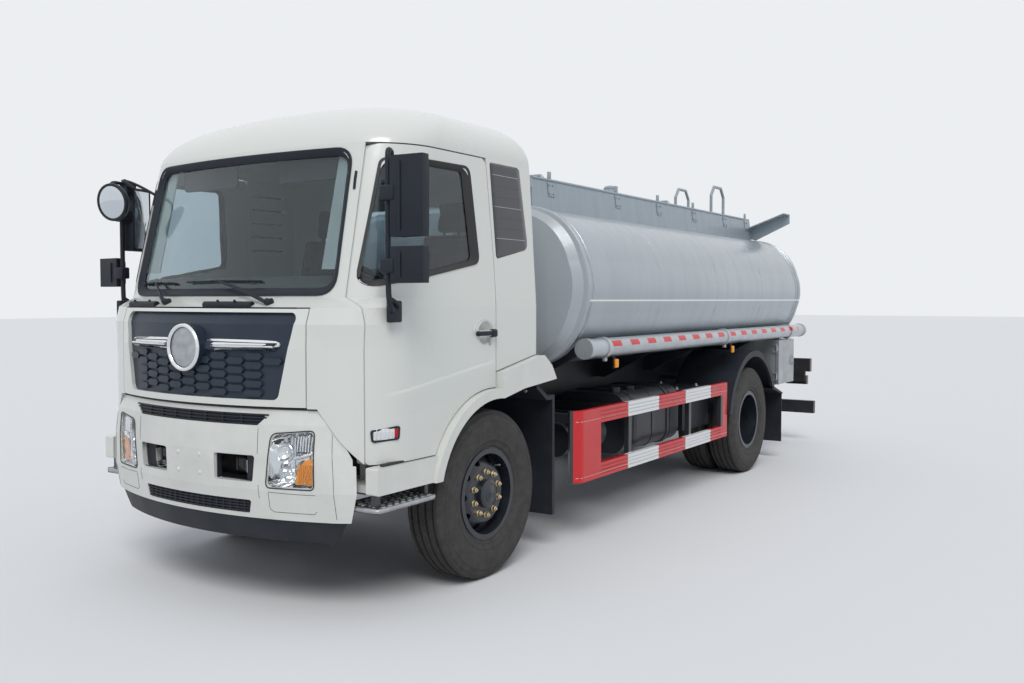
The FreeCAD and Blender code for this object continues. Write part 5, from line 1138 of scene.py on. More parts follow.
# %% Wipers
def wiper(name, pivot_x, blade_from, blade_to, blade_z):
    pivot = front_skin("cab_front", pivot_x, 1716)
    cap = spun([(0.0, 0.040), (0.012, 0.039), (0.019, 0.033), (0.021, 0.010), (0.027, 0.0), (0.0, -0.004)],
               pivot, (0, -1, 0.25), 20)
    middle_x = (blade_from + blade_to) / 2
    grip = front_skin("cab_glass", middle_x, blade_z, 0.030)
    elbow = pivot.lerp(grip, 0.25) + Vector((0, -0.030, 0.012))
    arm = tube([pivot + Vector((0, -0.030, 0)), elbow, grip + Vector((0, -0.006, 0.004)), grip], 0.0075, 3)
    spring = tube([pivot + Vector((0, -0.034, 0.004)), elbow + Vector((0, -0.004, 0))], 0.011, 3)
    places = [blade_from + (blade_to - blade_from) * i / 8 for i in range(9)]
    spine = [front_skin("cab_glass", x, blade_z + 5 - 5 * abs(x - middle_x) / 300, 0.020) for x in places]
    lip = [front_skin("cab_glass", x, blade_z + 5 - 5 * abs(x - middle_x) / 300, 0.007) for x in places]
    blade = joined([tube(spine, 0.0055, 3), tube(lip, 0.0035, 3)] + [
        block(spine[i] - Vector((0.007, 0.009, 0.006)), lip[i] + Vector((0.007, 0.001, 0.006)), 0.002, 1)
        for i in (1, 3, 5, 7)])
    settle(joined([cap, arm, spring, blade]), name, "cab", black_plastic, 50)


wiper("wiper_left", 486, -288, 330, 1838)
wiper("wiper_right", -371, -800, -430, 1832)
print("two wipers")

# %% [markdown]
# Below the glass sit two long black pods with washer jets. Each is a thick tube, smoothed until it looks like a
# soap bar, over a block with rounded edges; the slit along the top is not modelled.

# %% Cowl pods
for side, x0, x1 in (("left", 18, 388), ("right", -748, -446)):
    ends = [front_skin("cab_front", x, 1704) for x in (x0, (x0 + x1) / 2, x1)]
    body = tube([ends[0] + Vector((0, -0.010, 0)), ends[1] + Vector((0, -0.016, 0)),
                 ends[2] + Vector((0, -0.010, 0))], 0.021, 5)
    add_modifier(body, "SUBSURF", levels=1, render_levels=1)
    jets = [spun([(0.0, 0.012), (0.006, 0.011), (0.009, 0.0), (0.0, -0.002)],
                 ends[1] + Vector((dx, -0.020, 0.018)), (0, -0.3, 1), 12) for dx in (-0.07, 0.07)]
    bridge = block(ends[0] + Vector((0.02, -0.012, -0.014)), ends[2] + Vector((-0.02, 0.004, 0.012)), 0.004)
    settle(joined([body, bridge] + jets), f"cowl_pod_{side}", "cab", black_plastic, 50)
print("two cowl pods")

# %% [markdown]
# The grille carries two bright bars and a round disc with a chrome ring. The
# disc is left plain. The bars taper at their outer ends, so each starts from a
# five-cornered panel that is draped on the grille.

# %% Bright bars on the grille
for side, sign in SIDES:
    shape = rounded(metres([(sign * 142, 1458), (sign * 596, 1462), (sign * 628, 1499), (sign * 606, 1506),
                            (sign * 142, 1511)][::sign]), 0.006, 3)
    centre_line = [(p[0], 1.484) for p in shape]
    shape, centre_line = finer(shape, centre_line, step=0.06)
    bar = rim_band(shape, centre_line, in_front)
    take(bar)
    edit_all()
    bpy.ops.mesh.remove_doubles(threshold=0.0004)
    leave_edit()
    draped(bar, ["grille"], "Y", (0, -1, 0), 0.001, 0.009)
    settle(bar, f"grille_bar_{side}", "flap", chrome, 60)
print("bright bars")

# %% Round disc with its ring
boss = front_skin("grille", 9, 1474)
boss.x, boss.z = 0.0, 1.466
ring = spun([(0.112, 0.004), (0.117, 0.014), (0.124, 0.017), (0.131, 0.014), (0.135, 0.004), (0.131, 0.0),
             (0.117, 0.0)], boss, (0, -1, 0), 64, closed=True)
settle(ring, "disc_ring", "flap", chrome, 60)
disc = spun([(0.0, 0.012), (0.030, 0.0115), (0.060, 0.009), (0.088, 0.005), (0.110, 0.001), (0.110, -0.002),
             (0.0, -0.002)], boss, (0, -1, 0), 48)
settle(disc, "disc_face", "flap", galvanised, 60)
print("disc at", [round(v, 3) for v in boss])

# %% [markdown]
# The bumper's upper and lower slots are closed by black louvres. A louvre is a
# bar that keeps the bow of the bumper: its points are taken from the skin just
# beside the slot and set a little deeper.

# %% Bumper louvres
def bowed(x0, x1, z, skin_z, deep, count=13):
    """Points along the bumper's bow from x0 to x1 at height z, deep behind the skin."""
    return [Vector((x / 1000, front_skin("bumper", x, skin_z).y + deep, z / 1000))
            for x in (x0 + (x1 - x0) * i / (count - 1) for i in range(count))]


def backing(x_low, x_high, z0, z1, skin_z, deep):
    """A thin black sheet behind a slot, bowed like the bumper."""
    low = bowed(-x_low, x_low, z0, skin_z, deep)
    high = bowed(-x_high, x_high, z1, skin_z, deep)
    start_clean()
    bpy.ops.mesh.primitive_grid_add(x_subdivisions=12, y_subdivisions=1, size=1)
    sheet = bpy.context.object
    points = sorted(sheet.data.vertices, key=lambda v: (round(v.co.y, 3), v.co.x))
    for corner, place in zip(points, low + high):
        corner.co = place
    add_modifier(sheet, "SOLIDIFY", thickness=0.003, offset=0)
    return sheet


louvres = [backing(512, 572, 1048, 1116, 1028, 0.020)]
for z, half in ((1058, 520), (1076, 535), (1094, 550), (1110, 562)):
    bar = tube(bowed(-half, half, z, 1028, 0.012), 0.0048, 2)
    louvres.append(bar)
for x in (-390, -260, -130, 0, 130, 260, 390):
    low, high = bowed(x, x + 1, 1050, 1028, 0.010, 2)[0], bowed(x, x + 1, 1114, 1028, 0.016, 2)[0]
    louvres.append(block(low - Vector((0.004, 0.002, 0)), high + Vector((0.004, 0.006, 0)), 0.001, 1))
settle(joined(louvres), "bumper_louvre_upper", "chassis", black_plastic)
louvres = [backing(428, 452, 566, 642, 660, 0.022)]
for z, half in ((574, 430), (590, 436), (606, 441), (622, 446), (636, 450)):
    louvres.append(tube(bowed(-half, half, z, 660, 0.014), 0.0042, 2))
for i in range(-8, 9):
    x = i * 50
    low, high = bowed(x, x + 1, 568, 660, 0.012, 2)[0], bowed(x, x + 1, 640, 660, 0.018, 2)[0]
    louvres.append(block(low - Vector((0.003, 0.002, 0)), high + Vector((0.003, 0.006, 0)), 0.001, 1))
settle(joined(louvres), "bumper_louvre_lower", "chassis", black_plastic)
print("louvres in both slots")

# %% [markdown]
# Two square openings give a view of the tow eye and the cross beam. Each has a
# black liner: a box whose front is open and whose flange lies behind the skin.

# %% Liners in the bumper openings
for side, sign in SIDES:
    walls = []
    x0, x1, z0, z1 = 207, 486, 744, 886
    front = front_skin("bumper", sign * 346, 915).y + 0.004
    back = front + 0.030
    for low, high in (((x0, z0), (x1, z0 + 5)), ((x0, z1 - 5), (x1, z1)), ((x0, z0), (x0 + 5, z1)),
                      ((x1 - 5, z0), (x1, z1)), ((x1 - 92, z0), (x1 - 5, z1))):
        deep = 0.022 if high[0] - low[0] == 87 else 0.0
        xs = sorted((sign * low[0] / 1000, sign * high[0] / 1000))
        y_front = max(front, front_skin("bumper", sign * (high[0] + 30), 915).y + 0.004) + deep
        walls.append(block((xs[0], y_front, low[1] / 1000), (xs[1], back if not deep else y_front + 0.004,
                                                           high[1] / 1000), 0.0015, 1))
    settle(joined(walls), f"bumper_liner_{side}", "chassis", black_plastic)
print("liners in the openings")

# %% [markdown]
# The bumper is pressed in several pieces. Fine dark lines, laid on its skin,
# show where they meet. Four domed bolt heads sit on the number plate's holes.

# %% Seams and plate caps on the bumper
SEAM_LINES = (
    ((506, 1040), (506, 900)),
    ((506, 728), (506, 655)),
    ((568, 694), (700, 690), (838, 690)),
    ((566, 690), (566, 600), (590, 584), (820, 584), (838, 600)),
    ((905, 1070), (925, 1010), (936, 760), (936, 560)),
)
SEAM_STEPS = 6
SEAM_RADIUS = 0.0013
seams = []
for sign in (1, -1):
    for line in SEAM_LINES:
        fine_line = []
        for a, b in zip(line[:-1], line[1:]):
            fine_line += [Vector(a).lerp(Vector(b), n / SEAM_STEPS) for n in range(SEAM_STEPS)]
        fine_line.append(Vector(line[-1]))
        hits = [skin("bumper", at(sign * p[0], -1700, p[1]), (0, 1, 0)) for p in fine_line]
        laid_line = [hit for hit in hits if hit]
        if len(laid_line) > 1:
            seams.append(tube(laid_line, SEAM_RADIUS, 1, smooth=False))
settle(joined(seams), "bumper_seams", "chassis", gap_black)
caps = [spun([(0.0, 0.006), (0.008, 0.005), (0.012, 0.002), (0.013, 0.0), (0.0, -0.001)],
             front_skin("bumper", x + 16, z) - Vector((0.016, 0, 0)), (0, -1, 0), 20)
        for x in (-92, 92) for z in (765, 868)]
settle(joined(caps), "plate_caps", "chassis", cab_paint)
print("bumper seams", len(seams), "and plate caps", len(caps))

# %% [markdown]
# Under the flap a dark rubber lip closes the joint between the bumper and the cab. It follows the bumper's top
# edge, which is found by halving a height range until a ray from the front just meets the skin.

# %% Rubber lip on the bumper's top edge
HALVINGS = 12


def top_edge(start_of, direction, low, high):
    """The highest place of the bumper that a ray from start_of(height) meets."""
    for _ in range(HALVINGS):
        middle = (low + high) / 2
        low, high = (middle, high) if skin("bumper", start_of(middle), direction) else (low, middle)
    return skin("bumper", start_of(low), direction)


lips = []
for sign in (1, -1):
    edge = [top_edge(lambda z: at(x, -1700, z), (0, 1, 0), 1118, 1330)
            for x in range(0, 1060 * sign, 40 * sign)]
    edge = [place for place in edge if place]
    if len(edge) > 3:
        lips.append(tube(edge, 0.0055, 2))
        print("lip from", tuple(round(v, 3) for v in edge[0]), "to", tuple(round(v, 3) for v in edge[-1]))
settle(joined(lips), "bumper_top_lip", "chassis", rubber)

# %% [markdown]
# ## Lamps
# A headlamp is a deep box: a clear curved lens, a chromed housing behind it, two
# round reflectors with bulbs, and an amber corner for the turn signal. The
# solid lamp gives the outline: a copy of it is opened, its front is kept as the
# thin lens, and the rest becomes the bright housing.

# %% Headlamp lens and housing
def half_copy(keep):
    """A copy of the headlamp solid with only the faces whose normal passes the test."""
    take(nodes["headlamps"])
    bpy.ops.object.duplicate(linked=False)
    twin = bpy.context.object
    twin.parent = None
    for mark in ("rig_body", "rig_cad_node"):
        if mark in twin:
            del twin[mark]
    edit_all()
    bpy.ops.mesh.remove_doubles(threshold=0.0001)
    select_where(twin, "FACE", lambda middle, face: not keep(face.normal))
    bpy.ops.mesh.delete(type="FACE")
    leave_edit()
    return twin


lens = half_copy(lambda normal: normal.y < -0.35)
add_modifier(lens, "SOLIDIFY", thickness=0.0035, offset=-1.0)
settle(lens, "headlamp_lens", "chassis", lamp_glass, 50)
housing = half_copy(lambda normal: normal.y >= -0.35)
add_modifier(housing, "SOLIDIFY", thickness=0.003, offset=-1.0)
settle(housing, "headlamp_housing", "chassis", chrome, 40)
print("lens", len(lens.data.polygons), "faces; housing", len(housing.data.polygons))

# %% Reflectors, bulbs and the amber corner
for side, sign in SIDES:
    parts = []

    def inside(x, z, deep):
        return front_skin("headlamps", sign * x, z, -deep)

    for x, z, radius in ((640, 905, 0.058), (662, 786, 0.046)):
        mouth = inside(x, z, 0.030)
        bowl = spun([(radius, 0.0), (radius + 0.003, -0.003), (radius * 0.90, -0.022), (radius * 0.62, -0.042),
                     (radius * 0.30, -0.050), (0.0, -0.052)], mouth, (0, -1, 0), 28)
        add_modifier(bowl, "SOLIDIFY", thickness=0.002, offset=0)
        parts += [bowl, spun([(0.0, -0.010), (0.008, -0.012), (0.011, -0.020), (0.011, -0.045), (0.0, -0.050)],
                             mouth, (0, -1, 0), 14)]
    for i in range(6):
        high, low = inside(726 + 15 * i, 1000, 0.020), inside(722 + 15 * i, 918, 0.020)
        parts.append(tube([low, low.lerp(high, 0.5) + Vector((0, -0.003, 0)), high], 0.0055, 3))
    low, high = inside(706, 880, 0.018), inside(812, 912, 0.014)
    parts.append(tube([low, low.lerp(high, 0.5) + Vector((0, -0.002, -0.006)), high], 0.010, 4))
    low, high = inside(702, 748, 0.022), inside(706, 990, 0.022)
    parts.append(tube([low, low.lerp(high, 0.5), high], 0.006, 3))
    settle(joined(parts), f"headlamp_reflectors_{side}", "chassis", chrome, 60)
    shape = rounded([(0.708, 0.738), (0.816, 0.738), (0.816, 0.884), (0.768, 0.874), (0.722, 0.822)],
                    [0.010, 0.014, 0.006, 0.030, 0.040], 4)
    amber = panel([inside(1000 * p[0], 1000 * p[1], 0.016) for p in shape], (0, 0.006, 0), 0.002)
    bars = [tube([inside(x, 748, 0.012), inside(x, 846, 0.012)], 0.003, 2) for x in range(734, 812, 12)]
    settle(joined([amber] + bars), f"headlamp_amber_{side}", "chassis", amber_lens, 50)
print("reflectors and amber corners")

# %% [markdown]
# A thin black gasket fills the slit between lamp and bumper.

# %% Headlamp gaskets
for side, sign in SIDES:
    corners = [(556, 722), (828, 722), (828, 1030), (590, 1006)]
    wider = [(552, 717), (833, 717), (833, 1036), (587, 1012)]
    line = rounded(metres([(sign * x, z) for x, z in corners][::sign]),
                   [0.024, 0.024, 0.024, 0.044][::sign], 5)
    out = rounded(metres([(sign * x, z) for x, z in wider][::sign]), [0.027, 0.027, 0.027, 0.047][::sign], 5)
    out, line = finer(out, line, step=0.03)
    path = [front_skin("bumper headlamps", p[0] * 1000, p[1] * 1000, 0.001) for p in out]
    gasket = tube(path + path[:1], 0.0035, 2, smooth=False)
    settle(gasket, f"headlamp_gasket_{side}", "chassis", rubber, 60)
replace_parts(lens, "headlamps")
print("gaskets")
# %% [markdown]
# ## Doors and mirrors
# A side window sits in a black seal that covers the step from the door's skin
# down to the glass. The band has three outlines: one out on the paint, one just
# beside the opening and one on the glass, so that it can follow the step. The
# seal of the windscreen is made in the same way.

# %% Window seals
def beside(sign):
    """A lift for the side of the cab: (drawing y, z) in metres, far outside the skin."""
    return lambda p: Vector((sign * 1.6, p[0] - 2.776, p[1]))


def frame_window(sign):
    side = "left" if sign > 0 else "right"
    opening = [(-1.008, 1.806), (-0.128, 1.962), (-0.178, 2.520), (-0.812, 2.512)]
    inner = [(-0.988, 1.826), (-0.176, 1.972), (-0.226, 2.498), (-0.800, 2.492)]
    seal = step_seal(opening, inner, 0.05, 0.012, beside(sign),
                     [f"door_{side}", f"door_glass_{side}"], "X", (sign, 0, 0), 0.004)
    settle(seal, f"window_seal_{side}", f"door_{side}", rubber, 50)


frame_window(1)
frame_window(-1)
print("window seals on both doors")

# %% [markdown]
# Behind the door a black panel fills the corner of the cab. It is a flat sheet
# laid in its recess, with fine ribs across, every second one with a pale edge.

# %% Louvred corner panels
def laid(rows, place):
    """A sheet through rows of points, each put on the skin by place(point, proud)."""
    start_clean()
    bpy.ops.mesh.primitive_grid_add(x_subdivisions=len(rows[0][0]) - 1, y_subdivisions=len(rows) - 1, size=1)
    sheet = bpy.context.object
    order = sorted(sheet.data.vertices, key=lambda v: (round(v.co.y, 4), v.co.x))
    spots = [place(point, proud) for line, proud in rows for point in line]
    for corner, spot in zip(order, spots):
        corner.co = spot
    return sheet


def quarter_edge(z):
    """Front and rear of the corner panel at drawing height z."""
    return 70 - (z - 1985) * 0.03, 450 - (z - 2060) * 0.1105


def recess_x(sign, z):
    """How far out the floor of the recess is at height z, between its slits."""
    side = "left" if sign > 0 else "right"
    found = [skin(f"cab_side_{side}", at(sign * 1700, y, z + dz), (-sign, 0, 0))
             for y in (130, 250) for dz in (-30, -18, 0, 18, 30)]
    return sorted(abs(hit.x) for hit in found if hit)[-2]


for side, sign in SIDES:
    heights = [1992, 2030, 2066, 2110, 2180, 2250, 2320, 2390, 2460, 2520, 2560, 2578]
    floor_x = {z: recess_x(sign, min(max(z, 2030), 2540)) for z in heights}
    lean = (floor_x[2520] - floor_x[2110]) / (2520 - 2110)
    rows = []
    for z in heights:
        y0, y1 = quarter_edge(z)
        y1 = min(y1, 74 + (z - 1985) * 4.93) - 5
        rows.append(([(y0 + 4 + (y1 - y0 - 4) * i / 8, z) for i in range(9)], 0))
    sheet = laid(rows[::sign], lambda p, proud: at(
        sign * 1000 * (floor_x[2110] + lean * (p[1] - 2110) + 0.0012), p[0], p[1]))
    add_modifier(sheet, "SOLIDIFY", thickness=0.006, offset=1.0)
    add_modifier(sheet, "BEVEL", width=0.0015, segments=2, limit_method="ANGLE", angle_limit=radians(50))
    ribs, pales = [], []
    for i in range(7):
        z = 2512 - 66 * i
        y0, y1 = quarter_edge(z)
        out = 1000 * (floor_x[2110] + lean * (z - 2110) + 0.0065)
        low, high = at(out * sign, y0 + 22, z - 2), at((out + 3) * sign, y1 - 30, z + 2)
        xs = sorted((low.x, high.x))
        (pales if i in (0, 3, 6) else ribs).append(
            block((xs[0], low.y, low.z), (xs[1], high.y, high.z), 0.0008, 1))
    settle(joined([sheet] + ribs), f"corner_panel_{side}", "cab", gloss_black)
    settle(joined(pales), f"corner_panel_lines_{side}", "cab", galvanised)
print("recess floor at", {z: round(x, 4) for z, x in floor_x.items()})
print("corner panels")

# %% [markdown]
# The door handle is a thick black bar with a thumb piece at its rear end, over a
# shallow cup. The key barrel sits below it. Lower down a pressed crease runs
# from the wing to the front of the door: a sheet laid on the door's skin, proud
# along its shoulder and flush at its edges.

# %% Handle, key barrel and crease
def door_trim(sign):
    side = "left" if sign > 0 else "right"
    xs = sorted((sign * 1.151, sign * 1.182))
    bar = block((xs[0], at(0, -182, 0).y, 1.512), (xs[1], at(0, 14, 0).y, 1.545), 0.013, 4)
    xs = sorted((sign * 1.151, sign * 1.187))
    thumb = block((xs[0], at(0, -44, 0).y, 1.503), (xs[1], at(0, 16, 0).y, 1.553), 0.014, 4)
    settle(joined([bar, thumb]), f"handle_cover_{side}", f"door_{side}", black_plastic)
    cup = [side_skin(f"door_{side}", -92 + 96 * cos(a), 1548 + 66 * sin(a), 0.0, sign)
           for a in [2 * pi * i / 40 for i in range(41)]]
    settle(tube(cup, 0.0028, 3), f"handle_cup_{side}", f"door_{side}", cab_paint, 60)
    barrel = spun([(0.0, 0.006), (0.006, 0.006), (0.0075, 0.004), (0.013, 0.004), (0.014, 0.0), (0.0, -0.001)],
                  side_skin(f"door_{side}", -25, 1466, 0.0, sign), (sign, 0, 0), 20)
    settle(barrel, f"key_barrel_{side}", f"door_{side}", galvanised)
    ys = [-1010 + i * (1030 / 20) for i in range(21)]
    ramp = [((y + 1010) / 1030) for y in ys]
    rows = [([(y, 1222 + 140 * r - drop) for y, r in zip(ys, ramp)], proud)
            for drop, proud in ((0, 0.0003), (10, 0.0055), (20, 0.0062), (70, 0.0035), (150, 0.0003))]

    def eased(p, proud):
        fade = min(1.0, (p[0] + 1010) / 160, (20 - p[0]) / 60)
        return side_skin(f"door_{side}", p[0], p[1], 0.0003 + (proud - 0.0003) * max(0.0, fade), sign)

    crease = laid(rows[::sign], eased)
    settle(crease, f"door_crease_{side}", f"door_{side}", cab_paint, 50)


door_trim(1)
door_trim(-1)
print("handles, barrels and creases")

# %% [markdown]
# A marker lamp with a chromed bowl and a red corner sits low on each door. Under
# the door a dark sill strip closes the gap above the step. It rides on the
# cab, so the opening door leaves it behind.

# %% Door lamps and sill strips
for side, sign in SIDES:
    shape = [(-1.034, 0.968), (-0.885, 0.976), (-0.878, 1.052), (-1.040, 1.036)]
    inner = grown(shape, -0.010)
    bezel = rim_band(rounded(shape, 0.018, 5), rounded(inner, 0.010, 5), beside(sign))
    draped(bezel, [f"door_{side}"], "X", (sign, 0, 0), 0.0004, 0.007)
    settle(bezel, f"door_lamp_bezel_{side}", f"door_{side}", black_plastic)
    for part, box_of, material in (("clear", (-1.026, -0.916), chrome), ("red", (-0.914, -0.888), red_lens)):
        sheet = laid([([(y * 1000, z) for y in (box_of[0], (box_of[0] + box_of[1]) / 2, box_of[1])], proud)
                      for z, proud in ((982, 0.001), (1000, 0.004), (1030, 0.004), (1042, 0.001))][::sign],
                     lambda p, proud: side_skin(f"door_{side}", p[0], p[1], proud, sign))
        add_modifier(sheet, "SOLIDIFY", thickness=0.002, offset=1.0)
        ribs = [tube([side_skin(f"door_{side}", y, z, 0.006, sign) for z in (984, 1012, 1040)], 0.003, 2)
                for y in range(int(box_of[0] * 1000) + 14, int(box_of[1] * 1000) - 4, 22)]
        sheet = joined([sheet] + ribs)
        settle(sheet, f"door_lamp_{part}_{side}", f"door_{side}", material, 40)
    xs = sorted((sign * 1.120, sign * 1.146))
    strip = block((xs[0], at(0, -1020, 0).y, 0.842), (xs[1], at(0, -640, 0).y, 0.858), 0.003, 2)
    settle(strip, f"sill_strip_{side}", "cab", rubber)
    low, high = front_skin("cab_front", sign * 866, 2340), front_skin("cab_front", sign * 862, 2440)
    clip = tube([low, low.lerp(high, 0.5) + Vector((0, -0.004, 0)), high], 0.008, 3)
    settle(clip, f"pillar_clip_{side}", "cab", black_plastic)
print("lamps and sill strips")

# %% [markdown]
# Each mirror arm is one bent tube on two door brackets. The housings are soft
# boxes: an outline of four rounded corners, pushed up to its height and rounded
# all round. Their glass lies in the rear face. The right door also carries a
# round mirror that lets the driver see the ground in front of the cab.

# %% Mirror housings and arms
def mirror_box(x, y, along, z0, z1, sign, width=0.236, deep=0.078):
    """Housing and rear glass; along is the direction away from the arm."""
    dx, dy = along

    def spot(u, v, z):
        return Vector((sign * (x + dx * u - dy * v * deep), y + dy * u + dx * v * deep, z))

    plan = rounded([(0.030, -0.36), (width, -0.30), (width, 0.42), (0.050, 0.64)],
                   [0.02, 0.02, 0.03, 0.02], 5)
    housing = panel([spot(u, v, z0) for u, v in plan], (0, 0, z1 - z0), 0.016)
    add_modifier(housing, "BEVEL", width=0.003, segments=1, limit_method="ANGLE", angle_limit=radians(50))
    crest = [tube([spot(0.095, -0.375, z0 + 0.03), spot(0.095, -0.40, (z0 + z1) / 2),
                   spot(0.095, -0.375, z1 - 0.03)], 0.006, 3)]
    frame_of = [(0.060, z0 + 0.018), (width - 0.008, z0 + 0.018), (width - 0.008, z1 - 0.018),
                (0.060, z1 - 0.018)]
    pane = panel([spot(u, 0.64 - (u - 0.05) / (width - 0.05) * 0.22 + 0.01, z)
                  for u, z in rounded(frame_of, 0.016, 4)], Vector(spot(0, 0.03, 0)) - spot(0, 0, 0), 0.0006)
    rim = rounded(grown(frame_of, 0.004), 0.018, 4)
    lip = tube([spot(u, 0.64 - (u - 0.05) / (width - 0.05) * 0.22 + 0.02, z) for u, z in rim + rim[:1]],
               0.004, 2, smooth=False)
    return [housing, lip] + crest, pane


def make_mirror(sign):
    side = "left" if sign > 0 else "right"
    x, y = 1.190, at(0, -1024 if sign > 0 else -935, 0).y
    tall_along = (1.0, 0.06) if sign > 0 else (0.24, 0.97)
    shells, panes = [], []
    for along, z0, z1 in ((tall_along, 2.06, 2.48), ((1.0, 0.06), 1.82, 2.01)):
        made, pane = mirror_box(x, y, along, z0, z1, sign)
        shells += made
        panes.append(pane)
    top, foot = at(1120, -905, 2470), at(1150, -945, 1660)
    path = [(top.x - 0.03, top.y, top.z), (top.x + 0.03, top.y - 0.03, 2.505), (x - 0.01, y + 0.02, 2.525),
            (x, y, 2.49), (x, y, 2.30), (x, y, 1.95), (x, y, 1.76), (x + 0.004, y + 0.01, 1.70),
            (x - 0.01, y + 0.045, 1.672), (foot.x - 0.01, foot.y, 1.66)]
    shells.append(tube([(sign * p[0], p[1], p[2]) for p in path], 0.015, 4))
    stay = [(x, y, 1.745), (x + 0.012, y + 0.06, 1.716), (x - 0.012, y + 0.10, 1.690),
            (1.150, y + 0.06, 1.650)]
    shells.append(tube([(sign * p[0], p[1], p[2]) for p in stay], 0.012, 3))
    for low, high, soft in (((1.140, top.y - 0.030, 2.436), (1.172, top.y + 0.030, 2.502), 0.008),
                            ((1.146, foot.y - 0.050, 1.612), (1.184, foot.y + 0.045, 1.728), 0.010),
                            ((x - 0.034, y - 0.034, 2.250), (x + 0.060, y + 0.030, 2.330), 0.010),
                            ((x - 0.034, y - 0.034, 1.872), (x + 0.056, y + 0.030, 1.948), 0.010)):
        if sign < 0 and abs(low[2] - 2.25) < 0.001:
            high = (x + 0.034, y + 0.060, 2.330)
        xs = sorted((sign * low[0], sign * high[0]))
        shells.append(block((xs[0], low[1], low[2]), (xs[1], high[1], high[2]), soft, 3))
    if sign < 0:
        middle = Vector((-1.008, at(0, -1132, 0).y, 2.353))
        facing = Vector((0.012, -0.058, -0.008)).normalized()
        shells.append(spun([(0.100, 0.004), (0.112, 0.008), (0.119, 0.004), (0.121, -0.008), (0.114, -0.030),
                            (0.085, -0.052), (0.040, -0.064), (0.0, -0.066)], middle, facing, 40))
        shells.append(tube([(-x, y + 0.006, 2.500), (-x + 0.05, y - 0.09, 2.505),
                            (-1.10, at(0, -1085, 0).y, 2.47),
                            (-1.02, at(0, -1082, 0).y, 2.38)], 0.011, 3))
        pillar = [skin("door_right", at(-1700, along, 2420), (1, 0, 0)) for along in range(-1060, -700, 12)]
        foot = [place for place in pillar if place][1]
        shells.append(tube([(-x, y + 0.006, 2.520), (-x + 0.05, y + 0.02, 2.530), foot], 0.009, 3))
        dome = spun([(0.106, 0.002), (0.098, 0.007), (0.080, 0.015), (0.055, 0.022), (0.028, 0.026),
                     (0.0, 0.0275)], middle, facing, 40)
        settle(dome, "round_mirror_glass", "door_right", mirror_glass, 70)
    whole = settle(joined(shells), f"mirror_arm_{side}", f"door_{side}", black_plastic, 40)
    settle(joined(panes), f"mirror_panes_{side}", f"door_{side}", mirror_glass, 40)
    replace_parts(whole, f"mirror_{side}")


make_mirror(1)
make_mirror(-1)
print("mirrors on both doors")

# %% [markdown]
# Each cab step is an open tread plate with raised oval grips and a rolled edge.

# %% Step treads and roof lamp
grip = spun([(0.0, 0.006), (0.006, 0.0055), (0.010, 0.003), (0.012, 0.0), (0.0, -0.0005)],
            (0, 0, 0), (0, 0, 1), 10)
grip.data.transform(Matrix.Diagonal((1.0, 1.9, 1.0, 1.0)))
for side, sign in SIDES:
    grips = [copied(grip, (sign * (0.955 + 0.040 * i), at(0, -1050 + 56 * j + 14 * (i % 2), 0).y, 0.632))
             for i in range(6) for j in range(8)]
    rim = [(0.978 if i in (0, 3) else 1.163, 0, 0) for i in range(4)]
    edge = tube([at(sign * 985, -1092, 618), at(sign * 1150, -1092, 618), at(sign * 1167, -1070, 618),
                 at(sign * 1167, -840, 618), at(sign * 1167, -618, 618), at(sign * 1150, -598, 618),
                 at(sign * 985, -598, 618)], 0.014, 4)
    settle(joined(grips + [edge]), f"step_grips_{side}", "cab", galvanised)
bpy.data.objects.remove(grip)
dome = spun([(0.055, 0.0), (0.055, 0.016), (0.049, 0.020), (0.048, 0.060), (0.043, 0.082), (0.030, 0.098),
             (0.014, 0.105), (0.0, 0.106)], at(0, 210, 2892), (0, 0, 1), 32)
settle(dome, "roof_lamp_dome", "cab", smoke_lens, 40)
print("treads and roof lamp")
# %% [markdown]
# ## The tank
# The barrel is rolled from sheets, so it shows weld beads where they meet and a
# raised bead on each end. A bead follows the real outline: rays are shot at the
# tank from all round, and a thin tube runs through the places that they hit.

# %% Weld beads
def loop_round(name, centre, y, proud, count=72):
    """Places all round a part, in the plane across Y at drawing y."""
    places = []
    for i in range(count):
        out = Vector((cos(2 * pi * i / count), 0, sin(2 * pi * i / count)))
        middle = at(centre[0], y, centre[1])
        places.append(skin(name, middle + out * 2.5, -out) + out * proud)
    return places


def bead(name, y, radius, proud):
    path = loop_round("tank", (0, 1825), y, proud, 96)
    ring = tube(path + path[:1], radius, 3, smooth=False)
    return settle(ring, name, "chassis", tank_paint, 60)


bead("rim_bead_front", 1216, 0.011, -0.002)
bead("rim_bead_front_inner", 1122, 0.009, -0.001)
bead("rim_bead_rear", 6036, 0.011, -0.002)
for number, y in enumerate((2395, 3640, 4885)):
    bead(f"weld_bead_{number}", y, 0.0028, -0.0006)
print("beads on the tank:", round(loop_round("tank", (0, 1825), 3000, 0, 4)[0].x, 3))

# %% [markdown]
# A long pressed seam runs low on each side, where the lower sheet laps over the upper one. Below it, saddle
# brackets with two bolts each hold the barrel; this cell adds the seam and two amber side markers on small black
# brackets.

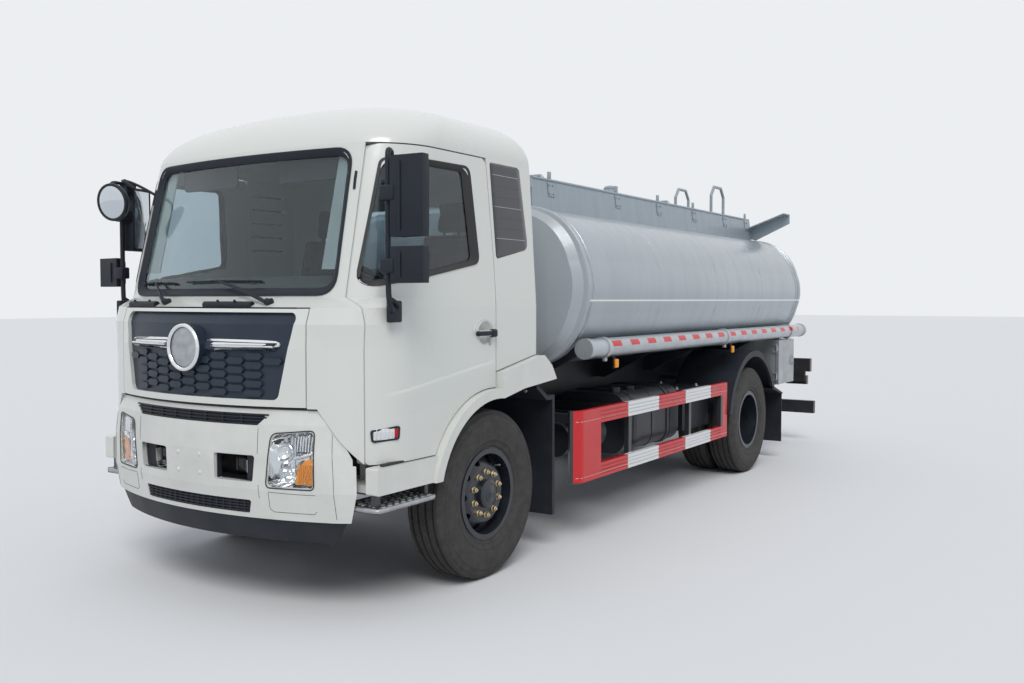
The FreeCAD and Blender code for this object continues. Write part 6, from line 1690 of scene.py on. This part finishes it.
# %% Long seams and side markers
for side, sign in SIDES:
    seam = [skin("tank", at(0, y, 1380) + Vector((sign * 2.2, 0, 0)), (-sign, 0, 0))
            for y in range(1240, 6020, 180)]
    settle(tube(seam, 0.004, 3), f"long_seam_{side}", "chassis", tank_paint, 60)
    marks = []
    for y in (1591, 4051):
        low, high = at(sign * 1188, y - 24, 1222), at(sign * 1206, y + 24, 1286)
        xs = sorted((low.x, high.x))
        lens_part = block((xs[0], low.y, low.z), (xs[1], high.y, high.z), 0.006, 3)
        marks.append(lens_part)
    settle(joined(marks), f"amber_markers_{side}", "chassis", amber_lens)
    backs = []
    for y in (1591, 4051):
        low, high = at(sign * 1178, y - 30, 1216), at(sign * 1187, y + 30, 1292)
        xs = sorted((low.x, high.x))
        backs.append(block((xs[0], low.y, low.z), (xs[1], high.y, high.z), 0.002, 2))
        low, high = at(sign * 1174, y - 12, 1286), at(sign * 1179, y + 12, 1330)
        xs = sorted((low.x, high.x))
        backs.append(block((xs[0], low.y, low.z), (xs[1], high.y, high.z), 0.001, 1))
    settle(joined(backs), f"marker_brackets_{side}", "chassis", black_plastic)
print("seams and side markers")

# %% [markdown]
# The hose tubes end in turned caps. A cap is a spun profile with a rolled edge,
# and each strap gets a clamp bolt.

# %% Hose tube caps and clamps
for side, sign in SIDES:
    top = skin("hose_tubes", at(sign * 1150, 2600, 2000), (0, 0, -1))
    foot = skin("hose_tubes", at(sign * 1150, 2600, 900), (0, 0, 1))
    centre_z = (top.z + foot.z) / 2
    half = (top.z - foot.z) / 2
    parts = []
    for y, way in ((1180, -1), (6375, 1)):
        parts.append(spun([(half + 0.001, -0.030), (half + 0.004, -0.028), (half + 0.005, -0.002),
                           (half - 0.002, 0.006), (half * 0.55, 0.010), (half * 0.50, 0.006), (0.0, 0.006)],
                          Vector((sign * 1.150, at(0, y, 0).y, centre_z)), (0, way, 0), 36))
    settle(joined(parts), f"tube_caps_{side}", "chassis", cabinet_paint)
    clamps = []
    for y in (1450, 3896, 5860):
        spot = Vector((sign * (1.150 + 0.02), at(0, y, 0).y, foot.z - 0.016))
        clamps.append(block(spot - Vector((0.014, 0.018, 0.016)),
                            spot + Vector((0.014, 0.018, 0.012)), 0.003, 2))
        clamps.append(spun([(0.0, 0.012), (0.007, 0.012), (0.008, 0.0), (0.0, -0.001)],
                           spot + Vector((0, -0.018, -0.002)), (0, -1, 0), 6))
    settle(joined(clamps), f"tube_clamps_{side}", "chassis", galvanised)
print("tube radius", round(half, 4))

# %% [markdown]
# Each manhole lid is held by a ring of swing bolts and has a small relief valve
# in the middle. One bolt is modelled and turned round the lid six times.

# %% Lid bolts and relief valves
def swing_bolt(centre):
    """Bolt, wing nut and ear at the rim of a lid."""
    spot = centre + Vector((0.252, 0, 0))
    parts = [spun([(0.0, 0.036), (0.006, 0.035), (0.0065, 0.0), (0.0, -0.001)], spot, (0, 0, 1), 10),
             spun([(0.0, 0.024), (0.011, 0.023), (0.014, 0.012), (0.014, 0.006), (0.0, 0.005)], spot, (0, 0, 1), 6),
             block(spot + Vector((-0.004, -0.026, 0.012)), spot + Vector((0.004, 0.026, 0.030)), 0.003, 2),
             block(spot + Vector((-0.020, -0.011, -0.004)), spot + Vector((0.014, 0.011, 0.006)), 0.003, 2)]
    return joined(parts)


for end, body, y in (("front", "lid_front", 2350), ("rear", "lid_rear", 5030)):
    deck = skin(f"manhole_lid_{end}", at(200, y + 40, 3200), (0, 0, -1))
    centre = Vector((0, at(0, y, 0).y, deck.z))
    bolts = ring_of(swing_bolt(centre), 6, centre, (0, 0, 1))
    settle(bolts, f"lid_bolts_{end}", body, galvanised)
    crown = skin(f"manhole_lid_{end}", at(60, y + 60, 3200), (0, 0, -1))
    valve = spun([(0.0, 0.050), (0.018, 0.049), (0.030, 0.042), (0.034, 0.030), (0.026, 0.026), (0.022, 0.010),
                  (0.034, 0.008), (0.036, 0.0), (0.0, -0.002)], Vector((0.06, crown.y, crown.z)), (0, 0, 1), 24)
    settle(valve, f"relief_valve_{end}", body, cabinet_paint)
print("lid deck at", round(deck.z, 3))

# %% [markdown]
# The coaming is bolted together from plates: splice plates with four bolts sit
# over its joints, and short posts stand on its edge. A folded lip stiffens its
# top.

# %% Splice plates, posts and lip
def coaming_skin(sign, y, z, proud=0.0):
    hit = skin("coaming", at(0, y, z) + Vector((sign * 1.6, 0, 0)), (-sign, 0, 0))
    return hit + Vector((sign * proud, 0, 0)) if hit else None


for side, sign in SIDES:
    parts, bolts = [], []
    for y in (1560, 2700, 3560, 4420, 5280, 5960):
        foot, head = coaming_skin(sign, y, 2530), coaming_skin(sign, y, 2640)
        if not foot or not head:
            continue
        edge = (head - foot).normalized()
        parts.append(laid([([Vector((0, -0.045, 0)), Vector((0, 0.045, 0))], 0.0), ([
            Vector((0, -0.045, 0)), Vector((0, 0.045, 0))], 1.0)][::sign],
            lambda p, share: foot.lerp(head, share) + p + Vector((sign * 0.004, 0, 0))))
        add_modifier(parts[-1], "SOLIDIFY", thickness=0.005, offset=0)
        for dy in (-0.028, 0.028):
            for share in (0.2, 0.8):
                bolts.append(spun([(0.0, 0.008), (0.008, 0.007), (0.009, 0.0), (0.0, -0.002)],
                                  foot.lerp(head, share) + Vector((sign * 0.007, dy, 0)), (sign, 0, 0), 6))
        post = head + edge * 0.055
        parts.append(block(post - Vector((0.007, 0.022, 0.035)),
                           post + Vector((0.007, 0.022, 0.030)), 0.004, 2))
    lip = [hit for hit in (coaming_skin(sign, y, 2658) for y in range(1300, 6080, 160)) if hit]
    parts.append(tube(lip, 0.010, 3))
    settle(joined(parts), f"coaming_plates_{side}", "chassis", coaming_paint)
    settle(joined(bolts), f"coaming_bolts_{side}", "chassis", galvanised)
print("splice plates on the coaming")

# %% [markdown]
# Between the manholes stands a breather with a rain hood, and a walkway of
# chequered strips runs along the top inside the coaming.

# %% Breather and walkway
vent = skin("tank", at(4, 3787, 3300), (0, 0, -1))
hood = spun([(0.0, 0.020), (0.030, 0.018), (0.055, 0.010), (0.068, -0.006), (0.066, -0.020), (0.060, -0.020),
             (0.052, -0.006), (0.0, -0.004)], Vector((0, vent.y, vent.z + 0.004)), (0, 0, 1), 32)
settle(hood, "breather_hood", "chassis", coaming_paint)
treads = []
for x in (-430, 430):
    for y in range(1500, 5900, 440):
        deck = [skin("tank", at(x + dx, y + 210, 3300), (0, 0, -1)) for dx in (-90, 90)]
        if all(deck):
            high = max(hit.z for hit in deck)
            treads.append(block((deck[0].x, at(0, y, 0).y, high + 0.004), (deck[1].x, at(0, y + 420, 0).y,
                                                                        high + 0.010), 0.002, 1))
            for k in range(6):
                spot = Vector((deck[0].x + 0.015, at(0, y + 30 + k * 70, 0).y, high + 0.010))
                treads.append(block(spot, spot + Vector((0.15, 0.012, 0.003)), 0.0012, 1))
settle(joined(treads), "walkway", "chassis", galvanised)
print("walkway plates", len(treads))
# %% [markdown]
# ## Under the body
# Straps hold the fuel tank to its brackets. A strap is a band that goes round
# the tank: two loops of places on its skin, joined by faces, made thick.

# %% Fuel tank straps and cap
def strap(name, centre, y, width, proud=0.003, thick=0.004, count=56):
    """A flat band all round a part."""
    lines = [loop_round(name, centre, y + dy, proud, count) for dy in (-width / 2, width / 2)]
    band = laid([(line + line[:1], 0) for line in lines], lambda p, proud: p)
    take(band)
    edit_all()
    bpy.ops.mesh.remove_doubles(threshold=0.0002)
    bpy.ops.mesh.normals_make_consistent(inside=False)
    leave_edit()
    add_modifier(band, "SOLIDIFY", thickness=thick, offset=0)
    return band


straps = [strap("fuel_tank", (778, 742), y, 46) for y in (2130, 2480, 2830)]
for y in (2130, 2480, 2830):
    spot = at(1090, y, 742)
    straps.append(spun([(0.0, 0.014), (0.008, 0.013), (0.009, 0.0), (0.0, -0.002)],
                       skin("fuel_tank", spot + Vector((0.4, 0, 0.12)), (-1, 0, 0)) + Vector((0.004, 0, 0)),
                       (1, 0, 0), 6))
settle(joined(straps), "fuel_tank_straps", "chassis", frame_paint)
neck = skin("fuel_tank", at(950, 2290, 1300), (0, 0, -1))
cap = spun([(0.0, 0.040), (0.020, 0.040), (0.024, 0.034), (0.046, 0.033), (0.048, 0.020), (0.046, 0.006),
            (0.054, 0.005), (0.055, -0.004), (0.0, -0.006)], neck, (0, 0, 1), 28)
settle(cap, "fuel_cap", "chassis", black_plastic)
print("fuel tank straps and cap")

# %% [markdown]
# The axles hang on leaf springs by U-bolts. One is bent from a tube, gets its
# plate and nuts, and is copied to every corner.

# %% U-bolts
def u_bolt(x, y, z0, z1, half_y):
    """Two U-bolts with nuts over one spring."""
    parts = []
    for dy in (-half_y, half_y):
        legs = [at(x - 47, y + dy, z0), at(x - 47, y + dy, z1 - 12), at(x - 40, y + dy, z1), at(x + 40, y + dy, z1),
                at(x + 47, y + dy, z1 - 12), at(x + 47, y + dy, z0)]
        parts.append(tube(legs, 0.008, 2))
        for dx in (-47, 47):
            parts.append(spun([(0.0, 0.014), (0.013, 0.013), (0.015, 0.0), (0.0, -0.002)],
                              at(x + dx, y + dy, z0 + 6), (0, 0, -1), 6))
    low, high = at(x - 62, y - half_y - 22, z0 + 8), at(x + 62, y + half_y + 22, z0 + 20)
    parts.append(block(low, high, 0.002, 1))
    return joined(parts)


for name, y, z0, z1 in (("front", 0, 470, 700), ("rear", 4500, 470, 735)):
    pair = [u_bolt(x, y, z0, z1, 52) for x in (-390, 390)]
    settle(joined(pair), f"u_bolts_{name}", "chassis", frame_paint)
print("U-bolts on both axles")

# %% [markdown]
# The valve cabinet has a piano hinge along its front edge, a flush latch and a rubber seal. The hinge and the latch
# are made here, and rows of small domed rivets follow its edges; the seal is not modelled.

# %% Cabinet fittings
hinge = [spun([(0.0, 0.045), (0.007, 0.044), (0.007, -0.044), (0.0, -0.045)],
              at(1194, 5472, 850 + 98 * i), (0, 0, 1), 12) for i in range(5)]
latch = [block(at(1186, 5890, 1010), at(1199, 5960, 1090), 0.004, 2),
         block(at(1196, 5915, 1022), at(1206, 5936, 1080), 0.004, 2)]
settle(joined(hinge + latch), "cabinet_fittings", "cabinet_door", galvanised)
rivets = [spun([(0.0, 0.004), (0.004, 0.003), (0.006, 0.0), (0.0, -0.001)],
               at(1188, y, z), (1, 0, 0), 10) for y in range(5520, 6030, 56) for z in (820, 1272)]
settle(joined(rivets), "cabinet_rivets", "cabinet_door", cabinet_paint)
print("cabinet rivets", len(rivets))

# %% [markdown]
# Tail lamps have ribbed lenses: red outside, amber, then clear. Each is one
# block with grooves; a dark housing stands behind.

# %% Tail lamp lenses and reflectors
for side, sign in SIDES:
    for part, x0, x1, material in (("red", 1048, 1142, red_lens), ("amber", 952, 1042, amber_lens),
                                   ("clear", 862, 946, smoke_lens), ("inner", 828, 856, red_lens)):
        xs = sorted((sign * x0 / 1000, sign * x1 / 1000))
        face = skin("tail_lamps", at(sign * (x0 + x1) / 2, 7600, 940), (0, -1, 0))
        lens_part = block((xs[0], face.y - 0.002, 0.872), (xs[1], face.y + 0.010, 1.008), 0.004, 2)
        ribs = [block((xs[0] + 0.006, face.y + 0.008, 0.884 + 0.016 * i),
                      (xs[1] - 0.006, face.y + 0.0125, 0.890 + 0.016 * i), 0.0015, 1) for i in range(8)]
        settle(joined([lens_part] + ribs), f"tail_lens_{part}_{side}", "chassis", material)
    disc = spun([(0.0, 0.008), (0.030, 0.007), (0.034, 0.004), (0.038, 0.004), (0.040, 0.0), (0.0, -0.001)],
                at(sign * 1090, 6951, 425), (0, 1, 0), 32)
    settle(disc, f"rear_reflector_{side}", "chassis", red_lens)
tapes = []
for i in range(-4, 4):
    tapes.append(block(at(i * 240 + 20, 6949, 404), at(i * 240 + 220, 6952, 446), 0.0008, 1))
settle(joined(tapes[::2]), "bar_tape_red", "chassis", red_lens)
settle(joined(tapes[1::2]), "bar_tape_white", "chassis", cab_paint)
print("tail lamps, reflectors and tape")

# %% [markdown]
# Rubber flaps and mudguards are bolted on with washers, and the battery box has
# a lid with two wing nuts.

# %% Small bolts underneath
bolts = []
for sign in (-1, 1):
    for x in (660, 840, 1020):
        hit = skin("mudguards", at(sign * x, 300, 1120), (0, 1, 0))
        if hit:
            bolts.append(spun([(0.0, 0.007), (0.008, 0.006), (0.016, 0.002), (0.017, 0.0), (0.0, -0.001)],
                              hit, (0, -1, 0), 12))
for x in (640, 1000):
    for y in (3170, 3620):
        hit = skin("battery_box", at(x, y, 1400), (0, 0, -1))
        if hit:
            bolts.append(spun([(0.0, 0.024), (0.010, 0.022), (0.012, 0.006), (0.020, 0.004), (0.021, 0.0),
                               (0.0, -0.001)], hit, (0, 0, 1), 12))
settle(joined(bolts), "underbody_bolts", "chassis", galvanised)
print("bolts", len(bolts))
# %% [markdown]
# ## Inside the cab
# The seats are foam under woven cloth. Each cushion starts as a slightly small
# shape with rounded edges, is remeshed evenly, and is blown up like a bag by the
# cloth solver. How far a point may move is capped, so the cushion keeps its
# place. The sewn channels are pressed in after that.

# %% Padded cushion
def cushion(outline, x0, x1, cap=0.016, voxel=0.014):
    """A swollen cushion from its side outline (drawing y, z), between two drawing x."""
    pad = panel([at(x0, y, z) for y, z in outline], ((x1 - x0) / 1000, 0, 0), 0.024)
    add_modifier(pad, "REMESH", mode="VOXEL", voxel_size=voxel)
    rest = [v.co.copy() for v in pad.data.vertices]
    take(pad)
    bpy.ops.object.modifier_add(type="CLOTH")
    cloth = pad.modifiers[-1]
    cloth.settings.use_pressure = True
    cloth.settings.uniform_pressure_force = 4.0
    cloth.settings.effector_weights.gravity = 0.0
    cloth.settings.quality = 4
    cloth.collision_settings.use_collision = False
    for number in range(1, 15):
        bpy.context.scene.frame_set(number)
    swollen = pad.evaluated_get(bpy.context.evaluated_depsgraph_get()).to_mesh()
    moved = [v.co.copy() for v in swollen.vertices]
    pad.evaluated_get(bpy.context.evaluated_depsgraph_get()).to_mesh_clear()
    bpy.ops.object.modifier_remove(modifier=cloth.name)
    bpy.context.scene.frame_set(1)
    for vertex, start, end in zip(pad.data.vertices, rest, moved):
        step = end - start
        vertex.co = start + (step * (cap / step.length) if step.length > cap else step)
    return pad


def channel(pad, facing, axis, place, width=0.009, deep=0.009):
    """Presses one sewn channel into the side of the cushion that faces that way."""
    facing = Vector(facing)
    for vertex in pad.data.vertices:
        if vertex.normal.dot(facing) > 0.45:
            off = vertex.co[axis] - place
            vertex.co -= facing * deep * 2.718 ** (-(off / width) ** 2)


def piping(pad, spots, direction, radius=0.0035):
    """Cord sewn round a cushion, laid where rays from the spots meet it."""
    line = []
    for spot in spots:
        hit, place, normal, index = pad.ray_cast(spot, Vector(direction))
        if hit:
            line.append(place)
    return tube(line + line[:1], radius, 2)


print("cushion helper ready")

# %% Seats
def seat(sign):
    side = "left" if sign > 0 else "right"
    x = 560
    base = cushion([(-286, 1544), (226, 1544), (226, 1626), (-286, 1650)], x - 236, x + 236)
    for place in (0.450, 0.670):
        channel(base, (0, 0, 1), 0, place)
    channel(base, (0, 0, 1), 1, at(0, -120, 0).y)
    back = cushion([(190, 1580), (276, 1562), (404, 2168), (340, 2196)], x - 226, x + 226)
    for place in (0.455, 0.665):
        channel(back, (0, -1, 0.2), 0, place)
    for place in (1.74, 1.95):
        channel(back, (0, -1, 0.2), 2, place)
    head = cushion([(344, 2194), (410, 2180), (428, 2386), (368, 2396)], x - 118, x + 118, 0.013, 0.012)
    channel(head, (0, -1, 0.2), 2, 2.30, 0.008, 0.006)
    add_modifier(base, "SUBSURF", levels=1, render_levels=1)
    add_modifier(back, "SUBSURF", levels=1, render_levels=1)
    add_modifier(head, "SUBSURF", levels=1, render_levels=1)
    rim = rounded([(x / 1000 - 0.212, -3.040), (x / 1000 + 0.212, -3.040), (x / 1000 + 0.212, -2.580),
                   (x / 1000 - 0.212, -2.580)], 0.05, 6)
    cords = [piping(base, [Vector((p[0], p[1], 2.0)) for p in rim], (0, 0, -1))]
    rim = rounded([(x / 1000 - 0.205, 1.64), (x / 1000 + 0.205, 1.64), (x / 1000 + 0.205, 2.150),
                   (x / 1000 - 0.205, 2.150)], 0.05, 6)
    cords.append(piping(back, [Vector((p[0], -3.4, p[1])) for p in rim], (0, 1, 0)))
    plinth = [block(at(x - 108, -228, 1300), at(x + 198, 208, 1400), 0.012, 3),
              block(at(x - 96, -216, 1396), at(x + 186, 196, 1500), 0.020, 3),
              block(at(x - 228, -262, 1500), at(x + 228, 226, 1540), 0.012, 3),
              tube([at(x + 236, -140, 1530), at(x + 246, -150, 1560), at(x + 246, 120, 1560)], 0.012, 3)]
    posts = [tube([at(x + dx, 366, 2170), at(x + dx, 380, 2230)], 0.007, 3) for dx in (-60, 60)]
    made = [(base, "cushion", seat_cloth), (back, "backrest", seat_cloth), (head, "headrest", seat_cloth),
            (joined(cords), "piping", rubber), (joined(plinth + posts), "frame", black_plastic)]
    for piece, name, material in made:
        if sign < 0:
            twin = copied(piece, flip_x=True)
            bpy.data.objects.remove(piece)
            piece = twin
        settle(piece, f"seat_{name}_{side}", "cab", material,
               60)
    return bpy.data.objects[f"seat_cushion_{side}"]


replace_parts(seat(1), "seats")
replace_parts(seat(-1), "seats")
print("two seats")

# %% [markdown]
# Sun visors hang under the roof's edge, a gear lever stands on the tunnel, and the door linings carry an armrest
# and a pull handle; the window switch panel is not modelled.

# %% Visors and gear lever
for side, sign in SIDES:
    glass = front_skin("cab_glass", sign * 430, 2500)
    board = panel([Vector((p[0], glass.y + 0.105, p[1])) for p in
                   rounded([(sign * 0.43 - 0.25, 2.42), (sign * 0.43 + 0.25, 2.42), (sign * 0.43 + 0.25, 2.545),
                            (sign * 0.43 - 0.25, 2.545)], 0.03, 5)], (0, 0.016, 0), 0.006)
    rail = tube([Vector((sign * 0.43 - 0.26, glass.y + 0.113, 2.548)),
                 Vector((sign * 0.43 + 0.26, glass.y + 0.113, 2.548))], 0.006, 3)
    settle(joined([board, rail]), f"sun_visor_{side}", "cab", interior_plastic)
foot = skin("cab_floor", at(150, -420, 2200), (0, 0, -1))
stick = tube([foot, foot + Vector((0, -0.01, 0.18)), foot + Vector((0.01, 0.03, 0.36))], 0.010, 3)
knob = spun([(0.0, 0.052), (0.016, 0.049), (0.025, 0.036), (0.026, 0.022), (0.015, 0.004), (0.010, 0.0),
             (0.0, -0.002)], foot + Vector((0.01, 0.03, 0.345)), (0.03, 0.2, 1), 24)
boot = spun([(0.014, 0.11), (0.026, 0.085), (0.030, 0.078), (0.046, 0.05), (0.050, 0.042), (0.072, 0.012),
             (0.080, 0.0), (0.0, -0.001)], foot, (0, 0, 1), 28)
settle(joined([stick, knob, boot]), "gear_lever", "cab", black_plastic, 50)
print("visors and lever at", [round(v, 2) for v in foot])

# %% Door linings
for side, sign in SIDES:
    face = [skin(f"door_{side}", at(sign * 300, y, z), (sign, 0, 0))
            for y in (-700, -100) for z in (1250, 1700)]
    inner = min(abs(hit.x) for hit in face if hit) - 0.001
    outline = rounded([(-0.93, 1.16), (-0.02, 1.40), (-0.04, 1.76), (-0.90, 1.64)], 0.05, 5)
    lining = panel([Vector((sign * inner, y - 2.776, z)) for y, z in outline], (-sign * 0.007, 0, 0), 0.003)
    xs = sorted((sign * (inner - 0.045), sign * (inner - 0.004)))
    rest_block = block((xs[0], at(0, -520, 0).y, 1.500), (xs[1], at(0, -130, 0).y, 1.545), 0.014, 4)
    xs = sorted((sign * (inner - 0.040), sign * (inner - 0.012)))
    pull = tube([Vector((xs[0], at(0, -640, 0).y, 1.50)), Vector((xs[0], at(0, -640, 0).y, 1.58)),
                 Vector((xs[0], at(0, -560, 0).y, 1.60))], 0.009, 3)
    settle(joined([lining, rest_block, pull]), f"door_lining_{side}", f"door_{side}", interior_plastic)
print("linings at", round(inner, 3))
